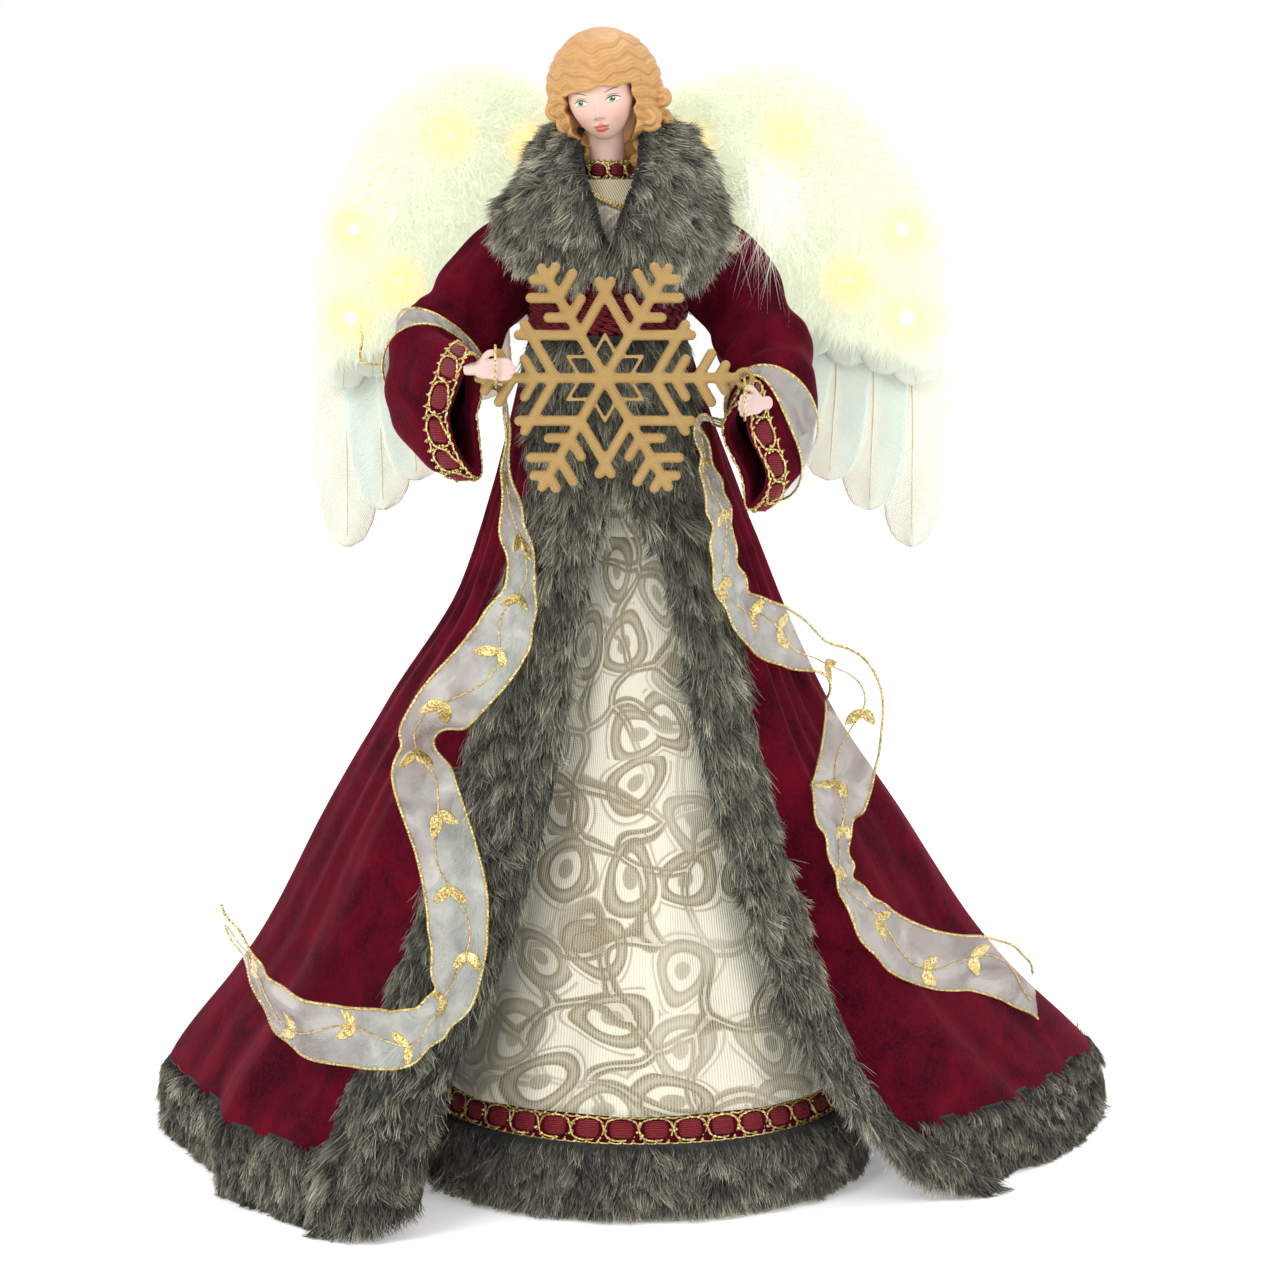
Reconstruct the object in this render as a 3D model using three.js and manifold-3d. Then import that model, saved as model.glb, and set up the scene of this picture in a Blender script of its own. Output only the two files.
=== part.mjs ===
// Angel tree topper: a doll on a hollow cone that slips over the tip of a tree.
// Millimetres, +Z up. The origin is the centre of the cone's mouth and the face looks along -Y.

import * as THREE from 'three';
import { mergeVertices } from 'three/addons/utils/BufferGeometryUtils.js';
import Module from 'manifold-3d';

const wasm = await Module();
wasm.setup();

// Gap between pieces that touch, and the extra depth of a tool that cuts right through
const fit = 0.3;
const overrun = 2;

// Hollow cone
const coneRadius = 78;
const coneTopRadius = 25;
const coneHeight = 232;
const coneWall = 1.6;
const coneRimWidth = 4.5;
const coneRimHeight = 3;

// Torso that stands on the cone
const torsoLength = 120;
const torsoHalfWidth = 33;
const torsoHalfDepth = 21;
const torsoPegDepth = 8;
const waistBraidShares = [0.56, 0.71];
const bodyLean = 11;

// Cloth and trims
const brocade = 1.4;
const velvet = 1.7;
const braidThickness = 2;
const neckBraidWidth = 6;
const neckBraidReach = 9;
const cuffBraidWidth = 7;

// Gown skirt
const gownPleat = 0.9;
const gownPleats = 8;
const gownFurBottom = 4;
const gownFurWidth = 22;
const gownFurThickness = 5.5;
const gownBraidWidth = 9;
const gownBraidThickness = 2.6;

// Robe skirt: how far its hem stands out beyond the gown's, and how the cloth falls
const hemSpread = 123;
const hemClearance = 0.6;
const waistStandOff = 1.2;
const robeFold = 4.5;
const clothGap = 0.6;
const frontCornerRise = 13;
const hemFurHeight = 27;
const frontFurWidthTop = 29;
const frontFurWidthLeft = 38;
const frontFurWidthRight = 42;
const furOuter = 6.5;
const furInner = 2.2;

// Fur collar
const collarThickness = 9.5;

// Head and neck
const neckRadius = 6.2;
const neckLength = 26;
const neckSocketDepth = 12;
const headHalfWidth = 18.5;
const headHeight = 39;
const faceHalfWidth = 11.5;
const curlRadius = 4.6;
const headTurn = -9;
const headTilt = -9;

// Arms and hands
const armReach = 62;
const armForward = 46;
const armDrop = 60;
const armWireRadius = 1.8;
const sleeveHalfWidth = 15;
const sleeveHalfHeight = 24;
const palmLength = 9;
const palmWidth = 7;
const palmThickness = 4.2;
const fingerRadius = 0.95;
const fingerLength = 6.5;
const wristLength = 5;
const wristRadius = 2.3;

// Snowflake
const flakeRadius = 44;
const flakeBar = 3.3;
const flakeThickness = 3;
const flakeFineBar = 1.3;
const flakeEyeRadius = 3.6;
const flakeEyeHole = 1.7;
const flakeForward = 62;
const flakeDrop = 47.8;
const flakeSide = 0.4;
const swingGap = 2.4;
const threadRadius = 0.45;
const tieInset = 1.5;
const tieSlack = 0.4;

// Ribbons
const ribbonWidth = 20;
const ribbonThickness = 0.7;

// Wings
const wingHeight = 169;
const leftWingReach = 88;
const rightWingReach = 105;
const wingRise = 34.5;
const hingeSpread = 16;
const wingDepth = 38;
const downThickness = 20;
const covertThickness = 1.5;
const featherThickness = 1;
const featherWidth = 24;
const boardThickness = 1.5;
const pinRadius = 1.4;
const knuckleLength = 13;
const knuckleWall = 1.5;
const stripHeight = 9;
const stripThickness = 1.6;
const lampRadius = 2.3;
const lampLength = 9;
const socketRadius = 2.6;
const socketLength = 6;
const lightWireRadius = 0.7;

// Levels that several pieces share
const torsoFoot = coneHeight + fit;
const torsoTop = torsoFoot + torsoLength;
const waistBraidTop = torsoFoot + waistBraidShares[1] * torsoLength;
const shoulderLevel = torsoFoot + 0.86 * torsoLength;
const robeTop = torsoFoot + waistBraidShares[0] * torsoLength - fit;
const bodyLayer = fit + brocade;
const robeLayer = bodyLayer + fit + velvet;
const gownFurTop = gownFurBottom + gownFurWidth;
const gownReach = coneRadius + fit + gownFurThickness;
const hemReach = gownReach + hemSpread;
const bodyX = -bodyLean;
const gownBraidTop = gownFurTop + fit + gownBraidWidth;

const point = (x, y, z) => new THREE.Vector3(x, y, z);
const mix = (a, b, share) => a + (b - a) * share;
const degrees = THREE.MathUtils.degToRad;

function steps(count, from = 0, to = 1) {
  return Array.from({ length: count + 1 }, (_, i) => mix(from, to, i / count));
}

// Value at a place in a table of rows [place, value, ...], smoothed between the rows
function along(table, place, column = 1) {
  const last = table.length - 1;
  if (place <= table[0][0]) return table[0][column];
  if (place >= table[last][0]) return table[last][column];
  const row = table.findIndex((entry) => entry[0] > place) - 1;
  const [p0, p1] = [table[row][0], table[row + 1][0]];
  const slope = (i) => {
    const a = table[Math.max(i - 1, 0)];
    const b = table[Math.min(i + 1, last)];
    return (b[column] - a[column]) / (b[0] - a[0]);
  };
  const t = (place - p0) / (p1 - p0);
  const [v0, v1] = [table[row][column], table[row + 1][column]];
  const [m0, m1] = [slope(row) * (p1 - p0), slope(row + 1) * (p1 - p0)];
  return v0 * (2 * t ** 3 - 3 * t ** 2 + 1) + m0 * (t ** 3 - 2 * t ** 2 + t)
    + v1 * (3 * t ** 2 - 2 * t ** 3) + m1 * (t ** 3 - t ** 2);
}

// Turns every face outwards
function facingOut(geometry) {
  const spots = geometry.getAttribute('position');
  const index = geometry.index.array;
  const [a, b, c] = [point(), point(), point()];
  let volume = 0;
  for (let i = 0; i < index.length; i += 3) {
    a.fromBufferAttribute(spots, index[i]);
    b.fromBufferAttribute(spots, index[i + 1]);
    c.fromBufferAttribute(spots, index[i + 2]);
    volume += a.dot(b.cross(c));
  }
  if (volume < 0) {
    for (let i = 0; i < index.length; i += 3) {
      [index[i + 1], index[i + 2]] = [index[i + 2], index[i + 1]];
    }
  }
  return geometry;
}

// A closed solid through rings of equally many points. Each ring runs out along one side of
// its section and back along the other, so a strip across the ring closes an open end. With
// parallel set, the faces on the way back are split like those that they lie under.
function loft(rings, endless = false, parallel = false) {
  const count = rings[0].length;
  const index = [];
  const quad = (a, b, c, d) => index.push(a, b, c, a, c, d);
  const otherQuad = (a, b, c, d) => index.push(b, c, d, b, d, a);
  const bands = endless ? rings.length : rings.length - 1;
  for (let r = 0; r < bands; r++) {
    const near = r * count;
    const far = ((r + 1) % rings.length) * count;
    for (let k = 0; k < count; k++) {
      const next = (k + 1) % count;
      const split = parallel && k >= count / 2 ? otherQuad : quad;
      split(near + k, near + next, far + next, far + k);
    }
  }
  if (!endless) {
    const end = (rings.length - 1) * count;
    for (let k = 0; k < count / 2 - 1; k++) {
      quad(k + 1, k, count - 1 - k, count - 2 - k);
      quad(end + k, end + k + 1, end + count - 2 - k, end + count - 1 - k);
    }
  }
  const geometry = new THREE.BufferGeometry().setFromPoints(rings.flat());
  geometry.setIndex(index);
  return facingOut(geometry);
}

// A sheet of cloth or fur over a surface: at(s, t, off) gives a point, off being how far it
// stands off the surface. under and over give the two faces of the sheet at (s, t).
function sheet(at, lengths, widths, under, over, endless = false) {
  const rings = lengths.map((s) => [
    ...widths.map((t) => at(s, t, over(s, t))),
    ...widths.toReversed().map((t) => at(s, t, under(s, t))),
  ]);
  return loft(rings, endless, true);
}

const flat = (size) => () => size;

// Fur swells in the middle of its strip and thins towards both edges
const swell = (share) => 0.35 + 0.65 * Math.sqrt(Math.max(Math.sin(Math.PI * share), 0));

function toSolid(geometry) {
  const bare = geometry.clone();
  bare.deleteAttribute('normal');
  bare.deleteAttribute('uv');
  const merged = mergeVertices(bare);
  return new wasm.Manifold(new wasm.Mesh({
    numProp: 3,
    vertProperties: new Float32Array(merged.getAttribute('position').array),
    triVerts: new Uint32Array(merged.index.array),
  }));
}

function toGeometry(solid) {
  const mesh = solid.getMesh();
  const geometry = new THREE.BufferGeometry();
  geometry.setAttribute('position', new THREE.BufferAttribute(mesh.vertProperties, 3));
  geometry.setIndex(new THREE.BufferAttribute(mesh.triVerts, 1));
  return geometry;
}

const join = (...parts) => toGeometry(parts.map(toSolid).reduce((all, one) => all.add(one)));
const cut = (base, ...tools) => toGeometry(tools.map(toSolid).reduce(
  (left, tool) => left.subtract(tool), toSolid(base)));

// A tube of even thickness along a curve, closed at both ends or running round endlessly
function tube(curve, radius, count, sides = 8) {
  const outline = new THREE.Shape(steps(sides).slice(1).map((share) => new THREE.Vector2(
    radius * Math.cos(2 * Math.PI * share), radius * Math.sin(2 * Math.PI * share))));
  return new THREE.ExtrudeGeometry(outline, { steps: count, extrudePath: curve });
}

const smoothCurve = (points) => new THREE.CatmullRomCurve3(points);

// An elliptical section of a limb, square to the curve, with its tall way kept upright
function limbRing(curve, share, across, tall, sides) {
  const centre = curve.getPointAt(share);
  const ahead = curve.getTangentAt(share);
  const side = point(0, 0, 1).cross(ahead).normalize();
  const up = ahead.clone().cross(side);
  return steps(sides).slice(1).map((turn) => centre.clone()
    .addScaledVector(side, across * Math.cos(2 * Math.PI * turn))
    .addScaledVector(up, tall * Math.sin(2 * Math.PI * turn)));
}

const root = new THREE.Group();

function add(parent, name, geometry, finish) {
  const mesh = new THREE.Mesh(geometry, new THREE.MeshStandardMaterial(finish));
  mesh.name = name;
  parent.add(mesh);
  return mesh;
}

const finishes = {
  card: { color: 0xcfc6b4, roughness: 0.9, metalness: 0 },
  foam: { color: 0xe9e6df, roughness: 0.95, metalness: 0 },
  porcelain: { color: 0xe6cbbb, roughness: 0.45, metalness: 0 },
  velvet: { color: 0x5a0f23, roughness: 0.85, metalness: 0 },
  fur: { color: 0x55534f, roughness: 1, metalness: 0 },
  brocade: { color: 0xe2dccb, roughness: 0.4, metalness: 0.35 },
  braid: { color: 0x8c1e32, roughness: 0.6, metalness: 0.2 },
  gold: { color: 0xc8a05a, roughness: 0.45, metalness: 0.6 },
  organza: { color: 0xe9e4d6, roughness: 0.5, metalness: 0 },
  feather: { color: 0xeef0e2, roughness: 0.8, metalness: 0 },
  steel: { color: 0x9a9a98, roughness: 0.4, metalness: 0.9 },
  lamp: { color: 0xffe2a8, roughness: 0.2, metalness: 0 },
  cable: { color: 0xe4e4da, roughness: 0.6, metalness: 0 },
};

// The cone: a thin wall with a wider rim round its mouth
const coneRadiusAt = (z) => mix(coneRadius, coneTopRadius, z / coneHeight);

// The cone and all that lies on it share these columns, so that their facets lie parallel
const coneColumns = 4 * gownPleats;

function treeCone() {
  const rimInside = coneRadius - coneRimWidth;
  const wallAt = (z) => coneRadiusAt(z) - coneWall;
  const profile = [
    new THREE.Vector2(coneRadius, 0),
    new THREE.Vector2(coneRadiusAt(coneHeight), coneHeight),
    new THREE.Vector2(wallAt(coneHeight), coneHeight),
    new THREE.Vector2(wallAt(coneRimHeight), coneRimHeight),
    new THREE.Vector2(rimInside, coneRimHeight),
    new THREE.Vector2(rimInside, 0),
    new THREE.Vector2(coneRadius, 0),
  ];
  return new THREE.LatheGeometry(profile, coneColumns).rotateX(Math.PI / 2);
}

add(root, 'tree_cone', treeCone(), finishes.card);

// The torso: rows of height, half width and half depth as shares of the torso's own sizes
const torsoShares = [
  [0.26, 0.74, 1.10],
  [0.42, 0.67, 0.98],
  [0.60, 0.66, 0.95],
  [0.74, 0.82, 0.98],
  [0.85, 0.98, 0.97],
  [0.92, 0.92, 0.86],
  [0.97, 0.62, 0.64],
  [1.00, 0.34, 0.50],
];
const footRadius = coneTopRadius - fit;

function torsoAt(turn, share, off) {
  const waistShare = Math.min(share / waistBraidShares[0], 1);
  const lean = bodyX * waistShare ** 2 * (3 - 2 * waistShare);
  const rows = [[0, footRadius, footRadius], ...torsoShares.map(([level, wide, deep]) => (
    [level, wide * torsoHalfWidth, deep * torsoHalfDepth]))];
  const wide = along(rows, share, 1) + off;
  const deep = along(rows, share, 2) + off;
  const angle = 2 * Math.PI * turn;
  return point(lean + wide * Math.sin(angle), -deep * Math.cos(angle), torsoFoot + share * torsoLength);
}

const round = (count) => steps(count).slice(1);
const torsoLevelShares = [0, 0.15, 0.3, 0.43, ...waistBraidShares, 0.79, 0.86, 0.92, 0.96, 1];
const torsoColumns = 16;

function torsoSolid(off) {
  return loft(torsoLevelShares.map((share) => (
    round(torsoColumns).map((turn) => torsoAt(turn, share, off)))));
}

// A layer of cloth round the torso, from one of its levels to another
function torsoShell(inner, outer, from, to) {
  const levels = torsoLevelShares.filter((share) => share >= from && share <= to);
  return sheet(torsoAt, round(torsoColumns), levels, flat(inner), flat(outer), true);
}

// Room for the waist braid, cut from what hangs beside it
function waistRoom() {
  const spare = fit / torsoLength;
  const [low, high] = waistBraidShares;
  return loft([low - spare, low, high, high + spare].map((share) => round(torsoColumns).map(
    (turn) => torsoAt(turn, share, robeLayer + braidThickness + 2 * fit))));
}

// Arms: the same route carries the wire, the sleeve, the cuff and the hand. Rows of x, y and z
// from the middle of the shoulders, as shares of how far the arm reaches, comes forward and drops.
const leftArmShares = [
  [-0.26, 0, -0.06],
  [-0.56, -0.05, -0.22],
  [-0.82, -0.16, -0.54],
  [-0.98, -0.45, -0.82],
  [-0.93, -0.80, -0.98],
  [-0.80, -1.00, -1.03],
];
const rightArmShares = [
  [0.26, 0, -0.06],
  [0.58, -0.05, -0.20],
  [0.80, -0.16, -0.52],
  [0.92, -0.45, -0.89],
  [0.88, -0.80, -1.15],
  [0.76, -1.00, -1.24],
];
const armPoint = ([x, y, z]) => point(bodyX + x * armReach, y * armForward, shoulderLevel + z * armDrop);
const sleeveRoutes = {
  left: smoothCurve(leftArmShares.map(armPoint)),
  right: smoothCurve(rightArmShares.map(armPoint)),
};

// The snowflake hangs between the hands; its main bars lie level and its eye is on the right
const flakeCentre = point(bodyX - flakeSide, -flakeForward, shoulderLevel - flakeDrop);
const eyeReach = flakeRadius + flakeEyeRadius - flakeBar / 4;
const hands = {
  left: { centre: point(flakeCentre.x - flakeRadius + 0.42 * palmLength,
    flakeCentre.y - flakeThickness / 2 - swingGap - palmThickness / 2,
    flakeCentre.z + 0.5 * palmWidth), turn: -20 },
  right: { centre: point(flakeCentre.x + eyeReach + 0.42 * palmLength,
    flakeCentre.y - flakeThickness / 2 - swingGap - palmThickness / 2,
    flakeCentre.z - flakeEyeRadius - 0.67 * palmWidth), turn: 232 },
};
const handAhead = ({ turn }) => point(Math.cos(degrees(turn)), Math.sin(degrees(turn)), 0);
const wristOf = (held) => held.centre.clone()
  .addScaledVector(handAhead(held), -palmLength / 2 - wristLength - fit);
const wireShares = {
  left: [[-0.38, -0.05, -0.14], [-0.66, -0.12, -0.36], [-0.90, -0.45, -0.70]],
  right: [[0.38, -0.05, -0.14], [0.66, -0.12, -0.36], [0.86, -0.45, -0.76]],
};
const wireRoute = (side) => smoothCurve([...wireShares[side].map(armPoint),
  wristOf(hands[side]).addScaledVector(handAhead(hands[side]), -palmLength / 2), wristOf(hands[side])]);
const wireRoutes = { left: wireRoute('left'), right: wireRoute('right') };

// Sleeve: half width and half height along the arm, as shares of its widest half sizes
const sleeveShares = [
  [0, 0.80, 0.52],
  [0.2, 0.98, 0.66],
  [0.45, 0.95, 0.68],
  [0.7, 1.00, 0.92],
  [0.88, 0.90, 1.00],
  [1, 0.78, 0.90],
];
const sleeveStationShares = [0, 0.1, 0.2, 0.32, 0.45, 0.58, 0.7, 0.8, 0.88];

function sleeveRing(side, share, off, sides = 12) {
  const across = along(sleeveShares, share, 1) * sleeveHalfWidth + off;
  const tall = along(sleeveShares, share, 2) * sleeveHalfHeight + off;
  return limbRing(sleeveRoutes[side], share, across, tall, sides);
}

// The cuff braid begins here, and the sleeve has a section at the same place
const cuffFrom = (side) => 1 - cuffBraidWidth / sleeveRoutes[side].getLength();

function sleeveSolid(side, off) {
  const stations = [...sleeveStationShares.filter((share) => share < cuffFrom(side)), cuffFrom(side), 1];
  return loft(stations.map((share) => sleeveRing(side, share, off)));
}

// Room for the wire and the hand's wrist, cut from every piece that the arm passes through
const armRoom = (side) => tube(wireRoutes[side], armWireRadius + fit, 14, 6);

function wristRoom(side) {
  const { centre, turn } = hands[side];
  return new THREE.SphereGeometry(1, 10, 8)
    .scale(palmLength / 2 + wristLength + 2 * fit, palmWidth / 2 + 2 * fit, palmThickness / 2 + 2 * fit)
    .rotateX(Math.PI / 2).rotateZ(degrees(turn)).translate(...centre.toArray());
}

const hollowFromShare = 0.62;

function sleeve(side) {
  const outer = sleeveSolid(side, 0);
  const mouthRing = sleeveRing(side, 1, -velvet);
  const ahead = sleeveRoutes[side].getTangentAt(1).multiplyScalar(overrun);
  const cavity = loft([
    ...[hollowFromShare, 0.7, 0.8, 0.9, 1].map((share) => sleeveRing(side, share, -velvet)),
    mouthRing.map((spot) => spot.clone().add(ahead)),
  ]);
  return cut(outer, torsoSolid(robeLayer + fit), waistRoom(), cavity, armRoom(side), wristRoom(side));
}

// A band round the sleeve between two places along it
function sleeveBand(side, from, to, inner, outer) {
  const rings = (off) => [from, to].map((share) => sleeveRing(side, share, off));
  const [innerBack, innerFront] = rings(inner);
  const [outerBack, outerFront] = rings(outer);
  return loft(innerBack.map((spot, i) => [outerBack[i], outerFront[i], innerFront[i], spot]), true, true);
}

function cuffBraid(side) {
  const band = sleeveBand(side, cuffFrom(side), 1, fit, fit + braidThickness);
  return cut(band, armRoom(side), wristRoom(side));
}

// Hand: a palm with a wrist, four fingers and a thumb, built along +X
function hand() {
  const palm = new THREE.SphereGeometry(palmLength / 2, 8, 6)
    .scale(1, palmWidth / palmLength, palmThickness / palmLength);
  const wrist = new THREE.CylinderGeometry(wristRadius, wristRadius, palmLength / 2 + wristLength, 6)
    .rotateZ(Math.PI / 2).translate(-(palmLength / 2 + wristLength) / 2, 0, 0)
    .scale(1, 1, palmThickness / 2 / wristRadius);
  const fingers = [-1.5, -0.5, 0.5, 1.5].map((place) => {
    const across = place * 1.9 * fingerRadius;
    const reach = palmLength / 2 + fingerLength * (1 - 0.09 * place * place);
    const route = smoothCurve([
      point(0.2 * palmLength, 0.8 * across, 0),
      point(0.7 * reach, across, -0.1 * fingerRadius),
      point(reach, across, -0.9 * fingerRadius),
    ]);
    return tube(route, fingerRadius, 2, 4);
  });
  const thumb = tube(smoothCurve([
    point(-0.15 * palmLength, 0.3 * palmWidth, 0),
    point(0.2 * palmLength, 0.75 * palmWidth, 0.2 * palmThickness),
    point(0.55 * palmLength, 0.8 * palmWidth, 0.3 * palmThickness),
  ]), fingerRadius * 1.15, 2, 4);
  return join(palm, wrist, ...fingers, thumb);
}

const upper = new THREE.Group();
root.add(upper);

function torsoCore() {
  const peg = new THREE.CylinderGeometry(coneTopRadius - coneWall - fit, coneTopRadius - coneWall - fit,
    torsoPegDepth + overrun, 24).rotateX(Math.PI / 2)
    .translate(0, 0, torsoFoot - (torsoPegDepth - overrun) / 2);
  return cut(join(torsoSolid(0), peg), neckStem(fit));
}

function neckStem(off) {
  const radius = neckRadius + off;
  const depth = neckSocketDepth + off;
  const height = depth + neckLength;
  return new THREE.CylinderGeometry(radius, radius, height, 16).rotateX(Math.PI / 2)
    .translate(bodyX, 0, torsoTop - depth + height / 2);
}

const armHoles = () => ['left', 'right'].map(armRoom);

add(upper, 'torso_core', cut(torsoCore(), ...armHoles()), finishes.foam);
add(upper, 'gown_bodice', cut(torsoShell(fit, bodyLayer, 0, 1), ...armHoles()), finishes.brocade);

// Robe bodice: open in a V at the front, from the waist to the neck
function robeBodice() {
  const shell = torsoShell(bodyLayer + fit, robeLayer, waistBraidShares[0], 0.96);
  const opening = new THREE.Shape([
    new THREE.Vector2(0, waistBraidTop),
    new THREE.Vector2(0.62 * torsoHalfWidth, torsoTop + overrun),
    new THREE.Vector2(-0.62 * torsoHalfWidth, torsoTop + overrun),
  ]);
  const reach = torsoHalfDepth * 2;
  const wedge = new THREE.ExtrudeGeometry(opening, { depth: reach, bevelEnabled: false })
    .rotateX(Math.PI / 2).translate(bodyX, 0, 0);
  return cut(shell, wedge, ...armHoles());
}

add(upper, 'robe_bodice', robeBodice(), finishes.velvet);

function waistBraid() {
  return torsoShell(robeLayer + fit, robeLayer + fit + braidThickness, ...waistBraidShares);
}

add(upper, 'waist_braid', waistBraid(), finishes.braid);

function neckBraid() {
  const inner = neckRadius + fit;
  const outer = neckRadius + fit + braidThickness;
  const foot = torsoTop + fit;
  const profile = [
    new THREE.Vector2(inner, foot),
    new THREE.Vector2(neckBraidReach, foot),
    new THREE.Vector2(outer, foot + neckBraidWidth),
    new THREE.Vector2(inner, foot + neckBraidWidth),
    new THREE.Vector2(inner, foot),
  ];
  return new THREE.LatheGeometry(profile, 20).rotateX(Math.PI / 2).translate(bodyX, 0, 0);
}

add(upper, 'neck_braid', neckBraid(), finishes.braid);

for (const side of ['left', 'right']) {
  add(upper, `${side}_arm_wire`, tube(wireRoutes[side], armWireRadius, 14, 6), finishes.steel);
  add(upper, `${side}_sleeve`, sleeve(side), finishes.velvet);
  add(upper, `${side}_cuff_braid`, cuffBraid(side), finishes.braid);
}

// Head: skull, face, nose, neck and rings of curls, moulded in one
function head() {
  const skullHeight = headHeight / 2;
  const skull = new THREE.SphereGeometry(1, 12, 8)
    .scale(headHalfWidth, headHalfWidth, skullHeight * 0.9)
    .translate(0, 0.08 * headHalfWidth, headHeight - skullHeight * 0.9);
  const face = new THREE.SphereGeometry(1, 10, 8).rotateX(Math.PI / 2)
    .scale(faceHalfWidth, faceHalfWidth, skullHeight * 0.78)
    .translate(0, -0.48 * headHalfWidth, skullHeight * 0.78);
  const nose = new THREE.ConeGeometry(0.16 * faceHalfWidth, 0.5 * faceHalfWidth, 6).rotateX(0.25)
    .rotateX(Math.PI / 2).translate(0, -0.48 * headHalfWidth - 0.97 * faceHalfWidth, 0.36 * headHeight);
  const curls = [];
  const curlShares = [
    { level: 0.50, reach: 0.96, count: 6, open: 0.20 },
    { level: 0.29, reach: 0.92, count: 6, open: 0.22 },
    { level: 0.17, reach: 0.66, count: 4, open: 0.27 },
  ];
  for (const { level, reach, count, open } of curlShares) {
    for (const share of steps(count, open, 1 - open)) {
      const angle = 2 * Math.PI * share;
      curls.push(new THREE.SphereGeometry(curlRadius, 6, 3).translate(
        reach * headHalfWidth * Math.sin(angle), -reach * headHalfWidth * Math.cos(angle),
        level * headHeight));
    }
  }
  return join(skull, face, nose, ...curls);
}

const headBase = torsoTop + neckLength * 0.6;

function porcelainHead() {
  const turned = head().rotateY(degrees(headTilt)).rotateZ(degrees(headTurn))
    .translate(bodyX, 0, headBase);
  return join(turned, neckStem(0));
}

add(upper, 'porcelain_head', porcelainHead(), finishes.porcelain);

// Fur collar: lofted between its inner and its outer edge. Rows of x, y and z from the foot of
// the neck as shares of the torso's half width, half depth and the height of the chest.
const chestDrop = torsoTop - waistBraidTop;
const collarShares = [
  { inner: [0.06, -1.38, -0.78], outer: [-0.36, -1.50, -0.98] },
  { inner: [-0.10, -1.36, -0.55], outer: [-0.88, -1.20, -0.82] },
  { inner: [-0.20, -1.18, -0.25], outer: [-1.20, -0.60, -0.50] },
  { inner: [-0.27, -0.85, 0.10], outer: [-0.86, 0.10, -0.10] },
  { inner: [-0.25, -0.10, 0.42], outer: [-0.70, 0.85, 0.22] },
  { inner: [0, 0.42, 0.52], outer: [0, 1.20, 0.25] },
  { inner: [0.30, -0.10, 0.45], outer: [0.85, 0.85, 0.26] },
  { inner: [0.36, -0.85, 0.10], outer: [1.18, 0.10, -0.04] },
  { inner: [0.27, -1.18, -0.25], outer: [1.26, -0.60, -0.46] },
  { inner: [0.18, -1.36, -0.53], outer: [1.12, -1.15, -0.80] },
  { inner: [0.10, -1.38, -0.76], outer: [0.62, -1.42, -1.00] },
];
const collarPoint = ([x, y, z]) => point(bodyX + x * torsoHalfWidth, y * torsoHalfDepth,
  torsoTop + z * chestDrop);

function furCollar() {
  const inner = smoothCurve(collarShares.map((row) => collarPoint(row.inner)));
  const outer = smoothCurve(collarShares.map((row) => collarPoint(row.outer)));
  const section = (share) => {
    const [from, to] = [inner.getPoint(share), outer.getPoint(share)];
    const ahead = inner.getTangent(share).add(outer.getTangent(share));
    const out = ahead.cross(to.clone().sub(from)).normalize();
    const ends = Math.sqrt(Math.max(1 - Math.abs(2 * share - 1) ** 6, 0.1));
    const place = (across, lift) => from.clone().lerp(to, across).addScaledVector(out, lift);
    const widths = steps(5);
    return [
      ...widths.map((across) => place(across, ends * collarThickness * swell(across))),
      ...widths.toReversed().map((across) => place(across, -furInner)),
    ];
  };
  return loft(steps(20).map(section));
}

const headRoom = new THREE.SphereGeometry(1, 18, 12).scale(headHalfWidth + 2.6 * curlRadius,
  headHalfWidth + 2.6 * curlRadius, headHeight * 0.67).translate(bodyX, 0, headBase + headHeight * 0.58);
const neckRoom = new THREE.CylinderGeometry(neckBraidReach + fit, neckBraidReach + fit, 2 * neckLength, 16)
  .rotateX(Math.PI / 2).translate(bodyX, 0, torsoTop + neckLength * 0.9);
add(upper, 'fur_collar', cut(furCollar(), torsoSolid(robeLayer + fit), headRoom, neckRoom,
  sleeveSolid('left', fit), sleeveSolid('right', fit)), finishes.fur);

// Gown skirt: brocade over the cone with soft pleats, a braid and a fur ring round its foot
function gownAt(turn, z, off) {
  const fall = 1 - z / coneHeight;
  const pleat = off > fit ? gownPleat * fall * Math.cos(gownPleats * 2 * Math.PI * turn) : 0;
  const radius = coneRadiusAt(z) + off + pleat;
  const angle = 2 * Math.PI * turn;
  return point(radius * Math.sin(angle), -radius * Math.cos(angle), z);
}

const gownSkin = brocade + gownPleat;
const gownLevels = [gownBraidTop + fit, mix(gownBraidTop, coneHeight, 0.35),
  mix(gownBraidTop, coneHeight, 0.7), coneHeight];
const gownSkirt = sheet(gownAt, round(coneColumns), gownLevels, flat(fit), flat(fit + gownSkin), true);
add(root, 'gown_skirt', gownSkirt, finishes.brocade);

function coneBand(bottom, top, thickness) {
  const height = top - bottom;
  const at = (turn, share, off) => {
    const z = bottom + share * height;
    const radius = coneRadiusAt(z) + off;
    const angle = 2 * Math.PI * turn;
    return point(radius * Math.sin(angle), -radius * Math.cos(angle), z);
  };
  return sheet(at, round(coneColumns), steps(3), flat(fit),
    (turn, share) => fit + thickness * swell(share), true);
}

add(root, 'gown_hem_braid', coneBand(gownFurTop + fit, gownBraidTop, gownBraidThickness), finishes.braid);
add(root, 'gown_hem_fur', coneBand(gownFurBottom, gownFurTop, gownFurThickness), finishes.fur);

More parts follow.
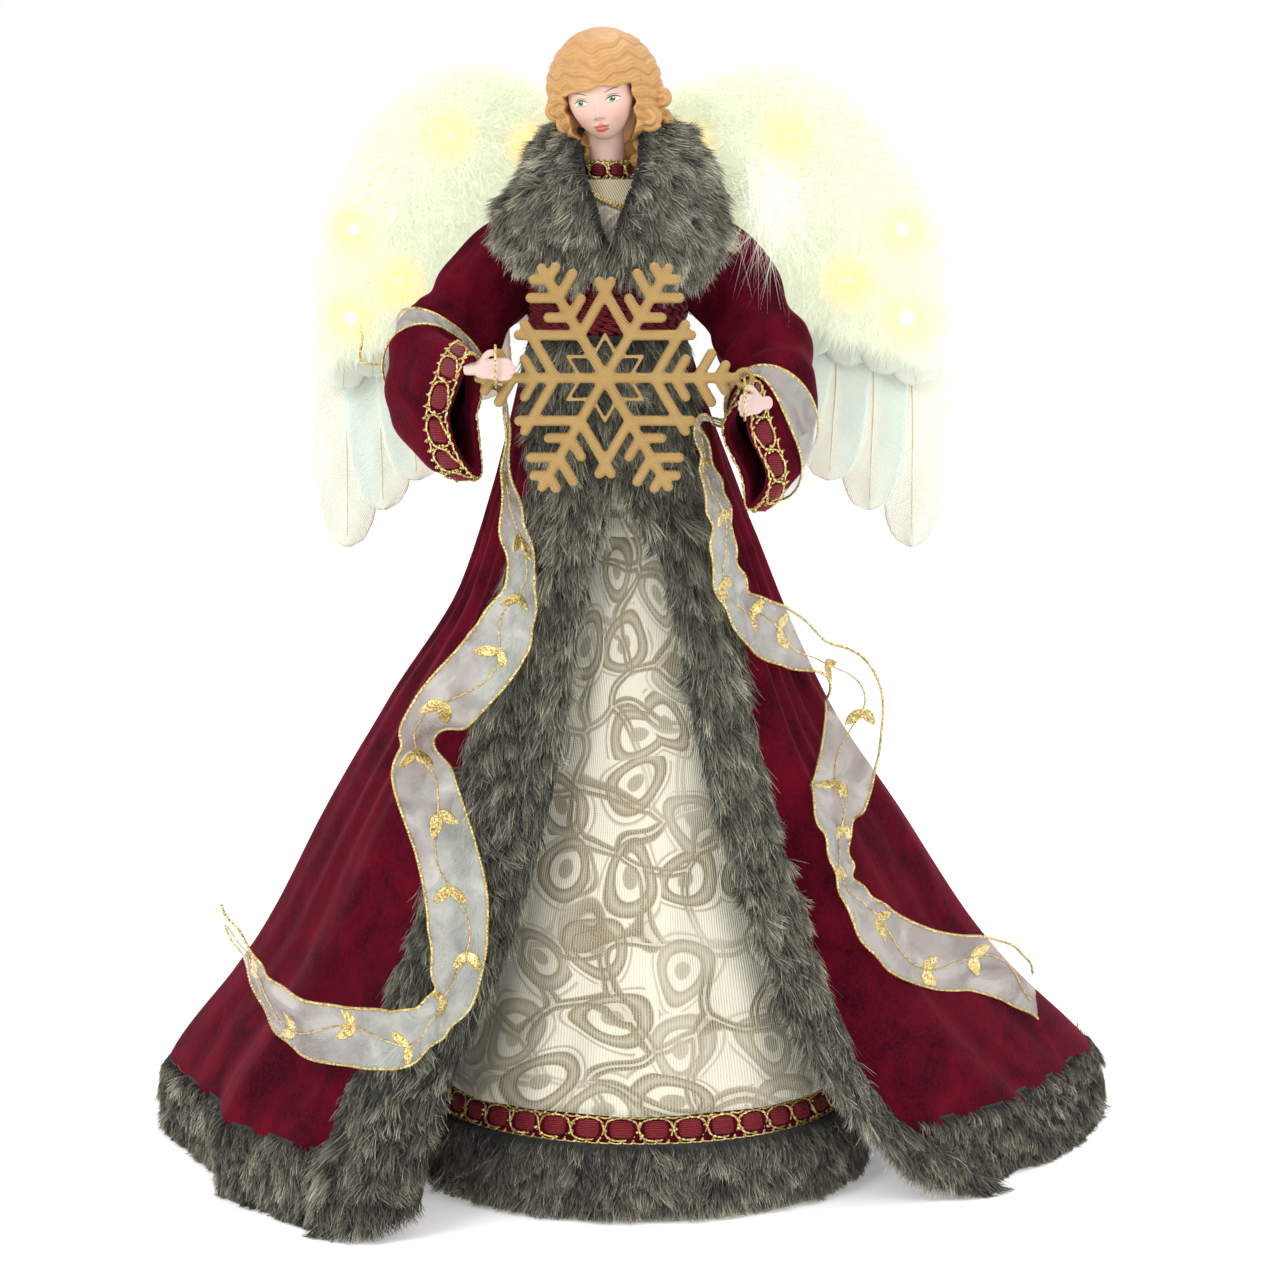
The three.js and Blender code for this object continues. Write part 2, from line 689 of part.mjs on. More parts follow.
// Robe skirt. Plan of the hem: angle from the back, positive towards +X, and radius as a share
// of the hem's reach.
const hemPlanShares = [
  [-180, 0.21], [-160, 0.227], [-146, 0.26], [-138, 0.42], [-128, 0.496], [-108, 0.546],
  [-90, 0.613], [-72, 0.823], [-60, 0.933], [-40, 0.832], [-20, 0.647], [0, 0.563], [20, 0.647],
  [42, 0.891], [60, 0.975], [72, 0.807], [90, 0.512], [104, 0.378], [113, 0.302], [120, 0.176],
  [150, 0.159], [180, 0.21],
];
// Angles of the two front edges, by how far down the robe they are
const frontEdgeShares = [
  [0, -179.5, 179.5],
  [0.17, -179, 178.5],
  [0.19, -175.5, 174],
  [0.25, -168, 161],
  [0.33, -161, 155],
  [0.5, -155, 152],
  [0.67, -149, 146],
  [0.83, -144, 139],
  [0.92, -143, 131],
  [1, -143, 119],
];
// Share of the way out from the waist to the hem, by how far down the robe it is, and how much
// more of it the cloth takes at the left and at the right side
const sideShares = [
  [0, 0, 0], [0.3, 0, -0.02], [0.45, 0.095, 0], [0.6, 0.15, 0.06], [0.75, 0.13, 0.05],
  [0.9, 0.105, 0.045], [1, 0, 0],
];
const fallShares = [
  [0, 0], [0.1, 0.065], [0.2, 0.135], [0.35, 0.235], [0.5, 0.345], [0.65, 0.485], [0.8, 0.685],
  [0.92, 0.89], [1, 1],
];
const robeWaist = {
  wide: along(torsoShares, waistBraidShares[0], 1) * torsoHalfWidth + robeLayer + waistStandOff,
  deep: along(torsoShares, waistBraidShares[0], 2) * torsoHalfDepth + robeLayer + waistStandOff,
};
// How often the cloth folds round the robe, and how quickly the front corners rise
const foldWaves = 9.5;
const fineFoldWaves = 16;
const cornerWaves = 60;

function robeAt(around, down, off) {
  const left = along(frontEdgeShares, down, 1);
  const right = along(frontEdgeShares, down, 2);
  const turn = mix(left, right, around);
  const angle = degrees(turn);
  const waist = 1 / Math.hypot(Math.sin(angle) / robeWaist.wide, Math.cos(angle) / robeWaist.deep);
  const hem = gownReach + along(hemPlanShares, turn) * hemSpread;
  const edgeCalm = Math.sin(Math.PI * around) ** 0.5;
  const broad = 0.7 * Math.sin(2 * Math.PI * foldWaves * around);
  const fine = 0.4 * Math.sin(2 * Math.PI * fineFoldWaves * around + 1);
  const fold = robeFold * down * edgeCalm * (broad + fine);
  const side = along(sideShares, down, turn < 0 ? 1 : 2) * Math.sin(angle) ** 2;
  const fall = along(fallShares, down) + side;
  const radius = mix(waist, hem, fall) + fold + off;
  const edge = Math.min(around, 1 - around);
  const rise = frontCornerRise * Math.exp(-edge * cornerWaves);
  const level = mix(robeTop, hemClearance + rise, down);
  const lean = bodyX * (1 - down) ** 1.7;
  return point(lean + radius * Math.sin(angle), radius * Math.cos(angle), level);
}

// Length round the robe at a level, to turn a width into a share of the way round
function girth(down) {
  const spots = steps(48).map((around) => robeAt(around, down, 0));
  return spots.slice(1).reduce((sum, spot, i) => sum + spot.distanceTo(spots[i]), 0);
}

function stripShare(down, widest) {
  const width = mix(frontFurWidthTop, widest, Math.min(down * 1.5, 1));
  return width / girth(down);
}

const hemFurTop = (robeTop - hemFurHeight) / robeTop;
const clothEdges = (down) => {
  const gap = clothGap / girth(down);
  return [stripShare(down, frontFurWidthLeft) + gap, 1 - stripShare(down, frontFurWidthRight) - gap];
};

// The cloth between the two strips, and the hem fur below it, share one way of running round
function clothAt(across, down, off) {
  const [left, right] = clothEdges(down);
  return robeAt(mix(left, right, across), down, off);
}

const robeColumns = 39;
const clothLevels = steps(7, 0, hemFurTop - clothGap / robeTop);
const hemFurLevels = steps(3, hemFurTop, 1);
add(root, 'robe_skirt', sheet(clothAt, steps(robeColumns), clothLevels, flat(-velvet / 2),
  flat(velvet / 2)), finishes.velvet);

function hemFur() {
  const swellAt = (down) => swell((down - hemFurTop) / (1 - hemFurTop));
  return sheet(clothAt, steps(robeColumns), hemFurLevels, (s, t) => -furInner * swellAt(t),
    (s, t) => furOuter * swellAt(t));
}

add(root, 'robe_hem_fur', hemFur(), finishes.fur);

function frontFur(side) {
  const widest = side === 'left' ? frontFurWidthLeft : frontFurWidthRight;
  const at = (down, share, off) => {
    const width = stripShare(down, widest);
    const around = side === 'left' ? share * width : 1 - share * width;
    return robeAt(around, down, off);
  };
  return sheet(at, [...clothLevels, ...hemFurLevels], steps(4),
    (s, t) => -furInner * swell(t), (s, t) => furOuter * swell(t));
}

add(root, 'left_front_fur', frontFur('left'), finishes.fur);
add(root, 'right_front_fur', frontFur('right'), finishes.fur);

// Hands: the palm stands upright, the thumb is on top
for (const side of ['left', 'right']) {
  const { centre, turn } = hands[side];
  const held = hand().rotateX(Math.PI / 2).rotateZ(degrees(turn)).translate(...centre.toArray());
  add(upper, `${side}_hand`, held, finishes.porcelain);
}

// Snowflake: six arms with star bars, branches and a fine inner star, in one plane
const armStarShare = 0.378;
const outerBranchShare = 0.864;
const branchShares = [[0.532, 0.202], [0.705, 0.25], [outerBranchShare, 0.148]];
const innerPointShare = 0.33;
const innerValleyShare = 0.186;

const spoke = (angle, reach) => point(reach * Math.cos(angle), 0, reach * Math.sin(angle));

// A flat moulded bar with round ends, or a fine round one
function bar(from, to) {
  const way = to.clone().sub(from);
  const turn = -Math.atan2(way.z, way.x);
  const slab = new THREE.BoxGeometry(way.length(), flakeThickness, flakeBar).rotateY(turn)
    .translate(...from.clone().add(to).multiplyScalar(0.5).toArray());
  const end = new THREE.CylinderGeometry(flakeBar / 2, flakeBar / 2, flakeThickness, 6)
    .rotateY(turn + Math.PI / 6).translate(...to.toArray());
  return [slab, end];
}

function fineBar(from, to) {
  const way = to.clone().sub(from);
  const rod = new THREE.CylinderGeometry(flakeFineBar / 2, flakeFineBar / 2, way.length(), 4);
  rod.applyQuaternion(new THREE.Quaternion().setFromUnitVectors(point(0, 1, 0), way.normalize()));
  return rod.translate(...from.clone().add(to).multiplyScalar(0.5).toArray());
}

function snowflake() {
  const arms = [];
  const sixth = Math.PI / 3;
  for (let k = 0; k < 6; k++) {
    const angle = k * sixth;
    const bars = bar(spoke(angle, 0), spoke(angle, flakeRadius - flakeBar / 2));
    for (const way of [-1, 1]) {
      const branch = (from, length) => {
        const foot = spoke(angle, from);
        bars.push(...bar(foot, foot.clone().add(spoke(angle + way * sixth, length - flakeBar / 2))));
      };
      const starFoot = armStarShare * flakeRadius;
      branch(starFoot, starFoot + flakeBar);
      branchShares.forEach(([from, length]) => branch(from * flakeRadius, length * flakeRadius));
      bars.push(fineBar(spoke(angle, innerValleyShare * flakeRadius),
        spoke(angle + way * sixth / 2, innerPointShare * flakeRadius)));
    }
    arms.push(join(...bars));
  }
  const half = flakeThickness / 2;
  const eyeShare = 0.65;
  const eye = new THREE.LatheGeometry([
    new THREE.Vector2(flakeEyeHole, -half * eyeShare),
    new THREE.Vector2(flakeEyeRadius, -half * eyeShare),
    new THREE.Vector2(flakeEyeRadius, half * eyeShare),
    new THREE.Vector2(flakeEyeHole, half * eyeShare),
    new THREE.Vector2(flakeEyeHole, -half * eyeShare),
  ], 14).translate(eyeReach, 0, 0);
  const neck = new THREE.BoxGeometry(2 * flakeBar, half, half)
    .translate(flakeRadius, 0, 0);
  const hole = new THREE.CylinderGeometry(flakeEyeHole, flakeEyeHole, flakeThickness * 2, 14)
    .translate(eyeReach, 0, 0);
  return cut(join(...arms, neck, eye), hole);
}

const flakeMesh = add(root, 'snowflake', snowflake(), finishes.gold);
flakeMesh.position.copy(flakeCentre);

// Tie threads: closed loops in an upright plane, through places of [y, z]
function threadLoop(x, places) {
  const curve = new THREE.CatmullRomCurve3(places.map(([y, z]) => point(x, y, z)), true);
  const rings = steps(18).slice(1).map((share) => {
    const spot = curve.getPoint(share);
    const ahead = curve.getTangent(share);
    const out = point(1, 0, 0).cross(ahead).normalize();
    return round(5).map((turn) => spot.clone()
      .addScaledVector(out, threadRadius * Math.cos(2 * Math.PI * turn))
      .addScaledVector(point(1, 0, 0), threadRadius * Math.sin(2 * Math.PI * turn)));
  });
  return loft(rings, true);
}

// The left loop holds the fingers and the bar behind them, with room for the swing
const threadRoom = threadRadius + fit;
const barRoom = flakeBar / 2 + threadRoom + fit;
const plane = flakeCentre.y;
const slack = flakeThickness / 2 + swingGap / 2 + threadRoom;
const leftHand = hands.left.centre;
const leftAhead = handAhead(hands.left);
const leftTieX = flakeCentre.x - outerBranchShare * flakeRadius + tieInset;
const leftHandY = leftHand.y + (leftTieX - leftHand.x) / leftAhead.x * leftAhead.y;
add(root, 'left_tie_thread', threadLoop(leftTieX, [
  [leftHandY - palmThickness / 2 - 2 * threadRoom, leftHand.z],
  [leftHandY - palmThickness / 2 - threadRoom, leftHand.z + palmWidth / 2 + 3 * threadRoom],
  [leftHandY, leftHand.z + palmWidth / 2 + 6 * threadRoom],
  [plane - slack, leftHand.z],
  [plane, flakeCentre.z + barRoom + tieSlack],
  [plane + slack, flakeCentre.z + flakeBar / 2],
  [plane + slack, flakeCentre.z - flakeBar / 2],
  [plane, flakeCentre.z - barRoom - tieSlack],
  [leftHandY, leftHand.z - palmWidth / 2 - 2 * threadRoom],
]), finishes.gold);

// The right loop runs through the eye of the snowflake and under the fingers
const eyeCentre = flakeCentre.clone().add(point(eyeReach, 0, 0));
const rightHand = hands.right.centre;
const rightAhead = handAhead(hands.right);
const rightHandY = rightHand.y + (eyeCentre.x - rightHand.x) / rightAhead.x * rightAhead.y;
const fingerDepth = palmThickness / 2 / Math.abs(rightAhead.x);
const eyeSlack = slack + threadRoom;
add(root, 'right_tie_thread', threadLoop(eyeCentre.x, [
  [rightHandY - fingerDepth - 2 * threadRoom, rightHand.z],
  [rightHandY - threadRoom, rightHand.z + palmWidth / 2 + 4 * threadRoom],
  [plane, eyeCentre.z],
  [plane + slack, eyeCentre.z - threadRoom],
  [plane + eyeSlack, eyeCentre.z - flakeEyeRadius],
  [plane, eyeCentre.z - flakeEyeRadius - barRoom],
  [rightHandY, rightHand.z - palmWidth / 2 - 2 * threadRoom],
]), finishes.gold);

// Ribbons of sheer cloth with wired edges. Rows of x, y and z as shares of the hem's reach
// (x and y) and of the robe's height, then the lean of the ribbon's width in the front view and
// its turn out of that view, in degrees.
const leftRibbonShares = [
  [-0.222, -0.18, 0.93, 0, 80], [-0.219, -0.2, 0.853, 10, 74], [-0.208, -0.23, 0.79, 20, 60],
  [-0.193, -0.26, 0.726, 30, 60], [-0.213, -0.275, 0.682, -12, 30], [-0.246, -0.28, 0.642, -36, 0],
  [-0.309, -0.27, 0.592, -36, 0], [-0.367, -0.24, 0.542, -27, 60], [-0.357, -0.26, 0.498, -7, 0],
  [-0.324, -0.31, 0.438, -11, 0], [-0.30, -0.377, 0.385, 12, 10], [-0.295, -0.415, 0.328, 5, 30],
  [-0.304, -0.45, 0.274, -10, 50], [-0.343, -0.473, 0.247, -60, 40], [-0.391, -0.473, 0.231, -90, 10],
  [-0.473, -0.406, 0.221, -90, 0], [-0.56, -0.33, 0.221, -94, 10], [-0.623, -0.242, 0.244, -104, 45],
  [-0.662, -0.184, 0.281, -120, 65], [-0.705, -0.145, 0.324, -130, 70],
];
const rightRibbonShares = [
  [0.1, -0.2, 0.906, 0, 72], [0.11, -0.2, 0.866, 0, 68], [0.12, -0.2, 0.833, -8, 60],
  [0.135, -0.193, 0.796, 0, 62], [0.14, -0.184, 0.756, 8, 62], [0.152, -0.174, 0.716, 10, 60],
  [0.179, -0.159, 0.679, 35, 60], [0.22, -0.116, 0.657, 62, 30], [0.263, -0.058, 0.64, 62, 42],
  [0.326, -0.019, 0.61, 28, 66], [0.367, 0.01, 0.569, -10, 0], [0.367, -0.01, 0.53, -11, 0],
  [0.349, -0.1, 0.485, 4, 0], [0.333, -0.15, 0.455, 5, 35], [0.333, -0.164, 0.423, -5, 62],
  [0.343, -0.184, 0.385, 15, 72], [0.357, -0.188, 0.356, 28, 70], [0.396, -0.179, 0.319, 37, 55],
  [0.447, -0.135, 0.284, 50, 40], [0.517, -0.058, 0.256, 64, 28], [0.594, 0.048, 0.236, 70, 10],
  [0.662, 0.14, 0.207, 66, 30], [0.705, 0.184, 0.176, 80, 55],
];
const ribbonBands = {
  left: { rows: leftRibbonShares, bandShares: [0.58, 0.70], seatShare: 0.917 },
  right: { rows: rightRibbonShares, bandShares: [0.80, 0.90], seatShare: 0.5 },
};

function ribbon(side) {
  const { rows, bandShares, seatShare } = ribbonBands[side];
  const [from, to] = bandShares;
  const mid = fit + ribbonThickness / 2;
  const seatRing = sleeveRing(side, (from + to) / 2, mid);
  const seatSpot = seatRing[Math.round(seatShare * seatRing.length) - 1];
  const spots = rows.map(([x, y, z]) => point(x * hemReach, y * hemReach, z * robeTop));
  const curve = smoothCurve([seatSpot, ...spots]);
  const leans = [[0, rows[0][3], rows[0][4]],
    ...rows.map((row, i) => [(i + 1) / rows.length, row[3], row[4]])];
  const tail = sheet((share, across, off) => {
    const [lean, turn] = [1, 2].map((column) => degrees(along(leans, share, column)));
    const ahead = curve.getTangent(share);
    const wide = point(Math.cos(lean) * Math.cos(turn), Math.sin(turn), Math.sin(lean) * Math.cos(turn));
    wide.addScaledVector(ahead, -wide.dot(ahead)).normalize();
    const proud = ahead.clone().cross(wide);
    return curve.getPoint(share).addScaledVector(wide, (across - 0.5) * ribbonWidth)
      .addScaledVector(proud, off);
  }, steps(Math.round(1.5 * rows.length)), [0, 1], flat(-ribbonThickness / 2), flat(ribbonThickness / 2));
  const band = sleeveBand(side, from, to, fit, fit + ribbonThickness);
  const cuffRoom = loft([cuffFrom(side), 1].map((share) => (
    sleeveRing(side, share, braidThickness + 2 * fit))));
  return cut(join(tail, band), sleeveSolid(side, fit), armRoom(side), cuffRoom);
}

add(root, 'left_ribbon', ribbon('left'), finishes.organza);
add(root, 'right_ribbon', ribbon('right'), finishes.organza);

// Wings. Places are shares: out from the hinge to the wing's reach, up from its tips to its arch.
const wingTop = torsoTop + wingRise;
const wingFoot = wingTop - wingHeight;
const archShares = [
  [0.05, 0.90], [0.10, 0.94], [0.25, 0.985], [0.45, 1.0], [0.62, 0.955], [0.77, 0.865],
  [0.88, 0.76], [0.94, 0.66], [0.985, 0.5], [1.0, 0.36],
];
const downFootShares = [[0.05, 0.66], [0.3, 0.58], [0.6, 0.50], [0.96, 0.43]];
// Outline of the card board, from its lower edge round to its arch, and where its hinge tab ends:
// how far out its foot and its top are, and how far the lower edge drops from the foot
const boardShares = [
  [0.22, 0.48], [0.5, 0.40], [0.86, 0.36], [0.93, 0.5], [0.89, 0.66], [0.83, 0.76],
  [0.72, 0.85], [0.58, 0.92], [0.43, 0.95], [0.25, 0.94], [0.12, 0.90],
];
const tabShares = { foot: 0.15, top: 0.10, drop: 0.06 };
const featherShares = [
  { root: [0.30, 0.74], middle: [0.37, 0.52], tip: [0.33, 0.32] },
  { root: [0.38, 0.76], middle: [0.50, 0.50], tip: [0.47, 0.23] },
  { root: [0.46, 0.79], middle: [0.62, 0.50], tip: [0.61, 0.145] },
  { root: [0.53, 0.82], middle: [0.74, 0.50], tip: [0.75, 0.08] },
  { root: [0.60, 0.85], middle: [0.86, 0.50], tip: [0.90, 0] },
];
const lampShares = [[0.12, 0.86], [0.455, 0.88], [0.84, 0.685], [0.66, 0.58], [0.86, 0.5]];
// Half width of a feather along its length, as a share of its widest half width
const bladeShares = [
  [0, 0.3], [0.25, 0.8], [0.5, 1.0], [0.8, 0.98], [0.92, 0.8], [0.98, 0.5], [1, 0.16],
];
const layer = featherThickness + fit;
const feathersFront = covertThickness + fit;
const boardFront = feathersFront + featherShares.length * layer;
const pinDepth = boardFront + boardThickness / 2;
const knuckleRadius = pinRadius + fit + knuckleWall;
const stripFoot = shoulderLevel - stripHeight / 2;
const knuckleFoot = stripFoot + stripHeight + fit;

function wing(side) {
  const sign = side === 'left' ? -1 : 1;
  const reach = side === 'left' ? leftWingReach : rightWingReach;
  const place = (out, up, depth) => point(sign * out * reach, depth, up * wingHeight);
  const outline = (rows) => rows.map(([out, up]) => new THREE.Vector2(sign * out * reach, up * wingHeight));
  // A flat plate whose front face lies at the given depth
  const plate = (shape, thickness, front) => new THREE.ExtrudeGeometry(shape,
    { depth: thickness, bevelEnabled: false, curveSegments: 4 })
    .rotateX(Math.PI / 2).translate(0, front + thickness, 0);
  const group = new THREE.Group();
  group.position.set(bodyX + sign * hingeSpread, wingDepth, wingFoot);

  function feather({ root: from, middle, tip }, front) {
    const curve = smoothCurve([from, middle, tip].map(([out, up]) => place(out, up, front)));
    const blade = (share, across, off) => {
      const ahead = curve.getTangentAt(share);
      const wide = point(ahead.z, 0, -ahead.x);
      const half = along(bladeShares, share) * featherWidth / 2;
      return curve.getPointAt(share).addScaledVector(wide, across * half).add(point(0, off, 0));
    };
    const thinShare = 0.3;
    const body = (across) => featherThickness * (1 - (1 - thinShare) * Math.abs(across));
    return sheet(blade, [0, 0.2, 0.45, 0.75, 0.92, 1], [-1, 0, 1],
      (share, across) => featherThickness - body(across), flat(featherThickness));
  }

  function coverts() {
    const shape = new THREE.Shape();
    const arch = archShares.filter(([out]) => out < 0.95);
    const start = outline([[0.93, 0.42]])[0];
    shape.moveTo(start.x, start.y);
    const scallopShares = [0.93, 0.77, 0.61, 0.45, 0.29, 0.13];
    scallopShares.slice(1).forEach((out, i) => {
      const level = (share) => 0.42 + 0.2 * (0.93 - share);
      const [low, end] = outline([[(out + scallopShares[i]) / 2, level(out) - 0.11], [out, level(out)]]);
      shape.quadraticCurveTo(low.x, low.y, end.x, end.y);
    });
    outline(arch.map(([out, up]) => [Math.max(out, 0.1), up - 0.02])).slice(1)
      .forEach((spot) => shape.lineTo(spot.x, spot.y));
    return plate(shape, covertThickness, 0);
  }

  function lampWell([out, up]) {
    const radius = socketRadius + fit;
    return new THREE.CylinderGeometry(radius, radius, 2 * downThickness + overrun, 6)
      .translate(...place(out, up, -downThickness / 2).toArray());
  }

  const wireDepth = -fit - lightWireRadius;
  const wireSpots = [[0.04, 0.70], ...lampShares].map(([out, up]) => place(out, up, wireDepth));
  const wireCurve = smoothCurve(wireSpots);
  const wireSteps = 13;

  function down() {
    const lengths = steps(9, 0.05, 0.96);
    const pillow = sheet((out, share, off) => {
      const [foot, top] = [along(downFootShares, out), along(archShares, out)];
      return place(out, mix(foot, top, share), -off);
    }, lengths, steps(4), flat(fit), (out, share) => (
      downThickness * swell(share) * mix(0.45, 1, Math.sin(Math.PI * out))));
    const room = lightWireRadius + 2 * fit;
    const groove = sheet((share, across, off) => {
      const ahead = wireCurve.getTangentAt(share);
      return wireCurve.getPointAt(share).addScaledVector(point(ahead.z, 0, -ahead.x), across * room)
        .add(point(0, off, 0));
    }, steps(wireSteps), [-1, 1], flat(-room), flat(room + overrun));
    return cut(pillow, groove, ...lampShares.map(lampWell));
  }

  function lightString() {
    const wire = tube(wireCurve, lightWireRadius, wireSteps, 4);
    const sockets = lampShares.map(([out, up]) => new THREE.CylinderGeometry(
      socketRadius, socketRadius, socketLength, 6)
      .translate(...place(out, up, -fit - socketLength / 2).toArray()));
    return join(wire, ...sockets);
  }

  function lamp([out, up]) {
    const foot = fit + socketLength + fit;
    const profile = [
      new THREE.Vector2(0, 0),
      new THREE.Vector2(lampRadius, 0),
      new THREE.Vector2(lampRadius, 0.6 * lampLength),
      new THREE.Vector2(0.6 * lampRadius, 0.85 * lampLength),
      new THREE.Vector2(0, lampLength),
    ];
    return new THREE.LatheGeometry(profile, 6).rotateX(Math.PI)
      .translate(...place(out, up, -foot).toArray());
  }

  function board() {
    const tabFoot = (knuckleFoot + fit - wingFoot) / wingHeight;
    const tabTop = tabFoot + (knuckleLength - fit) / wingHeight;
    const hingeEdge = (pinRadius + fit + knuckleWall / 3) / reach;
    const postEdge = (knuckleRadius + 2 * fit) / reach;
    const shape = new THREE.Shape(outline([
      [hingeEdge, tabFoot], [postEdge, tabFoot], [tabShares.foot, tabFoot - tabShares.drop],
      ...boardShares, [tabShares.top, tabTop], [hingeEdge, tabTop],
    ]));
    const [inside, outside] = [pinRadius + fit, knuckleRadius];
    const [foot, top] = [knuckleFoot - wingFoot, knuckleFoot - wingFoot + knuckleLength];
    const knuckle = new THREE.LatheGeometry([[inside, foot], [outside, foot], [outside, top],
      [inside, top], [inside, foot]].map(([r, z]) => new THREE.Vector2(r, z)), 12)
      .rotateX(Math.PI / 2).translate(0, pinDepth, 0);
    return join(plate(shape, boardThickness, boardFront), knuckle);
  }

  add(group, `${side}_wing_board`, board(), finishes.card);
  featherShares.forEach((rows, i) => add(group, `${side}_feather_${i + 1}`,
    feather(rows, feathersFront + i * layer), finishes.feather));
  add(group, `${side}_coverts`, coverts(), finishes.feather);
  add(group, `${side}_down`, down(), finishes.feather);
  add(group, `${side}_light_string`, lightString(), finishes.cable);
  lampShares.forEach((spot, i) => add(group, `${side}_lamp_${i + 1}`, lamp(spot), finishes.lamp));
  return group;
}

root.add(wing('left'), wing('right'));

// Bracket: a bent strip against the robe's back with an upright pin at each end
function wingBracket() {
  const back = along(torsoShares, 0.86, 2) * torsoHalfDepth + robeLayer + fit;
  const hinge = wingDepth + pinDepth;
  const half = 0.55 * hingeSpread;
  const t = stripThickness;
  const plan = [[-hingeSpread, hinge], [-half, back + t], [half, back + t], [hingeSpread, hinge]];
  const inner = plan.toReversed().map(([x, y], i) => [x + (i % 3 === 0 ? Math.sign(x) * t : 0), y - t]);
  const strip = new THREE.ExtrudeGeometry(new THREE.Shape([...plan, ...inner].map(
    ([x, y]) => new THREE.Vector2(x, y))), { depth: stripHeight, bevelEnabled: false })
    .translate(bodyX, 0, stripFoot);
  const posts = [-1, 1].flatMap((sign) => {
    const spot = [bodyX + sign * hingeSpread, hinge];
    const pinHeight = stripHeight + fit + knuckleLength + fit;
    return [
      new THREE.CylinderGeometry(knuckleRadius, knuckleRadius, stripHeight, 12).rotateX(Math.PI / 2)
        .translate(...spot, stripFoot + stripHeight / 2),
      new THREE.CylinderGeometry(pinRadius, pinRadius, pinHeight, 12).rotateX(Math.PI / 2)
        .translate(...spot, stripFoot + pinHeight / 2),
    ];
  });
  return join(strip, ...posts);
}

add(root, 'wing_bracket', wingBracket(), finishes.steel);

export default root;
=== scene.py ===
"""Angel tree topper: the cloth, fur, porcelain, feathers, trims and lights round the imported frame.

Lengths are in metres, +Z is up, the doll looks along -Y and the viewer's right is +X.
"""

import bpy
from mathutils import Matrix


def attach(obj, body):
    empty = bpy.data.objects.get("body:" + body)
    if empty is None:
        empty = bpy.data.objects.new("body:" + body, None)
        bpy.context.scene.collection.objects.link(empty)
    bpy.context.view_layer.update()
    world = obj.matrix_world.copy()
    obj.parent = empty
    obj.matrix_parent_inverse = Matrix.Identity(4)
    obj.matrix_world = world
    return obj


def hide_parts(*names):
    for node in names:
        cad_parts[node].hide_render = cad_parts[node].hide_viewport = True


bl_info = {
    "name": "Angel tree topper", "version": (1, 0, 0), "blender": (4, 5, 0), "location": "View3D > Sidebar > Topper",
    "description": "Dresses an angel tree topper in velvet, fur, brocade, porcelain and feathers",
    "category": "Object",
}

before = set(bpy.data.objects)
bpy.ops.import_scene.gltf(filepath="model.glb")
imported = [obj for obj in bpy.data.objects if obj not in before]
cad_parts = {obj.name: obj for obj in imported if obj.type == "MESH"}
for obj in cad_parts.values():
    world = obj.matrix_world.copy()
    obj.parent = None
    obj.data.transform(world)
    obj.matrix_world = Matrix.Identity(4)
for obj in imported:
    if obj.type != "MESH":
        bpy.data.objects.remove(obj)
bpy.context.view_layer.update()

import math

import bpy
import numpy as np
from bpy.props import FloatProperty, FloatVectorProperty, PointerProperty

FULL_TURN = 2 * math.pi
FLOOR_ROOM = 0.0005
RIGHT, BACK, UP = np.eye(3)

# Sizes that the cloth follows, as the frame has them
FIT = 0.0003
CONE_RADIUS = 0.078
CONE_TOP_RADIUS = 0.025
CONE_HEIGHT = 0.232
CONE_WALL = 0.0016
CONE_RIM_WIDTH = 0.0045
CONE_RIM_HEIGHT = 0.003
TORSO_LENGTH = 0.12
TORSO_HALF_WIDTH = 0.033
TORSO_HALF_DEPTH = 0.021
BODY_LEAN = -0.011
WAIST_BRAID_SHARES = (0.56, 0.71)
NECKLINE_FOOT = 0.775
BROCADE = 0.0014
VELVET = 0.0017
BRAID_BAND = 0.0007
NECK_BRAID_WIDTH = 0.006
NECK_BRAID_REACH = 0.009
CUFF_BRAID_WIDTH = 0.007
CUFF_GIRTH, CUFF_PITCH = 0.115, 0.0092
NECK_GIRTH, NECK_PITCH = 0.05, 0.0062
HEM_PITCH = 0.0118
GOWN_PLEAT = 0.0009
GOWN_PLEATS = 8
GOWN_FUR_BOTTOM = 0.004
GOWN_FUR_WIDTH = 0.022
GOWN_FUR_THICKNESS = 0.0055
GOWN_BRAID_WIDTH = 0.009
HEM_SPREAD = 0.123
HEM_CLEARANCE = 0.0006
WAIST_STAND_OFF = 0.0012
ROBE_FOLD = 0.0045
FOLD_WAVES = 9.5
FINE_FOLD_WAVES = 16
CORNER_WAVES = 60
FRONT_CORNER_RISE = 0.013
HEM_FUR_HEIGHT = 0.027
FRONT_FUR_TOP = 0.029
FRONT_FUR_LEFT = 0.038
FRONT_FUR_RIGHT = 0.042
FUR_OUTER = 0.0065
HEM_TURN_IN = 0.0045
FUR_INNER = 0.0022
COLLAR_THICKNESS = 0.0095
NECK_RADIUS = 0.0062
NECK_LENGTH = 0.026
HEAD_HALF_WIDTH = 0.0185
HEAD_HEIGHT = 0.039
HEAD_TURN = -9
HEAD_ASIDE = 0.0016
HEAD_SINK = 0.0006
HEAD_TILT = -9
HEAD_PITCH = 7
ARM_WIRE_RADIUS = 0.0012
ARM_WIRE_SPAN = (0.02, 0.86)
ARM_WIRE_LIFT = 0.013
ARM_REACH = 0.062
ARM_FORWARD = 0.046
ARM_DROP = 0.06
SLEEVE_HALF_WIDTH = 0.015
SLEEVE_HALF_HEIGHT = 0.024
PALM_LENGTH = 0.009
PALM_WIDTH = 0.007
PALM_THICKNESS = 0.0042
FINGER_RADIUS = 0.00095
FINGER_LENGTH = 0.0065
WRIST_LENGTH = 0.005
WRIST_RADIUS = 0.0023
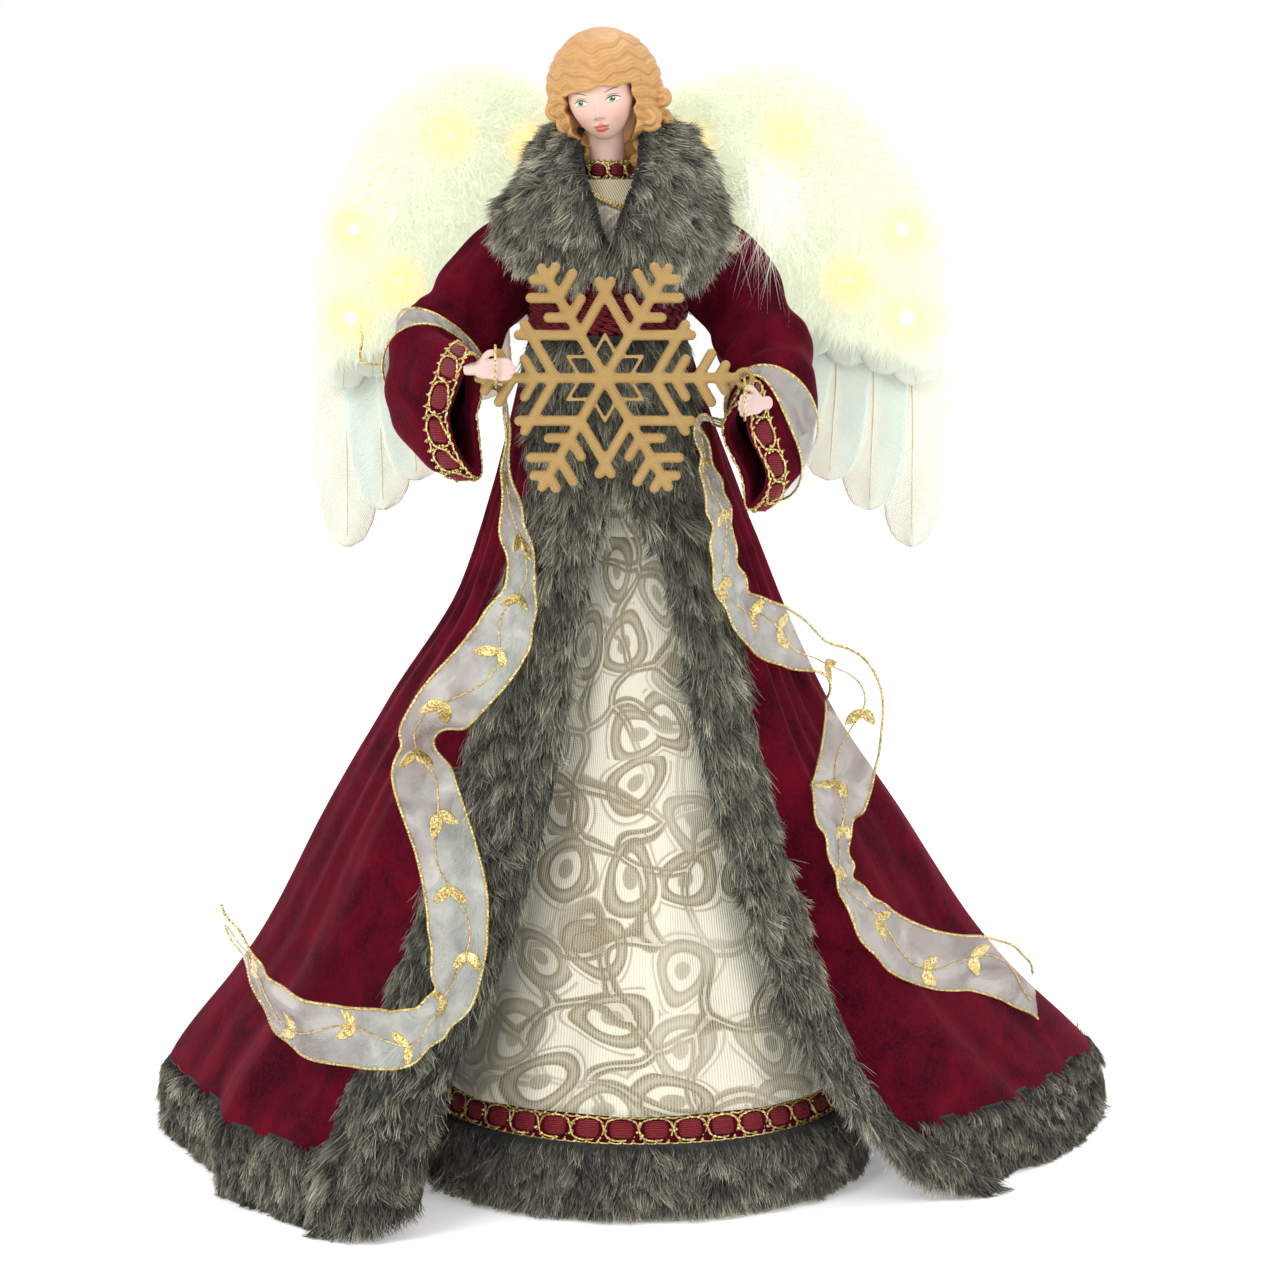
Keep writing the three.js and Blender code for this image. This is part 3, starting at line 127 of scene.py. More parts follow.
FLAKE_RADIUS = 0.044
FLAKE_BAR = 0.0033
FLAKE_THICKNESS = 0.003
FLAKE_FINE_BAR = 0.0013
FLAKE_EYE_RADIUS = 0.0036
FLAKE_EYE_HOLE = 0.0017
FLAKE_FORWARD = 0.062
FLAKE_DROP = 0.0478
FLAKE_SIDE = -0.0004
SWING_GAP = 0.0024
THREAD_RADIUS = 0.00045
TIE_INSET = 0.0015
TIE_SLACK = 0.0004
RIBBON_WIDTH = 0.02
WING_HEIGHT = 0.169
WING_REACH = {"left": 0.088, "right": 0.105}
WING_RISE = 0.0345
HINGE_SPREAD = 0.016
WING_DEPTH = 0.038
DOWN_THICKNESS = 0.02
FEATHER_THICKNESS = 0.001
FEATHER_WIDTH = 0.024
COVERT_THICKNESS = 0.0015
LAMP_RADIUS = 0.0023
LAMP_LENGTH = 0.009
SOCKET_RADIUS = 0.0026
SOCKET_LENGTH = 0.006
LIGHT_WIRE_RADIUS = 0.0007
STRING_END_RADIUS = 0.00045

TORSO_FOOT = CONE_HEIGHT + FIT
TORSO_TOP = TORSO_FOOT + TORSO_LENGTH
WAIST_BRAID_TOP = TORSO_FOOT + WAIST_BRAID_SHARES[1] * TORSO_LENGTH
SHOULDER_LEVEL = TORSO_FOOT + 0.86 * TORSO_LENGTH
ROBE_TOP = TORSO_FOOT + WAIST_BRAID_SHARES[0] * TORSO_LENGTH - FIT
BODY_LAYER = FIT + BROCADE
ROBE_LAYER = BODY_LAYER + FIT + VELVET
GOWN_FUR_TOP = GOWN_FUR_BOTTOM + GOWN_FUR_WIDTH
GOWN_REACH = CONE_RADIUS + FIT + GOWN_FUR_THICKNESS
HEM_REACH = GOWN_REACH + HEM_SPREAD
GOWN_BRAID_TOP = GOWN_FUR_TOP + FIT + GOWN_BRAID_WIDTH
HEAD_BASE = TORSO_TOP + 0.6 * NECK_LENGTH
WING_FOOT = TORSO_TOP + WING_RISE - WING_HEIGHT

# The photograph's camera: distance to the aim, its height angle, and its lens
AIM = (0.00035, 0.0, 0.19)
CAMERA_DISTANCE = 1.5
CAMERA_ANGLE = 8.0
CAMERA_LENS = 119.2


def metres(name, description, default):
    """A length setting of the panel with its default."""
    return FloatProperty(name=name, description=description, default=default, unit="LENGTH")


class TopperSizes(bpy.types.PropertyGroup):
    """Sizes of the soft finishes"""
    fur_length: metres("Fur length", "Length of the fur's longest hairs", 0.0105)
    fur_width: metres("Hair width", "Width of a lock of fur hair at its root", 0.00042)
    down_length: metres("Down length", "Length of the wings' marabou down", 0.012)
    down_width: metres("Down width", "Width of a barb of the down at its root", 0.00026)
    ribbon_wire: metres("Ribbon wire", "Radius of the ribbons' wired edges", 0.0005)
    braid_cord: metres("Braid cord", "Radius of the gold cord in the braids", 0.00042)


def tint(red, green, blue):
    """The linear colour of a shade given as a screen shows it, from 0 to 255."""
    share = np.array([red, green, blue]) / 255
    linear = np.where(share <= 0.04045, share / 12.92, ((share + 0.055) / 1.055) ** 2.4)
    return (*(float(part) for part in linear), 1.0)


def colour(name, description, shade):
    """A colour setting of the panel with its default."""
    return FloatVectorProperty(name=name, description=description, subtype="COLOR", size=4,
                               min=0, max=1, default=shade)


class TopperColours(bpy.types.PropertyGroup):
    """Colours of the cloth, fur, trims and paint"""
    # The velvet's lit colour and its painted shade colour: a lit and a shaded copy of one crimson
    velvet: colour("Velvet", "Robe and sleeves, in the light", tint(86, 6, 25))
    velvet_shade: colour("Velvet shade", "Robe and sleeves, in the folds", tint(42, 2, 12))
    fur_root: colour("Fur root", "The fur near its backing", tint(24, 24, 22))
    fur_tip: colour("Fur tip", "The fur at its tips", tint(216, 212, 190))
    brocade: colour("Brocade", "Ground of the gown", tint(228, 223, 204))
    brocade_band: colour("Brocade band", "Woven bands of the gown", tint(104, 93, 64))
    porcelain: colour("Porcelain", "Face and neck", tint(218, 184, 168))
    hands: colour("Hands", "Hands", tint(206, 180, 172))
    hair: colour("Hair", "Moulded hair", tint(200, 152, 92))
    gold: colour("Gold", "Snowflake", tint(186, 154, 96))
    gold_thread: colour("Gold thread", "Cords, wires and glitter", tint(222, 196, 112))
    braid: colour("Braid", "Red of the braids", tint(112, 6, 20))
    feather: colour("Feather", "Feathers and down", tint(238, 241, 226))
    glow: colour("Glow", "Light of the lamps", tint(255, 212, 122))


def unit(vectors):
    """Vectors drawn out or in to a length of one."""
    size = np.linalg.norm(vectors, axis=-1, keepdims=True)
    return vectors / np.maximum(size, 1e-12)


def mix(a, b, share):
    """The value a share of the way from a to b."""
    return a + (b - a) * share


def smooth(share):
    """Eases a share from 0 to 1 in and out."""
    return share ** 2 * (3 - 2 * share)


def stack(x, y, z):
    """Points from three arrays of coordinates."""
    return np.stack(np.broadcast_arrays(x, y, z), -1)


def even(count, endless=False):
    """Even steps from 0 to 1. An endless run leaves out its last, which is its first again."""
    return np.linspace(0, 1, count, endpoint=not endless)


def turns(count):
    """Angles of even steps round a full turn."""
    return FULL_TURN * np.arange(count) / count


def grid_of(s, t):
    """Two runs of values as a grid of rows and columns."""
    return np.meshgrid(s, t, indexing="ij")


def bell(distance, spread):
    """A soft bump: 1 at no distance, falling off with the square of it."""
    return np.exp(-(distance / spread) ** 2)


def cubic(a, slope_a, b, slope_b, t):
    """The cubic from a to b with the given slopes at its ends."""
    return (a * (2 * t ** 3 - 3 * t ** 2 + 1) + slope_a * (t ** 3 - 2 * t ** 2 + t)
            + b * (3 * t ** 2 - 2 * t ** 3) + slope_b * (t ** 3 - t ** 2))


def along(table, place, column=1):
    """The value at a place in rows of (place, value, ...), smoothed by a cubic between the rows."""
    rows = np.asarray(table, float)
    x, y = rows[:, 0], rows[:, column]
    slope = np.zeros_like(y)
    slope[1:-1] = (y[2:] - y[:-2]) / (x[2:] - x[:-2])
    slope[0], slope[-1] = (y[1] - y[0]) / (x[1] - x[0]), (y[-1] - y[-2]) / (x[-1] - x[-2])
    place = np.clip(place, x[0], x[-1])
    row = np.clip(np.searchsorted(x, place, side="right") - 1, 0, len(x) - 2)
    span = x[row + 1] - x[row]
    return cubic(y[row], slope[row] * span, y[row + 1], slope[row + 1] * span, (place - x[row]) / span)


def wander(seed, *axes, waves=7, low=1.0, high=3.0):
    """A smooth value from about -1 to 1: the sum of sine waves of random ways and starts."""
    rng = np.random.default_rng(seed)
    total = 0.0
    for _ in range(waves):
        way = unit(rng.normal(size=len(axes))) * rng.uniform(low, high)
        total = total + np.sin(sum(FULL_TURN * w * a for w, a in zip(way, axes)) + rng.uniform(0, 9))
    return total / math.sqrt(2 * waves)


class Route:
    """A smooth curve through points: a centripetal cubic between neighbours, read by length or
    by its even share of the spans."""

    def __init__(self, points, closed=False, fine=40):
        spots = np.asarray(points, float)
        ends = ([spots[-1]], [spots[0], spots[1]]) if closed else (
            [2 * spots[0] - spots[1]], [2 * spots[-1] - spots[-2]])
        spots = np.vstack([ends[0], spots, ends[1]])
        p0, p1, p2, p3 = spots[:-3], spots[1:-2], spots[2:-1], spots[3:]
        t0, t1, t2 = (np.linalg.norm(b - a, axis=1, keepdims=True) ** 0.5 for a, b in ((p0, p1), (p1, p2), (p2, p3)))
        m1 = ((p1 - p0) / t0 - (p2 - p0) / (t0 + t1) + (p2 - p1) / t1) * t1
        m2 = ((p2 - p1) / t1 - (p3 - p1) / (t1 + t2) + (p3 - p2) / t2) * t1
        t = even(fine, True)[None, :, None]
        line = cubic(p1[:, None], m1[:, None], p2[:, None], m2[:, None], t)
        self.line = np.vstack([line.reshape(-1, 3), p2[-1:]])
        steps = np.linalg.norm(np.diff(self.line, axis=0), axis=1)
        self.run = np.concatenate([[0], np.cumsum(steps)])
        self.length = self.run[-1]
        self.ways = unit(np.gradient(self.line, axis=0))

    def _read(self, rows, share, even):
        places = np.linspace(0, 1, len(self.line)) if even else self.run / self.length
        return np.stack([np.interp(share, places, rows[:, k]) for k in range(3)], -1)

    def at(self, share, even=False):
        return self._read(self.line, share, even)

    def ahead(self, share, even=False):
        return unit(self._read(self.ways, share, even))


def grid_faces(rows, columns, wrap_rows=False, wrap_columns=False):
    """Quads of a grid of points, and for each corner its row and column, counted on past a wrap."""
    r, c = grid_of(np.arange(rows - (not wrap_rows)), np.arange(columns - (not wrap_columns)))
    corners = np.stack([np.stack([r, c], -1), np.stack([r, c + 1], -1),
                        np.stack([r + 1, c + 1], -1), np.stack([r + 1, c], -1)], 2).reshape(-1, 4, 2)
    quads = (corners[..., 0] % rows) * columns + corners[..., 1] % columns
    return quads, corners


class Surface:
    """Gathers points, quads and triangles, with a place on the cloth for each corner."""

    def __init__(self):
        self.points, self.quads, self.triangles = [], [], []
        self.quad_uv, self.triangle_uv = [], []
        self.count = 0

    def add(self, points, quads=None, triangles=None, quad_uv=None, triangle_uv=None):
        points = np.asarray(points, float).reshape(-1, 3)
        for faces, size, store, uvs, uv_store in (
                (quads, 4, self.quads, quad_uv, self.quad_uv),
                (triangles, 3, self.triangles, triangle_uv, self.triangle_uv)):
            if faces is None:
                continue
            faces = np.asarray(faces).reshape(-1, size)
            store.append(faces + self.count)
            uv_store.append(np.zeros((len(faces), size, 2)) if uvs is None
                            else np.asarray(uvs, float).reshape(-1, size, 2))
        self.points.append(points)
        self.count += len(points)
        return self

    def grid(self, points, wrap_rows=False, wrap_columns=False, uv_size=(1, 1), flip=False):
        """A grid of points (rows x columns x 3)."""
        rows, columns = points.shape[:2]
        quads, corners = grid_faces(rows, columns, wrap_rows, wrap_columns)
        spans = np.array([rows - (not wrap_rows), columns - (not wrap_columns)])
        uv = corners / spans * np.array(uv_size)
        if flip:
            quads, uv = quads[:, ::-1], uv[:, ::-1]
        return self.add(points, quads, quad_uv=uv)

    def shells(self, grids, souths, norths, flip=False):
        """Closed skins from n grids of rings (n x rows x columns x 3), each with its two ends."""
        n, rows, columns = grids.shape[:3]
        quads, corners = grid_faces(rows, columns, False, True)
        column = np.arange(columns)
        following = (column + 1) % columns
        top = (rows - 1) * columns
        caps = np.concatenate([np.stack([np.full(columns, rows * columns), following, column], -1),
                               np.stack([np.full(columns, rows * columns + 1), top + column, top + following], -1)])
        if flip:
            quads, corners, caps = quads[:, ::-1], corners[:, ::-1], caps[:, ::-1]
        points = np.concatenate([grids.reshape(n, -1, 3), np.stack([souths, norths], 1)], 1)
        starts = np.arange(n)[:, None, None] * (rows * columns + 2)
        uv = np.broadcast_to(corners / np.array([rows, columns]), (n, *corners.shape))
        return self.add(points, quads + starts, caps + starts, uv)

    def tubes(self, paths, radius, sides=6, up=None, closed=False, squeeze=1.0):
        """Round tubes along n paths of m points: a ring square to the path at each point, and a
        point at the middle of each end. up leans the rings, squeeze flattens them across it."""
        paths = np.asarray(paths, float)
        paths = paths[None] if paths.ndim == 2 else paths
        n, m = paths.shape[:2]
        if closed:
            ahead = unit(np.roll(paths, -1, 1) - np.roll(paths, 1, 1))
        else:
            ahead = unit(np.gradient(paths, axis=1))
        if up is None:
            up = np.eye(3)[np.argmin(np.abs(ahead).mean(axis=1), axis=-1)][:, None, :]
        side = unit(np.cross(np.broadcast_to(up, paths.shape), ahead))[:, :, None]
        top = np.cross(ahead, side[:, :, 0])[:, :, None]
        angle = turns(sides)[:, None]
        radius = np.broadcast_to(radius, (n, m))[..., None, None]
        points = paths[:, :, None] + radius * (side * np.cos(angle) + squeeze * top * np.sin(angle))
        if closed:
            for ring in points:
                self.grid(ring, True, True)
            return self
        return self.shells(points, paths[:, 0], paths[:, -1])

    def slab(self, at, lengths, widths, under, over, endless=False, uv_size=(1, 1)):
        """A closed sheet over at(s, t, off): each ring runs out over its top and back under it."""
        s, t = grid_of(lengths, widths)
        top, bottom = at(s, t, over(s, t)), at(s, t, under(s, t))
        rings = np.concatenate([top, bottom[:, ::-1]], axis=1)
        rows, count = rings.shape[:2]
        quads, corners = grid_faces(rows, count, endless, True)
        across = np.concatenate([widths, np.asarray(widths)[::-1], widths[:1]])
        down = np.append(lengths, lengths[-1] + (lengths[1] - lengths[0]))
        uv = np.stack([down[corners[..., 0]] * uv_size[0], across[corners[..., 1]] * uv_size[1]], -1)
        if not endless:
            k = np.arange(count // 2 - 1)
            first = np.stack([k + 1, k, count - 1 - k, count - 2 - k], -1)
            last = first[:, ::-1] + (rows - 1) * count
            quads = np.concatenate([quads, first, last])
            uv = np.concatenate([uv, np.zeros((2 * len(k), 4, 2))])
        corner = rings.reshape(-1, 3)[quads]
        middle = corner.reshape(-1, 3).mean(0)
        a, b, c, d = (corner[:, i] - middle for i in range(4))
        volume = (a * np.cross(b, c)).sum() + (a * np.cross(c, d)).sum()
        if volume < 0:
            quads, uv = quads[:, ::-1], uv[:, ::-1]
        return self.add(rings, quads, quad_uv=uv)

    def ball(self, centres, sizes, rows=8, columns=10):
        """Closed ellipsoids at n centres with n x 3 half sizes."""
        lift = np.linspace(-math.pi / 2, math.pi / 2, rows + 2)[1:-1]
        lift, turn = grid_of(lift, turns(columns))
        shape = stack(np.cos(lift) * np.cos(turn), np.cos(lift) * np.sin(turn), np.sin(lift))
        centres, sizes = (np.atleast_2d(values)[:, None, None] for values in (centres, sizes))
        poles = sizes[:, 0, 0] * UP
        return self.shells(shape * sizes + centres, centres[:, 0, 0] - poles, centres[:, 0, 0] + poles)

    def build(self, name, uv_name="cloth", smooth=True):
        """The mesh object of all that was gathered."""
        points = np.concatenate(self.points)
        quads = np.concatenate(self.quads) if self.quads else np.zeros((0, 4), int)
        triangles = np.concatenate(self.triangles) if self.triangles else np.zeros((0, 3), int)
        corners = np.concatenate([quads.ravel(), triangles.ravel()])
        starts = np.concatenate([np.arange(len(quads)) * 4, len(quads) * 4 + np.arange(len(triangles)) * 3])
        mesh = bpy.data.meshes.new(name)
        mesh.vertices.add(len(points))
        mesh.vertices.foreach_set("co", points.astype(np.float32).ravel())
        mesh.loops.add(len(corners))
        mesh.loops.foreach_set("vertex_index", corners.astype(np.int32))
        mesh.polygons.add(len(starts))
        mesh.polygons.foreach_set("loop_start", starts.astype(np.int32))
        mesh.polygons.foreach_set("use_smooth", np.full(len(starts), smooth))
        uvs = [part.reshape(-1, 2) for part in self.quad_uv + self.triangle_uv]
        layer = mesh.uv_layers.new(name=uv_name)
        layer.data.foreach_set("uv", np.concatenate(uvs).astype(np.float32).ravel())
        mesh.update(calc_edges=True)
        made = bpy.data.objects.new(name, mesh)
        bpy.context.scene.collection.objects.link(made)
        return made


def dress(made, look, body="figure", nodes=()):
    """Gives a piece its finish and its body, and hides the nodes that it stands for."""
    made.data.materials.append(finish(look))
    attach(made, body)
    if nodes:
        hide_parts(*nodes)
    return made


def thicken(made, thickness, offset=-1.0):
    """Gives a single sheet its wall."""
    wall = made.modifiers.new("Wall", "SOLIDIFY")
    wall.thickness = thickness
    wall.offset = offset
    return made


def melt(made, grain, smoothing=4):
    """Runs the parts of a piece together in one skin of a given grain."""
    skin = made.modifiers.new("Skin", "REMESH")
    skin.mode = "VOXEL"
    skin.voxel_size = grain
    soft = made.modifiers.new("Soft", "SMOOTH")
    soft.iterations = smoothing
    ready = made.evaluated_get(bpy.context.evaluated_depsgraph_get())
    mesh = bpy.data.meshes.new_from_object(ready)
    made.modifiers.clear()
    made.data = mesh
    mesh.polygons.foreach_set("use_smooth", np.full(len(mesh.polygons), True))
    return made


class Finish:
    """A principled material, and short calls that add its nodes."""

    def __init__(self, name, **values):
        self.material = bpy.data.materials.new(name)
        self.material.use_nodes = True
        self.tree = self.material.node_tree
        self.shader = self.tree.nodes["Principled BSDF"]
        for key, value in values.items():
            self.set(key.replace("_", " "), value)

    def feed(self, target, value):
        """Links a value to a socket, or sets it there."""
        if isinstance(value, bpy.types.NodeSocket):
            self.tree.links.new(value, target)
        else:
            target.default_value = value

    def set(self, socket, value):
        """Sets or links a socket of the shader."""
        self.feed(next(s for s in self.shader.inputs if s.name.lower() == socket.lower()), value)
        return self

    def base(self, value):
        return self.set("base color", value)

    def relief(self, height, strength, depth, under=None):
        """Puts a bump on the shader, and gives the finished material."""
        return self.set("normal", self.bump(height, strength, depth, under)).material

    def node(self, kind, inputs=None, output=0, **settings):
        """Adds a node with its settings and inputs, and gives its output."""
        made = self.tree.nodes.new("ShaderNode" + kind)
        for key, value in settings.items():
            setattr(made, key, value)
        for key, value in (inputs or {}).items():
            self.feed(made.inputs[key], value)
        return made.outputs[output]

    def place(self):
        return self.node("TexCoord", output="Object")

    def cloth(self, name="cloth"):
        return self.node("UVMap", uv_map=name)

    def noise(self, vector, scale, detail=3.0, roughness=0.5, distortion=0.0, output=0):
        return self.node("TexNoise", {"Vector": vector, "Scale": scale, "Detail": detail,
                                      "Roughness": roughness, "Distortion": distortion}, output)

    def wave(self, vector, scale, axis="X", distortion=0.0, detail=2.0, fine=1.0):
        """Threads side by side across an axis."""
        return self.node("TexWave", {"Vector": vector, "Scale": scale, "Distortion": distortion,
                                     "Detail": detail, "Detail Scale": fine}, bands_direction=axis)

    def stretched(self, vector, scale, turn=(0, 0, 0)):
        return self.node("Mapping", {"Vector": vector, "Scale": scale, "Rotation": turn})

    def bent(self, vector, scale, detail, reach):
        """Places shifted by a noise, so that what is drawn on them bends."""
        drift = self.noise(vector, scale, detail, output="Color")
        shift = self.node("VectorMath", {0: drift, "Scale": reach}, operation="SCALE")
        return self.node("VectorMath", {0: vector, 1: shift}, operation="ADD")

    def parts(self, vector):
        """The first two parts of a vector or a colour."""
        outputs = self.node("SeparateXYZ", {"Vector": vector}).node.outputs
        return outputs["X"], outputs["Y"]

    def math(self, operation, a, b=0.0, c=0.0):
        return self.node("Math", {0: a, 1: b, 2: c}, operation=operation)

    def ramp(self, value, *stops):
        """A colour for a value, through stops of (place, colour)."""
        made = self.node("ValToRGB", {0: value}).node
        points = made.color_ramp.elements
        for index, (place, shade) in enumerate(stops):
            point = points[index] if index < 2 else points.new(place)
            point.position = place
            point.color = shade if hasattr(shade, "__len__") else (shade, shade, shade, 1)
        return made.outputs[0]

    def blend(self, share, a, b, way="MIX"):
        """Two colours mixed by a share."""
        return self.node("Mix", {0: share, 6: a, 7: b}, 2, data_type="RGBA", blend_type=way)

    def bump(self, height, strength, depth, under=None):
        inputs = {"Height": height, "Strength": strength, "Distance": depth}
        return self.node("Bump", inputs if under is None else dict(inputs, Normal=under))


def velvet_finish(colours):
    """Crushed velvet: a dark crimson pile, with painted shade and painted highlights laid over it in patches by
    noise.
    """
    f = Finish("Velvet", roughness=0.95, sheen_weight=0.3, sheen_roughness=0.34,
               sheen_tint=(0.5, 0.05, 0.11, 1), specular_ior_level=0.06)
    spot = f.place()
    crush_and_shade, fine = f.noise(spot, 55, 4, 0.55, 0.6), f.noise(spot, 900, 2)
    # Painted light: the velvet's shaded and lit colours are mixed by the crush noise, which also gives the relief,
    # and fine specks of painted highlight are laid over them
    pile = f.blend(f.ramp(crush_and_shade, (0.36, 0.0), (0.66, 1.0)), colours.velvet_shade, colours.velvet)
    f.base(f.blend(f.ramp(fine, (0.3, 0.0), (0.8, 0.35)), pile, tint(112, 18, 40)))
    return f.relief(crush_and_shade, 0.35, 0.0016, f.bump(fine, 0.5, 0.0004))


def fur_finish(colours):
    """Fur hairs: u is the shade of the lock, v runs from the dark root to the pale tip."""
    f = Finish("Fur hair", roughness=0.62, specular_ior_level=0.35, sheen_weight=0.15)
    lock, rise = f.parts(f.cloth("OFBake"))
    root_to_tip = f.ramp(rise, (0.0, colours.fur_root), (0.35, tint(64, 62, 54)),
                         (0.72, tint(130, 127, 110)), (1.0, colours.fur_tip))
    shade = f.ramp(lock, (0.0, 0.14), (0.5, 0.72), (1.0, 2.1))
    return f.base(f.blend(1.0, root_to_tip, shade, "MULTIPLY")).material


def brocade_finish(colours):
    """Brocade: drop shapes in rings of brown thread, turned their own way in each cell, with bands
    between them, on an ivory ground with fine upright ribs and gold glints."""
    f = Finish("Brocade", roughness=0.45, metallic=0.1, sheen_weight=0.2, specular_ior_level=0.5)
    cloth = f.cloth()
    bent, curved = f.bent(cloth, 30.0, 1.0, 0.01), f.bent(cloth, 46.0, 0.0, 0.026)
    cells = {"Vector": bent, "Scale": 40.0, "Randomness": 0.7}
    cell = f.node("TexVoronoi", cells, "Position", voronoi_dimensions="2D").node
    edges = f.node("TexVoronoi", dict(cells, Vector=curved), "Distance", voronoi_dimensions="2D",
                   feature="DISTANCE_TO_EDGE")
    offset = f.node("VectorMath", {0: bent, 1: cell.outputs["Position"]}, operation="SUBTRACT")
    chance = f.parts(cell.outputs["Color"])
    turned = f.node("VectorRotate", {"Vector": offset, "Angle": f.math("MULTIPLY", chance[0], 6.2)},
                    rotation_type="Z_AXIS")
    x, y = (f.math("MULTIPLY", part, 76.0) for part in f.parts(turned))
    narrow = f.math("MULTIPLY", y, f.math("MULTIPLY_ADD", x, 0.55, 1.35))
    far = f.math("SQRT", f.math("ADD", f.math("MULTIPLY", x, x), f.math("MULTIPLY", narrow, narrow)))
    rings = f.ramp(f.math("MULTIPLY", far, 0.6), (0.0, 0.75), (0.14, 0.7), (0.17, 0.0), (0.31, 0.0),
                   (0.34, 1.0), (0.43, 0.55), (0.53, 1.0), (0.56, 0.0), (0.61, 0.0), (0.63, 0.7), (0.68, 0.0))
    bands = f.ramp(edges, (0.0, 0.25), (0.022, 0.3), (0.03, 1.0), (0.09, 0.8), (0.11, 0.0))
    strength = f.ramp(chance[1], (0.1, 0.7), (0.45, 1.0))
    patch = f.ramp(f.noise(cloth, 22, 1), (0.4, 0.4), (0.54, 1.0))
    motif = f.math("MAXIMUM", f.math("MULTIPLY", rings, strength), f.math("MULTIPLY", bands, patch))
    ribs, weft = f.wave(cloth, 390.0, "X", 0.5, 1.0), f.wave(cloth, 560.0, "Y", 1.5)
    woven = f.math("MULTIPLY", motif, f.ramp(ribs, (0.1, 0.55), (0.6, 1.0)))
    ground = f.blend(f.ramp(ribs, (0.05, 0.35), (0.5, 0.0)), colours.brocade, tint(178, 166, 132))
    glint = f.ramp(f.noise(cloth, 2300, 2, 0.8), (0.57, 0.0), (0.66, 1.0))
    f.base(f.blend(f.math("MULTIPLY", glint, f.math("MULTIPLY_ADD", motif, 0.85, 0.1)),
                   f.blend(woven, ground, colours.brocade_band), tint(232, 208, 140)))
    threads = f.math("ADD", f.math("MULTIPLY", ribs, 0.5), f.math("MULTIPLY", weft, 0.25))
    return f.relief(f.math("MULTIPLY_ADD", motif, -1.0, threads), 0.7, 0.0005)


def porcelain_finish(colours, name="Porcelain", shade=None):
    """Bisque porcelain with a faint blush."""
    f = Finish(name, roughness=0.48, subsurface_weight=0.12, subsurface_scale=0.002,
               coat_weight=0.12, coat_roughness=0.3)
    spot = f.place()
    mottle = f.ramp(f.noise(spot, 140, 3), (0.3, 0.0), (0.75, 0.22))
    blush = f.node("Attribute", output="Color", attribute_name="blush")
    bisque = f.blend(mottle, shade or colours.porcelain, tint(218, 178, 162))
    f.base(f.blend(f.math("MULTIPLY", blush, 0.35), bisque, tint(222, 146, 126)))
    return f.relief(f.noise(spot, 1800, 2), 0.08, 0.0002)


def hands_finish(colours):
    """The hands' bisque porcelain, pinker than the face."""
    return porcelain_finish(colours, "Hands porcelain", colours.hands)


def hair_finish(colours):
    """Moulded hair: matt ochre paint, with painted shade that browns its grooves."""
    f = Finish("Painted hair", roughness=0.5, coat_weight=0.12, coat_roughness=0.4)
    # Painted shade: the grooves, found by the surface's pointiness, are darkened towards brown
    groove_shade = f.ramp(f.node("NewGeometry", output="Pointiness"), (0.42, 1.0), (0.52, 0.0))
    strokes = f.noise(f.stretched(f.place(), (1, 1, 0.35)), 260, 4, 0.6, 0.8)
    paint = f.blend(f.ramp(strokes, (0.35, 0.0), (0.7, 0.5)), colours.hair, tint(180, 130, 72))
    f.base(f.blend(f.math("MULTIPLY", groove_shade, 0.75), paint, tint(140, 92, 46)))
    return f.relief(strokes, 0.35, 0.0004)


def gold_finish(colours):
    """Matt gold moulding with a fine slanting hatch."""
    f = Finish("Matt gold", roughness=0.46, metallic=0.35, specular_ior_level=0.5)
    spot = f.place()
    hatch = f.wave(f.stretched(spot, (1, 1, 1), (0, 0.8, 0)), 440.0, "X", 0.4, 1.0)
    paint = f.blend(f.ramp(f.noise(spot, 90, 3), (0.35, 0.0), (0.7, 0.6)), colours.gold, tint(168, 134, 76))
    f.base(f.blend(f.ramp(hatch, (0.1, 0.7), (0.5, 0.0)), paint, tint(136, 104, 56)))
    return f.relief(hatch, 0.6, 0.0004)


def glitter_finish(colours):
    """Gold thread and glitter: small facets that each catch the light their own way."""
    f = Finish("Gold thread", roughness=0.28, metallic=0.75)
    flakes = f.node("TexVoronoi", {"Vector": f.place(), "Scale": 2200.0}, "Color")
    f.base(f.ramp(flakes, (0.2, tint(150, 118, 52)), (0.55, colours.gold_thread), (0.95, tint(255, 246, 206))))
    return f.relief(flakes, 0.8, 0.0004)


def braid_finish(colours):
    """Red rayon thread wound side by side."""
    f = Finish("Red braid", roughness=0.5, sheen_weight=0.05, specular_ior_level=0.3)
    threads = f.wave(f.place(), 520.0, "Z", 3.0, 2.0, 2.0)
    f.base(f.ramp(threads, (0.1, tint(62, 4, 14)), (0.6, colours.braid), (1.0, tint(158, 26, 46))))
    return f.relief(threads, 0.7, 0.0004)


def organza_finish(colours):
    """Sheer organza: a crisp open weave that lets about half of the light through."""
    f = Finish("Organza", roughness=0.42, sheen_weight=0.4, sheen_roughness=0.3)
    cloth = f.cloth()
    weave = f.math("MAXIMUM", f.wave(cloth, 620.0), f.wave(cloth, 620.0, "Y"))
    crease = f.noise(cloth, 60, 3, 0.6, 1.0)
    f.base(f.ramp(crease, (0.3, tint(226, 230, 222)), (0.7, tint(250, 250, 242))))
    f.set("alpha", f.math("ADD", f.math("MULTIPLY", weave, 0.12), f.ramp(crease, (0.3, 0.06), (0.75, 0.24))))
    return f.relief(weave, 0.3, 0.0002, f.bump(crease, 0.4, 0.0014))


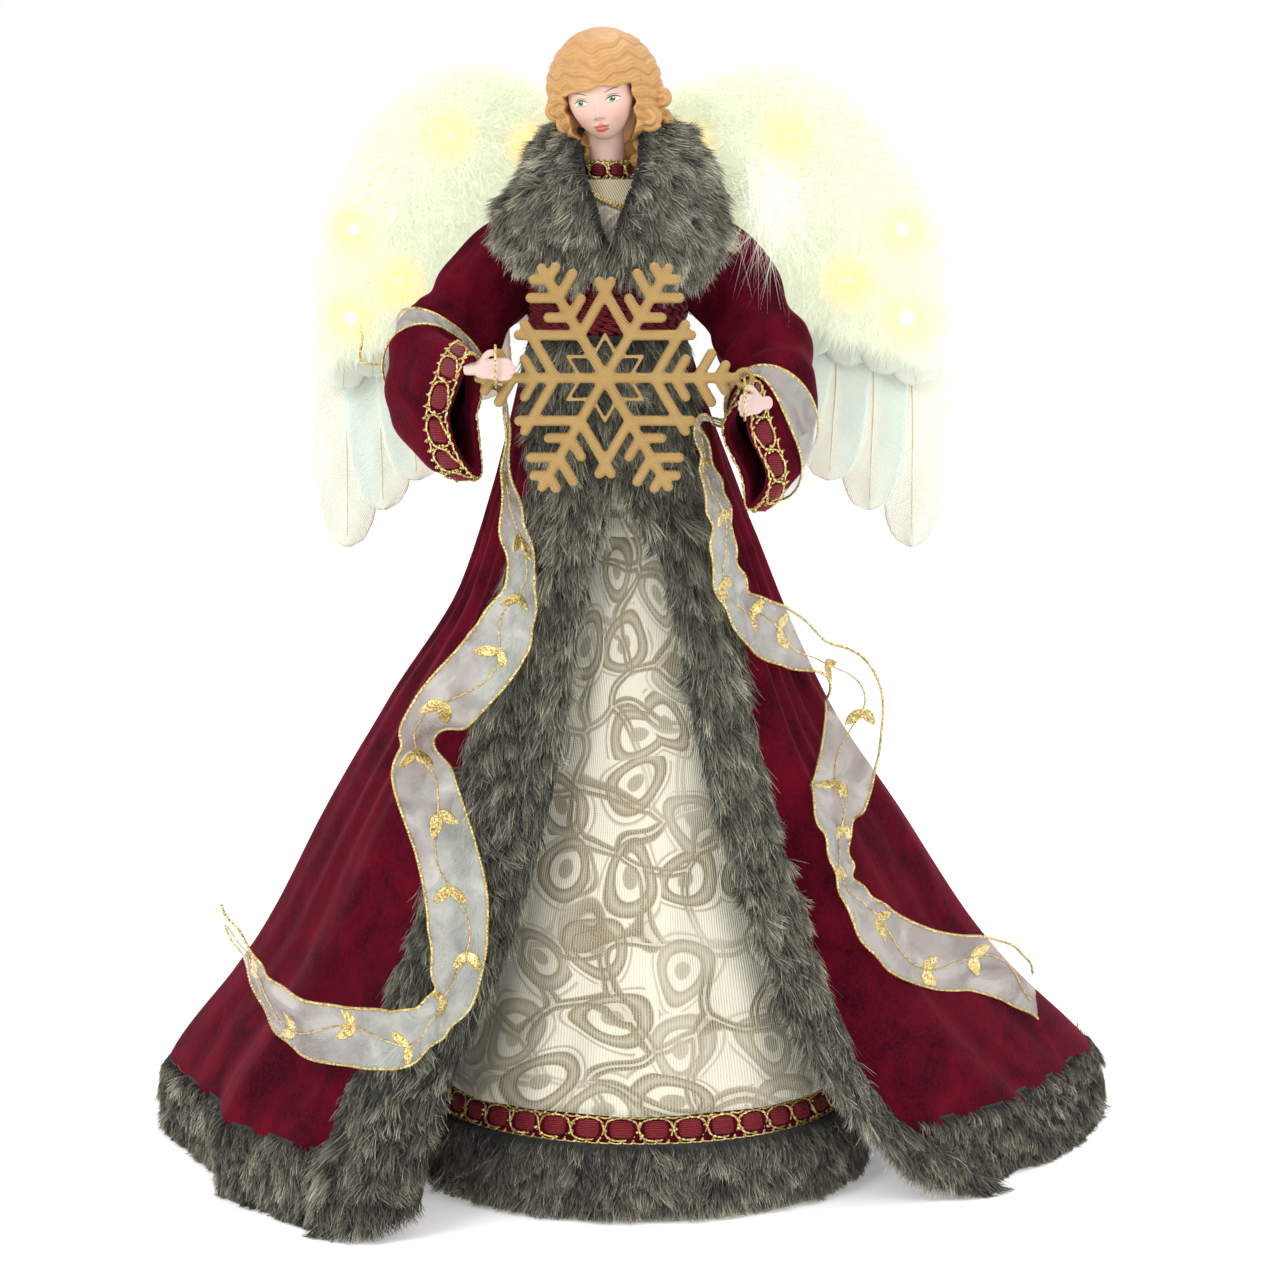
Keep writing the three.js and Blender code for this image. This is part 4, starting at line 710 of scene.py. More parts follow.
def vane_finish(colours):
    """Feather vanes: u runs along the feather and v across it, and barbs slant away from the quill."""
    f = Finish("Feather vane", roughness=0.7, subsurface_weight=0.2, subsurface_scale=0.004,
               sheen_weight=0.25, specular_ior_level=0.3)
    run, across = f.parts(f.cloth())
    aside = f.math("ABSOLUTE", f.math("SUBTRACT", across, 0.5))
    slant = f.math("SUBTRACT", run, f.math("MULTIPLY", aside, 0.16))
    barbs = f.math("SINE", f.math("MULTIPLY", slant, 900.0))
    split = f.noise(f.node("CombineXYZ", {"X": slant, "Y": 0.0}), 46, 3, 0.7)
    f.base(f.blend(f.ramp(split, (0.5, 0.0), (0.72, 0.35)), colours.feather, tint(222, 226, 212)))
    return f.relief(f.math("MULTIPLY_ADD", barbs, 0.3, split), 0.45, 0.0008)


def down_finish(colours, name="Marabou down", strength=0.6):
    """Marabou down: u is the glow of the nearest lamp, v the shade from root to tip."""
    f = Finish(name, roughness=0.9, sheen_weight=0.3, specular_ior_level=0.1)
    lit, rise = f.parts(f.cloth("OFBake"))
    white = f.ramp(rise, (0.0, tint(232, 235, 218)), (0.6, colours.feather), (1.0, tint(252, 254, 244)))
    # Painted light: the down glows a faint grey all over, and its colour and glow turn warm and bright near the
    # lamps
    f.base(f.blend(f.math("MULTIPLY", lit, 0.5), white, colours.glow))
    f.set("emission color", f.ramp(lit, (0.0, tint(122, 126, 116)), (0.3, tint(168, 142, 96)),
                                   (1.0, tint(255, 218, 140))))
    return f.set("emission strength", strength).material


def barbs_finish(colours):
    """The down's fine barbs, which glow a little more than its pillow."""
    return down_finish(colours, "Down barbs", 0.75)


def lamp_finish(colours):
    """A lit lamp: a warm glass bulb whose light varies a little from spot to spot."""
    f = Finish("Lit lamp", roughness=0.15, coat_weight=0.5).base(colours.glow)
    light = f.ramp(f.noise(f.place(), 300, 1), (0.3, tint(255, 214, 140)), (0.7, tint(255, 240, 205)))
    f.set("emission color", light)
    return f.set("emission strength", 5.0).material


def plain(name, pattern, low, high, relief=None, **values):
    """The maker of a plain finish: a fine pattern runs between two colours and gives the relief."""
    def make(colours):
        f = Finish(name, **values)
        grain = pattern(f)
        f.base(f.ramp(grain, low, high))
        return f.relief(grain, *relief) if relief else f.material
    return make


def paint(name, shade, second):
    """Brush-painted enamel, a little uneven."""
    return plain(name, lambda f: f.noise(f.place(), 900, 2), (0.35, shade), (0.7, second),
                 roughness=0.35, coat_weight=0.2)


FINISH_MAKERS = {
    "velvet": velvet_finish, "fur": fur_finish, "brocade": brocade_finish, "porcelain": porcelain_finish,
    "hands": hands_finish, "hair": hair_finish, "gold": gold_finish, "glitter": glitter_finish,
    "braid": braid_finish, "organza": organza_finish, "vane": vane_finish, "down": down_finish,
    "barbs": barbs_finish, "lamp": lamp_finish,
    # The fur's backing, dark pile seen between the hairs
    "backing": plain("Fur backing", lambda f: f.noise(f.stretched(f.place(), (1, 1, 0.3)), 700, 4, 0.7),
                     (0.3, tint(18, 18, 18)), (0.75, tint(62, 62, 59)), (0.8, 0.001), roughness=1.0),
    # Beige net over the neckline
    "net": plain("Net", lambda f: f.wave(f.stretched(f.place(), (1, 1, 1), (0, 0.5, 0)), 420.0, "X", 1.0),
                 (0.2, tint(150, 138, 108)), (0.6, tint(206, 196, 166)), (0.5, 0.0003), roughness=0.7,
                 sheen_weight=0.2),
    # The quills' pale horn
    "quill": plain("Quill", lambda f: f.noise(f.place(), 120, 2), (0.3, tint(232, 228, 204)),
                   (0.7, tint(206, 200, 168)), roughness=0.4, coat_weight=0.2),
    # Pale plastic of the light string
    "cable": plain("Pale cable", lambda f: f.noise(f.place(), 200, 2), (0.3, tint(226, 226, 214)),
                   (0.7, tint(240, 240, 230)), roughness=0.5),
    # Brushed zinc plate
    "steel": plain("Zinc plate", lambda f: f.noise(f.stretched(f.place(), (1, 1, 12)), 180, 4, 0.6),
                   (0.3, tint(128, 130, 132)), (0.75, tint(176, 178, 178)), (0.25, 0.0003), roughness=0.38,
                   metallic=0.9),
    # Stiff pale card with short fibres
    "card": plain("Card", lambda f: f.noise(f.stretched(f.place(), (1, 3, 1)), 420, 5, 0.75),
                  (0.35, tint(196, 186, 164)), (0.7, tint(224, 216, 198)), (0.4, 0.0004), roughness=0.92),
    # White foam beads pressed together
    "foam": plain("Foam", lambda f: f.node("TexVoronoi", {"Vector": f.place(), "Scale": 420.0}, "Distance",
                                           feature="DISTANCE_TO_EDGE"),
                  (0.0, tint(206, 204, 198)), (0.2, tint(238, 236, 230)), (0.6, 0.0006), roughness=0.9),
}
finishes = {}


def finish(name):
    """The finish of that name, made once."""
    if name not in finishes:
        finishes[name] = FINISH_MAKERS[name](bpy.context.scene.topper_colours)
    return finishes[name]


def flat(size):
    """A face that stands off evenly."""
    return lambda s, t: np.full(np.shape(s), size)


def swell(share):
    """Fur is full in the middle of its strip and thins towards both edges."""
    return 0.35 + 0.65 * np.sqrt(np.maximum(np.sin(np.pi * share), 0))


def scatter(at, count, rng, cells=70):
    """Places (s, t) spread evenly over at(s, t): cells are picked in proportion to their area."""
    edge = even(cells + 1)
    s, t = grid_of(edge, edge)
    spots = at(s, t)
    area = np.linalg.norm(np.cross(spots[1:, :-1] - spots[:-1, :-1], spots[:-1, 1:] - spots[:-1, :-1]), axis=-1)
    pick = rng.choice(area.size, count, p=(area / area.sum()).ravel())
    row, column = np.divmod(pick, cells)
    return (row + rng.random(count)) / cells, (column + rng.random(count)) / cells


def hairs(root, middle, tip, width, out, uv_u, uv_v):
    """Tapered blades with two points at the root, two at the middle and one at the tip, which
    face outwards. uv_u is a value for each hair, uv_v three values from root to tip."""
    side = unit(np.cross(tip - root, out)) * np.reshape(width, (-1, 1))
    points = np.stack([root - side, root + side, middle - 0.8 * side, middle + 0.8 * side, tip], 1)
    starts = np.arange(len(root))[:, None] * 5
    quads = starts + np.array([0, 1, 3, 2])
    triangles = starts + np.array([2, 3, 4])
    rise = np.array(uv_v)
    quad_uv = np.stack([np.broadcast_to(uv_u[:, None], (len(root), 4)),
                        np.broadcast_to(rise[[0, 0, 1, 1]], (len(root), 4))], -1)
    triangle_uv = np.stack([np.broadcast_to(uv_u[:, None], (len(root), 3)),
                            np.broadcast_to(rise[[1, 1, 2]], (len(root), 3))], -1)
    return Surface().add(points, quads, triangles, quad_uv, triangle_uv)


def fur_pile(name, at, over, comb, count, seed, clumps, length_share=1.0, lift=0.55):
    """Fur over a strip at(s, t, off): hairs grow along the comb, lean out, gather in locks and
    differ in shade from lock to lock."""
    sizes = bpy.context.scene.topper_sizes
    rng = np.random.default_rng(seed)
    face = lambda s, t: at(s, t, over(s, t))
    s, t = scatter(face, count, rng)
    share = length_share(s) if callable(length_share) else length_share
    step = 1e-3
    root = face(s, t)
    out = unit(at(s, t, over(s, t) + step) - root)
    ahead = comb(s, t, root)
    ahead = unit(ahead - out * (ahead * out).sum(-1, keepdims=True))
    rows, columns = clumps
    jitter_s, jitter_t = (0.8 * wander(seed + k, s * rows / 3, t * columns / 3) for k in (1, 2))
    row = np.clip((s * rows + jitter_s).astype(int), 0, rows - 1)
    column = np.clip((t * columns + jitter_t).astype(int), 0, columns - 1)
    lock = rng.normal(size=(rows, columns, 5))[row, column]
    heart = face((row + 0.5) / rows, (column + 0.5) / columns)
    direction = unit(ahead + 0.26 * lock[:, :3] + 0.16 * rng.normal(size=root.shape))
    long = sizes.fur_length * share * (0.55 + 0.45 * rng.random(count)) * (1 + 0.14 * lock[:, 3])
    long = long[:, None]
    outwards = out * lift * (0.75 + 0.5 * rng.random((count, 1)))
    middle = root + 0.5 * long * unit(0.8 * direction + outwards) * 1.05
    tip = root + long * (0.93 * direction + 0.45 * outwards) + 0.22 * (heart - root)
    root, middle, tip = (np.concatenate([place[:, :2], np.maximum(place[:, 2:], FLOOR_ROOM)], 1)
                         for place in (root, middle, tip))
    shade = np.clip(0.48 + 0.16 * lock[:, 4] + 0.17 * rng.normal(size=count), 0.02, 0.98)
    width = sizes.fur_width * (0.6 + 0.5 * rng.random(count)) / 2
    facing = unit(out + 0.7 * rng.normal(size=out.shape))
    made = hairs(root - 0.0006 * out, middle, tip, width, facing, shade, (0.02, 0.5, 0.98)).build(name, "OFBake")
    return dress(made, "fur")


# The torso: rows of height, half width and half depth as shares of the torso's sizes
TORSO_SHARES = [
    (0.26, 0.74, 1.1), (0.42, 0.67, 0.98), (0.6, 0.66, 0.95), (0.74, 0.82, 0.98),
    (0.85, 0.98, 0.97), (0.92, 0.92, 0.86), (0.97, 0.62, 0.64), (1.00, 0.34, 0.5),
]
TORSO_ROWS = [(0, CONE_TOP_RADIUS - FIT, CONE_TOP_RADIUS - FIT)] + [
    (level, wide * TORSO_HALF_WIDTH, deep * TORSO_HALF_DEPTH) for level, wide, deep in TORSO_SHARES]


def torso_at(turn, share, off):
    """A point off the torso: an oval at each height that leans aside as it rises."""
    waist = np.minimum(share / WAIST_BRAID_SHARES[0], 1)
    lean = BODY_LEAN * smooth(waist)
    wide, deep = along(TORSO_ROWS, share, 1) + off, along(TORSO_ROWS, share, 2) + off
    angle = FULL_TURN * turn
    return stack(lean + wide * np.sin(angle), -deep * np.cos(angle), TORSO_FOOT + share * TORSO_LENGTH)


# Arms: x, y and z from the middle of the shoulders as shares of reach, forward and drop
ARM_SHARES = {
    "left": [(-0.26, 0, -0.06), (-0.56, -0.05, -0.22), (-0.82, -0.16, -0.54), (-0.98, -0.45, -0.82),
             (-0.93, -0.8, -0.98), (-0.8, -1.00, -1.03)],
    "right": [(0.26, 0, -0.06), (0.58, -0.05, -0.2), (0.8, -0.16, -0.52), (0.92, -0.45, -0.89),
              (0.88, -0.8, -1.15), (0.76, -1.00, -1.24)],
}
SLEEVE_SHARES = [
    (0, 0.8, 0.52), (0.2, 0.98, 0.66), (0.45, 0.95, 0.68), (0.7, 1.00, 0.92), (0.88, 0.9, 1.00), (1, 0.78, 0.9),
]
CUFF_PINCH = 0.5
CUFF_HANG = {"left": 0.009, "right": -0.004}
CUFF_SWAY = {"left": 0.0012, "right": -0.0038}
CUFF_REACH = {"left": (0.001, -0.021, 0.001), "right": (0.008, -0.012, 0.001)}
SLEEVE_ROUTES = {side: Route([(BODY_LEAN + x * ARM_REACH, y * ARM_FORWARD, SHOULDER_LEVEL + z * ARM_DROP)
                              for x, y, z in rows]) for side, rows in ARM_SHARES.items()}


def sleeve_at(side, share, turn, off):
    """A point off a sleeve: an upright oval square to the arm's route, turned from its side."""
    route = SLEEVE_ROUTES[side]
    ahead = route.ahead(share)
    aside = unit(np.cross([0, 0, 1], ahead))
    up = np.cross(ahead, aside)
    angle = FULL_TURN * turn
    pinch = np.clip((share - 0.76) / 0.24, 0, 1) ** 2
    across = along(SLEEVE_SHARES, share, 1) * SLEEVE_HALF_WIDTH * (1 - CUFF_PINCH * pinch) + off
    tall = along(SLEEVE_SHARES, share, 2) * SLEEVE_HALF_HEIGHT + off
    sway = CUFF_SWAY[side] * pinch * np.sin(np.pi * np.sin(angle))
    reach = pinch * np.maximum(np.sin(angle), 0) ** 1.3
    hang = stack(CUFF_HANG[side] * pinch * np.maximum(-np.sin(angle), 0), 0, 0)
    return (route.at(share) + hang + aside * (across * np.cos(angle) + sway)[..., None]
            + up * (tall * np.sin(angle))[..., None] + CUFF_REACH[side] * reach[..., None])


# The robe's plan at its hem (angle from the back, share of its spread beyond the gown), its front
# edges by how far down they are, how its cloth falls outwards, and how much more it stands out
# at its left and at its right side
HEM_PLAN_SHARES = [
    (-180, 0.21), (-160, 0.227), (-146, 0.26), (-138, 0.42), (-128, 0.496), (-108, 0.546),
    (-90, 0.613), (-72, 0.823), (-60, 0.933), (-40, 0.832), (-20, 0.647), (0, 0.563), (20, 0.647),
    (42, 0.891), (60, 0.975), (72, 0.807), (90, 0.512), (104, 0.378), (113, 0.302), (120, 0.176),
    (150, 0.159), (180, 0.21),
]
FRONT_EDGE_SHARES = [
    (0, -179.5, 179.5), (0.17, -179, 178.5), (0.19, -175.5, 174), (0.25, -168, 161),
    (0.33, -161, 155), (0.5, -155, 152), (0.67, -149, 146), (0.83, -144, 139), (0.92, -143, 131), (1, -143, 119),
]
FALL_SHARES = [
    (0, 0), (0.1, 0.065), (0.2, 0.135), (0.35, 0.235), (0.5, 0.345), (0.65, 0.485), (0.8, 0.685),
    (0.92, 0.89), (1, 1),
]
SIDE_SHARES = [
    (0, 0, 0), (0.3, 0, -0.02), (0.45, 0.095, 0), (0.6, 0.15, 0.06), (0.75, 0.13, 0.05),
    (0.9, 0.105, 0.045), (1, 0, 0),
]
ROBE_WAIST = [along(TORSO_SHARES, WAIST_BRAID_SHARES[0], column) * half + ROBE_LAYER + WAIST_STAND_OFF
              for column, half in ((1, TORSO_HALF_WIDTH), (2, TORSO_HALF_DEPTH))]
HEM_FUR_TOP = (ROBE_TOP - HEM_FUR_HEIGHT) / ROBE_TOP


def robe_at(around, down, off, fine=0.0):
    """A point off the robe's skirt: an oval at the waist that opens to the hem's plan, with long
    folds that deepen downwards. fine adds the cloth's small folds."""
    left, right = along(FRONT_EDGE_SHARES, down, 1), along(FRONT_EDGE_SHARES, down, 2)
    turn = mix(left, right, around)
    angle = np.radians(turn)
    waist = 1 / np.hypot(np.sin(angle) / ROBE_WAIST[0], np.cos(angle) / ROBE_WAIST[1])
    hem = GOWN_REACH + along(HEM_PLAN_SHARES, turn) * HEM_SPREAD
    calm = np.sqrt(np.maximum(np.sin(np.pi * around), 0))
    fold = ROBE_FOLD * down * calm * (0.7 * np.sin(FULL_TURN * FOLD_WAVES * around)
                                      + 0.4 * np.sin(FULL_TURN * FINE_FOLD_WAVES * around + 1))
    small = fine * calm * np.minimum(down * 4, 1) * (1.2 - down) * np.sin(
        FULL_TURN * 31 * around + 1.5 * wander(5, around * 4, down) + 2)
    side = np.where(turn < 0, along(SIDE_SHARES, down, 1), along(SIDE_SHARES, down, 2)) * np.sin(angle) ** 2
    radius = mix(waist, hem, along(FALL_SHARES, down) + side) + fold + small + off
    edge = np.minimum(around, 1 - around)
    rise = FRONT_CORNER_RISE * np.exp(-edge * CORNER_WAVES)
    level = mix(ROBE_TOP, HEM_CLEARANCE + rise, down)
    lean = BODY_LEAN * (1 - down) ** 1.7
    return stack(lean + radius * np.sin(angle), radius * np.cos(angle), level)


GIRTH_LEVELS = even(60)
GIRTH_SPOTS = robe_at(*np.meshgrid(even(49), GIRTH_LEVELS), 0.0)
GIRTHS = np.linalg.norm(np.diff(GIRTH_SPOTS, axis=1), axis=-1).sum(1)


def strip_share(down, widest):
    """The share of the way round that a front fur strip takes."""
    width = mix(FRONT_FUR_TOP, widest, np.minimum(down * 1.5, 1))
    return width / np.interp(down, GIRTH_LEVELS, GIRTHS)


def cloth_at(across, down, off, fine=0.0):
    """The robe between its two front strips."""
    left, right = strip_share(down, FRONT_FUR_LEFT), 1 - strip_share(down, FRONT_FUR_RIGHT)
    return robe_at(mix(left, right, across), down, off, fine)


def front_strip_at(side):
    """The surface of a front fur strip: s runs down it and t from its free edge."""
    widest = FRONT_FUR_LEFT if side == "left" else FRONT_FUR_RIGHT

    def at(s, t, off):
        width = strip_share(s, widest)
        return robe_at(t * width if side == "left" else 1 - t * width, s, off)
    return at


def hem_at(s, t, off):
    """The surface of the robe's hem fur: s runs round it and t down, and it turns in below."""
    return cloth_at(s, mix(HEM_FUR_TOP, 1, t), off - HEM_TURN_IN * np.minimum(2 * np.asarray(t), 1))


def cone_at(turn, height, off, pleat=0.0):
    """A point off the cone, with soft pleats that fade towards its top."""
    fall = 1 - height / CONE_HEIGHT
    radius = (mix(CONE_RADIUS, CONE_TOP_RADIUS, height / CONE_HEIGHT) + off
              + pleat * fall * np.cos(GOWN_PLEATS * FULL_TURN * turn))
    angle = FULL_TURN * turn
    return stack(radius * np.sin(angle), -radius * np.cos(angle), height)


def gown_fur_at(s, t, off):
    """The surface of the gown's hem fur: s runs round it and t down."""
    return cone_at(s, mix(GOWN_FUR_TOP, GOWN_FUR_BOTTOM, t), off)


# The collar's edges: x, y and z from the foot of the neck as shares of the torso's half width,
# its half depth and the height of the chest
COLLAR_SHARES = [
    ((0.06, -1.38, -0.78), (-0.36, -1.5, -0.98)), ((-0.1, -1.36, -0.55), (-0.88, -1.2, -0.82)),
    ((-0.2, -1.18, -0.25), (-1.2, -0.6, -0.5)), ((-0.27, -0.85, 0.1), (-0.86, 0.1, -0.1)),
    ((-0.25, -0.1, 0.42), (-0.7, 0.85, 0.22)), ((0, 0.42, 0.52), (0, 1.2, 0.25)),
    ((0.3, -0.1, 0.45), (0.85, 0.85, 0.26)), ((0.36, -0.85, 0.1), (1.18, 0.1, -0.04)),
    ((0.27, -1.18, -0.25), (1.26, -0.6, -0.46)), ((0.18, -1.36, -0.53), (1.12, -1.15, -0.8)),
    ((0.1, -1.38, -0.76), (0.62, -1.42, -1.00)),
]
CHEST_DROP = TORSO_TOP - WAIST_BRAID_TOP
COLLAR_EDGES = [Route([(BODY_LEAN + row[edge][0] * TORSO_HALF_WIDTH, row[edge][1] * TORSO_HALF_DEPTH,
                        TORSO_TOP + row[edge][2] * CHEST_DROP) for row in COLLAR_SHARES]) for edge in (0, 1)]


def collar_at(s, t, off):
    """A point off the collar: s runs along it, t from its neck edge to its free edge."""
    t = t * (1 - 0.36 * bell(s - 0.5, 0.2))
    inner, outer = (edge.at(s, True) for edge in COLLAR_EDGES)
    ahead = COLLAR_EDGES[0].ahead(s, True) + COLLAR_EDGES[1].ahead(s, True)
    out = unit(np.cross(ahead, outer - inner))
    return mix(inner, outer, np.asarray(t)[..., None]) + out * np.asarray(off)[..., None]


def collar_over(s, t):
    """The collar's fullness, less at its two ends."""
    ends = np.sqrt(np.maximum(1 - np.abs(2 * s - 1) ** 6, 0.1))
    return ends * COLLAR_THICKNESS * swell(t)


def downwards(s, t, root):
    """A comb straight down."""
    return np.broadcast_to([0.0, 0.0, -1.0], root.shape)


def fur_strip(name, at, over, under, rows, columns, endless=False):
    """The closed pad that fur grows on."""
    shape = Surface().slab(at, even(rows, endless), even(columns), under, over, endless)
    return dress(shape.build(name), "backing", nodes=[name])


def sheet_between(at, rows, columns, wrap=False, uv_size=(1, 1), span=((0, 1), (0, 1))):
    """A single sheet over at(s, t): a grid of even steps."""
    s = np.linspace(*span[0], rows)
    t = np.linspace(*span[1], columns, endpoint=not wrap)
    return Surface().grid(at(*grid_of(s, t)), wrap_columns=wrap, uv_size=uv_size)


def square(wave, power):
    """A wave whose tops and foots are flattened by a power below one."""
    return np.sign(wave) * np.abs(wave) ** power


def band_braid(name, at, length, pitch):
    """A braid on at(s, t, off), with s along it and t across: a base band, a padded panel in each
    pitch, two cords that cross between the panels, beads of gold, and small loops on both edges."""
    cord = bpy.context.scene.topper_sizes.braid_cord
    count = max(int(round(length / pitch)), 4)
    base = Surface().slab(at, even(count * 8, True), even(5), flat(0.0), flat(BRAID_BAND), True)
    dress(base.build(name), "velvet", nodes=[name])
    middle = (np.arange(count) + 0.5) / count
    turn, reach = grid_of(turns(14), even(6))
    s = middle[:, None, None] + 0.34 / count * reach * square(np.cos(turn), 0.55)
    t = 0.5 + 0.33 * reach * square(np.sin(turn), 0.55)
    ribs = 0.00012 * np.cos(5 * FULL_TURN * (t - 0.5))
    height = BRAID_BAND + 0.0012 * np.sqrt(np.maximum(1 - reach ** 2, 0)) + ribs * (reach < 0.9)
    spots = at(s, np.broadcast_to(t, s.shape), np.broadcast_to(height, s.shape))
    quads, _ = grid_faces(*turn.shape, True, False)
    starts = np.arange(count)[:, None, None] * turn.size
    panel = Surface().add(spots, quads[None, :, ::-1] + starts)
    dress(panel.build(name + "_pads"), "braid")
    s = even(count * 16, True)
    phase = np.pi * count * s
    height = 0.0009 + 0.00045 * np.sin(2 * phase)
    cords = Surface()
    for sign in (1, -1):
        path = at(s, 0.5 + sign * 0.42 * square(np.sin(phase), 0.35), height + 0.0004 * sign * np.cos(phase))
        cords.tubes(path, cord * (1 + 0.45 * np.sin(phase * 13)), 5, closed=count % 2 == 0)
    between = np.repeat(np.arange(count), 5) / count
    chance = np.random.default_rng(count).random((3, len(between)))
    nuggets = at(between + (chance[0] - 0.5) * 0.22 / count, 0.12 + 0.76 * chance[1], 0.0011 + 0.0007 * chance[2])
    cords.ball(nuggets, np.repeat(cord * (0.9 + 0.7 * chance[2])[:, None], 3, 1), 3, 6)
    loops = count * 3
    s = even(loops * 9, True)
    swing = FULL_TURN * loops * s
    for edge in (0.03, 0.97):
        path = at(s + 0.3 / loops * np.sin(swing), edge + 0.07 * np.cos(swing), BRAID_BAND + 0.0003 * np.sin(swing))
        cords.tubes(path, cord * (0.95 + 0.5 * np.sin(swing * 5)), 5, closed=True)
    dress(cords.build(name + "_cords"), "glitter")


def twisted(shape, route, share, across, winds, reach, thickness, closed=False):
    """Two strands wound round each other along a route, from the way across."""
    core, ahead = route.at(share), route.ahead(share)
    aside = unit(np.cross(across, ahead))
    for start in (0, math.pi):
        twist = FULL_TURN * winds * share + start
        strand = core + reach * (aside * np.cos(twist)[:, None] + across * np.sin(twist)[:, None])
        shape.tubes(strand, thickness, 6, up=across, closed=closed)


# The snowflake's centre and the hands that hold it
FLAKE_CENTRE = np.array([BODY_LEAN + FLAKE_SIDE, -FLAKE_FORWARD, SHOULDER_LEVEL - FLAKE_DROP])
EYE_REACH = FLAKE_RADIUS + FLAKE_EYE_RADIUS - FLAKE_BAR / 4
HAND_DEPTH = FLAKE_CENTRE[1] - FLAKE_THICKNESS / 2 - SWING_GAP - PALM_THICKNESS / 2
HANDS = {
    "left": (np.array([FLAKE_CENTRE[0] - FLAKE_RADIUS + 0.42 * PALM_LENGTH, HAND_DEPTH,
                       FLAKE_CENTRE[2] + 0.5 * PALM_WIDTH]), math.radians(-20)),
    "right": (np.array([FLAKE_CENTRE[0] + EYE_REACH + 0.42 * PALM_LENGTH, HAND_DEPTH,
                        FLAKE_CENTRE[2] - FLAKE_EYE_RADIUS - 0.67 * PALM_WIDTH]), math.radians(232)),
}
ARM_STAR_SHARE = 0.378
BRANCH_SHARES = [(0.532, 0.202), (0.705, 0.25), (0.864, 0.148)]
INNER_POINT_SHARE = 0.33
INNER_VALLEY_SHARE = 0.186


def spoke(angle, reach):
    """A point in the snowflake's plane."""
    return np.array([reach * math.cos(angle), 0.0, reach * math.sin(angle)])


# Ribbons: x, y and z as shares of the hem's reach and the robe's height, then the lean of the
# width in the front view and its turn out of that view, in degrees
RIBBON_SHARES = {
    "left": [
        (-0.222, -0.18, 0.93, 0, 80), (-0.219, -0.2, 0.853, 10, 74), (-0.208, -0.23, 0.79, 20, 60),
        (-0.193, -0.26, 0.726, 30, 60), (-0.213, -0.275, 0.682, -12, 30), (-0.246, -0.28, 0.642, -36, 0),
        (-0.309, -0.27, 0.592, -36, 0), (-0.367, -0.24, 0.542, -27, 60), (-0.357, -0.26, 0.498, -7, 0),
        (-0.324, -0.31, 0.438, -11, 0), (-0.3, -0.377, 0.385, 12, 10), (-0.295, -0.415, 0.328, 5, 30),
        (-0.304, -0.45, 0.274, -10, 50), (-0.343, -0.473, 0.247, -60, 40), (-0.391, -0.473, 0.231, -90, 10),
        (-0.473, -0.406, 0.221, -90, 0), (-0.56, -0.33, 0.221, -94, 10), (-0.623, -0.242, 0.244, -104, 45),
        (-0.662, -0.184, 0.281, -120, 65), (-0.705, -0.145, 0.324, -130, 70)], "right": [
        (0.1, -0.2, 0.906, 0, 72), (0.11, -0.2, 0.866, 0, 68), (0.12, -0.2, 0.833, -8, 60),
        (0.135, -0.193, 0.796, 0, 62), (0.14, -0.184, 0.756, 8, 62), (0.152, -0.174, 0.716, 10, 60),
        (0.179, -0.159, 0.679, 35, 60), (0.22, -0.116, 0.657, 62, 30), (0.263, -0.058, 0.64, 62, 42),
        (0.326, -0.019, 0.61, 28, 66), (0.367, 0.01, 0.569, -10, 0), (0.367, -0.01, 0.53, -11, 0),
        (0.349, -0.1, 0.485, 4, 0), (0.333, -0.15, 0.455, 5, 35), (0.333, -0.164, 0.423, -5, 62),
        (0.343, -0.184, 0.385, 15, 72), (0.357, -0.188, 0.356, 28, 70), (0.396, -0.179, 0.319, 37, 55),
        (0.447, -0.135, 0.284, 50, 40), (0.517, -0.058, 0.256, 64, 28), (0.594, 0.048, 0.236, 70, 10),
        (0.662, 0.14, 0.207, 66, 30), (0.705, 0.184, 0.176, 80, 55)],
}
RIBBON_BANDS = {"left": (0.58, 0.7, 10 / 12), "right": (0.8, 0.9, 5 / 12)}
RIBBON_SPREAD = {"left": [(0, 0.16), (0.06, 0.2), (0.15, 0.7), (0.22, 1), (1, 1)],
                 "right": [(0, 0.3), (0.08, 0.5), (0.2, 0.85), (0.3, 1), (1, 1)]}
RIBBON_OFF = 0.0009


def ribbon_surface(side):
    """The ribbon's tail as a surface: s runs down it and t across, and its free edge flutters."""
    rows = RIBBON_SHARES[side]
    start, end, seat = RIBBON_BANDS[side]
    first = sleeve_at(side, np.array((start + end) / 2), np.array(seat + 1 / 12), RIBBON_OFF)
    spots = [first] + [(x * HEM_REACH, y * HEM_REACH, z * ROBE_TOP) for x, y, z, _, _ in rows]
    route = Route(spots)
    leans = [(0, rows[0][3], rows[0][4])] + [
        ((i + 1) / len(rows), row[3], row[4]) for i, row in enumerate(rows)]

    def at(s, t, off):
        lean, turn = (np.radians(along(leans, s, column)) for column in (1, 2))
        ahead = route.ahead(s, True)
        wide = stack(np.cos(lean) * np.cos(turn), np.sin(turn), np.sin(lean) * np.cos(turn))
        wide = unit(wide - ahead * (wide * ahead).sum(-1, keepdims=True))
        proud = np.cross(ahead, wide)
        flutter = 0.0011 * (t - 0.5) * np.sin(FULL_TURN * 21 * s + 4 * t) + 0.0005 * wander(11, s * 12, t)
        width = RIBBON_WIDTH * along(RIBBON_SPREAD[side], s)
        return (route.at(s, True) + wide * ((t - 0.5) * width)[..., None] + proud * (off + flutter)[..., None])
    return at, route.length


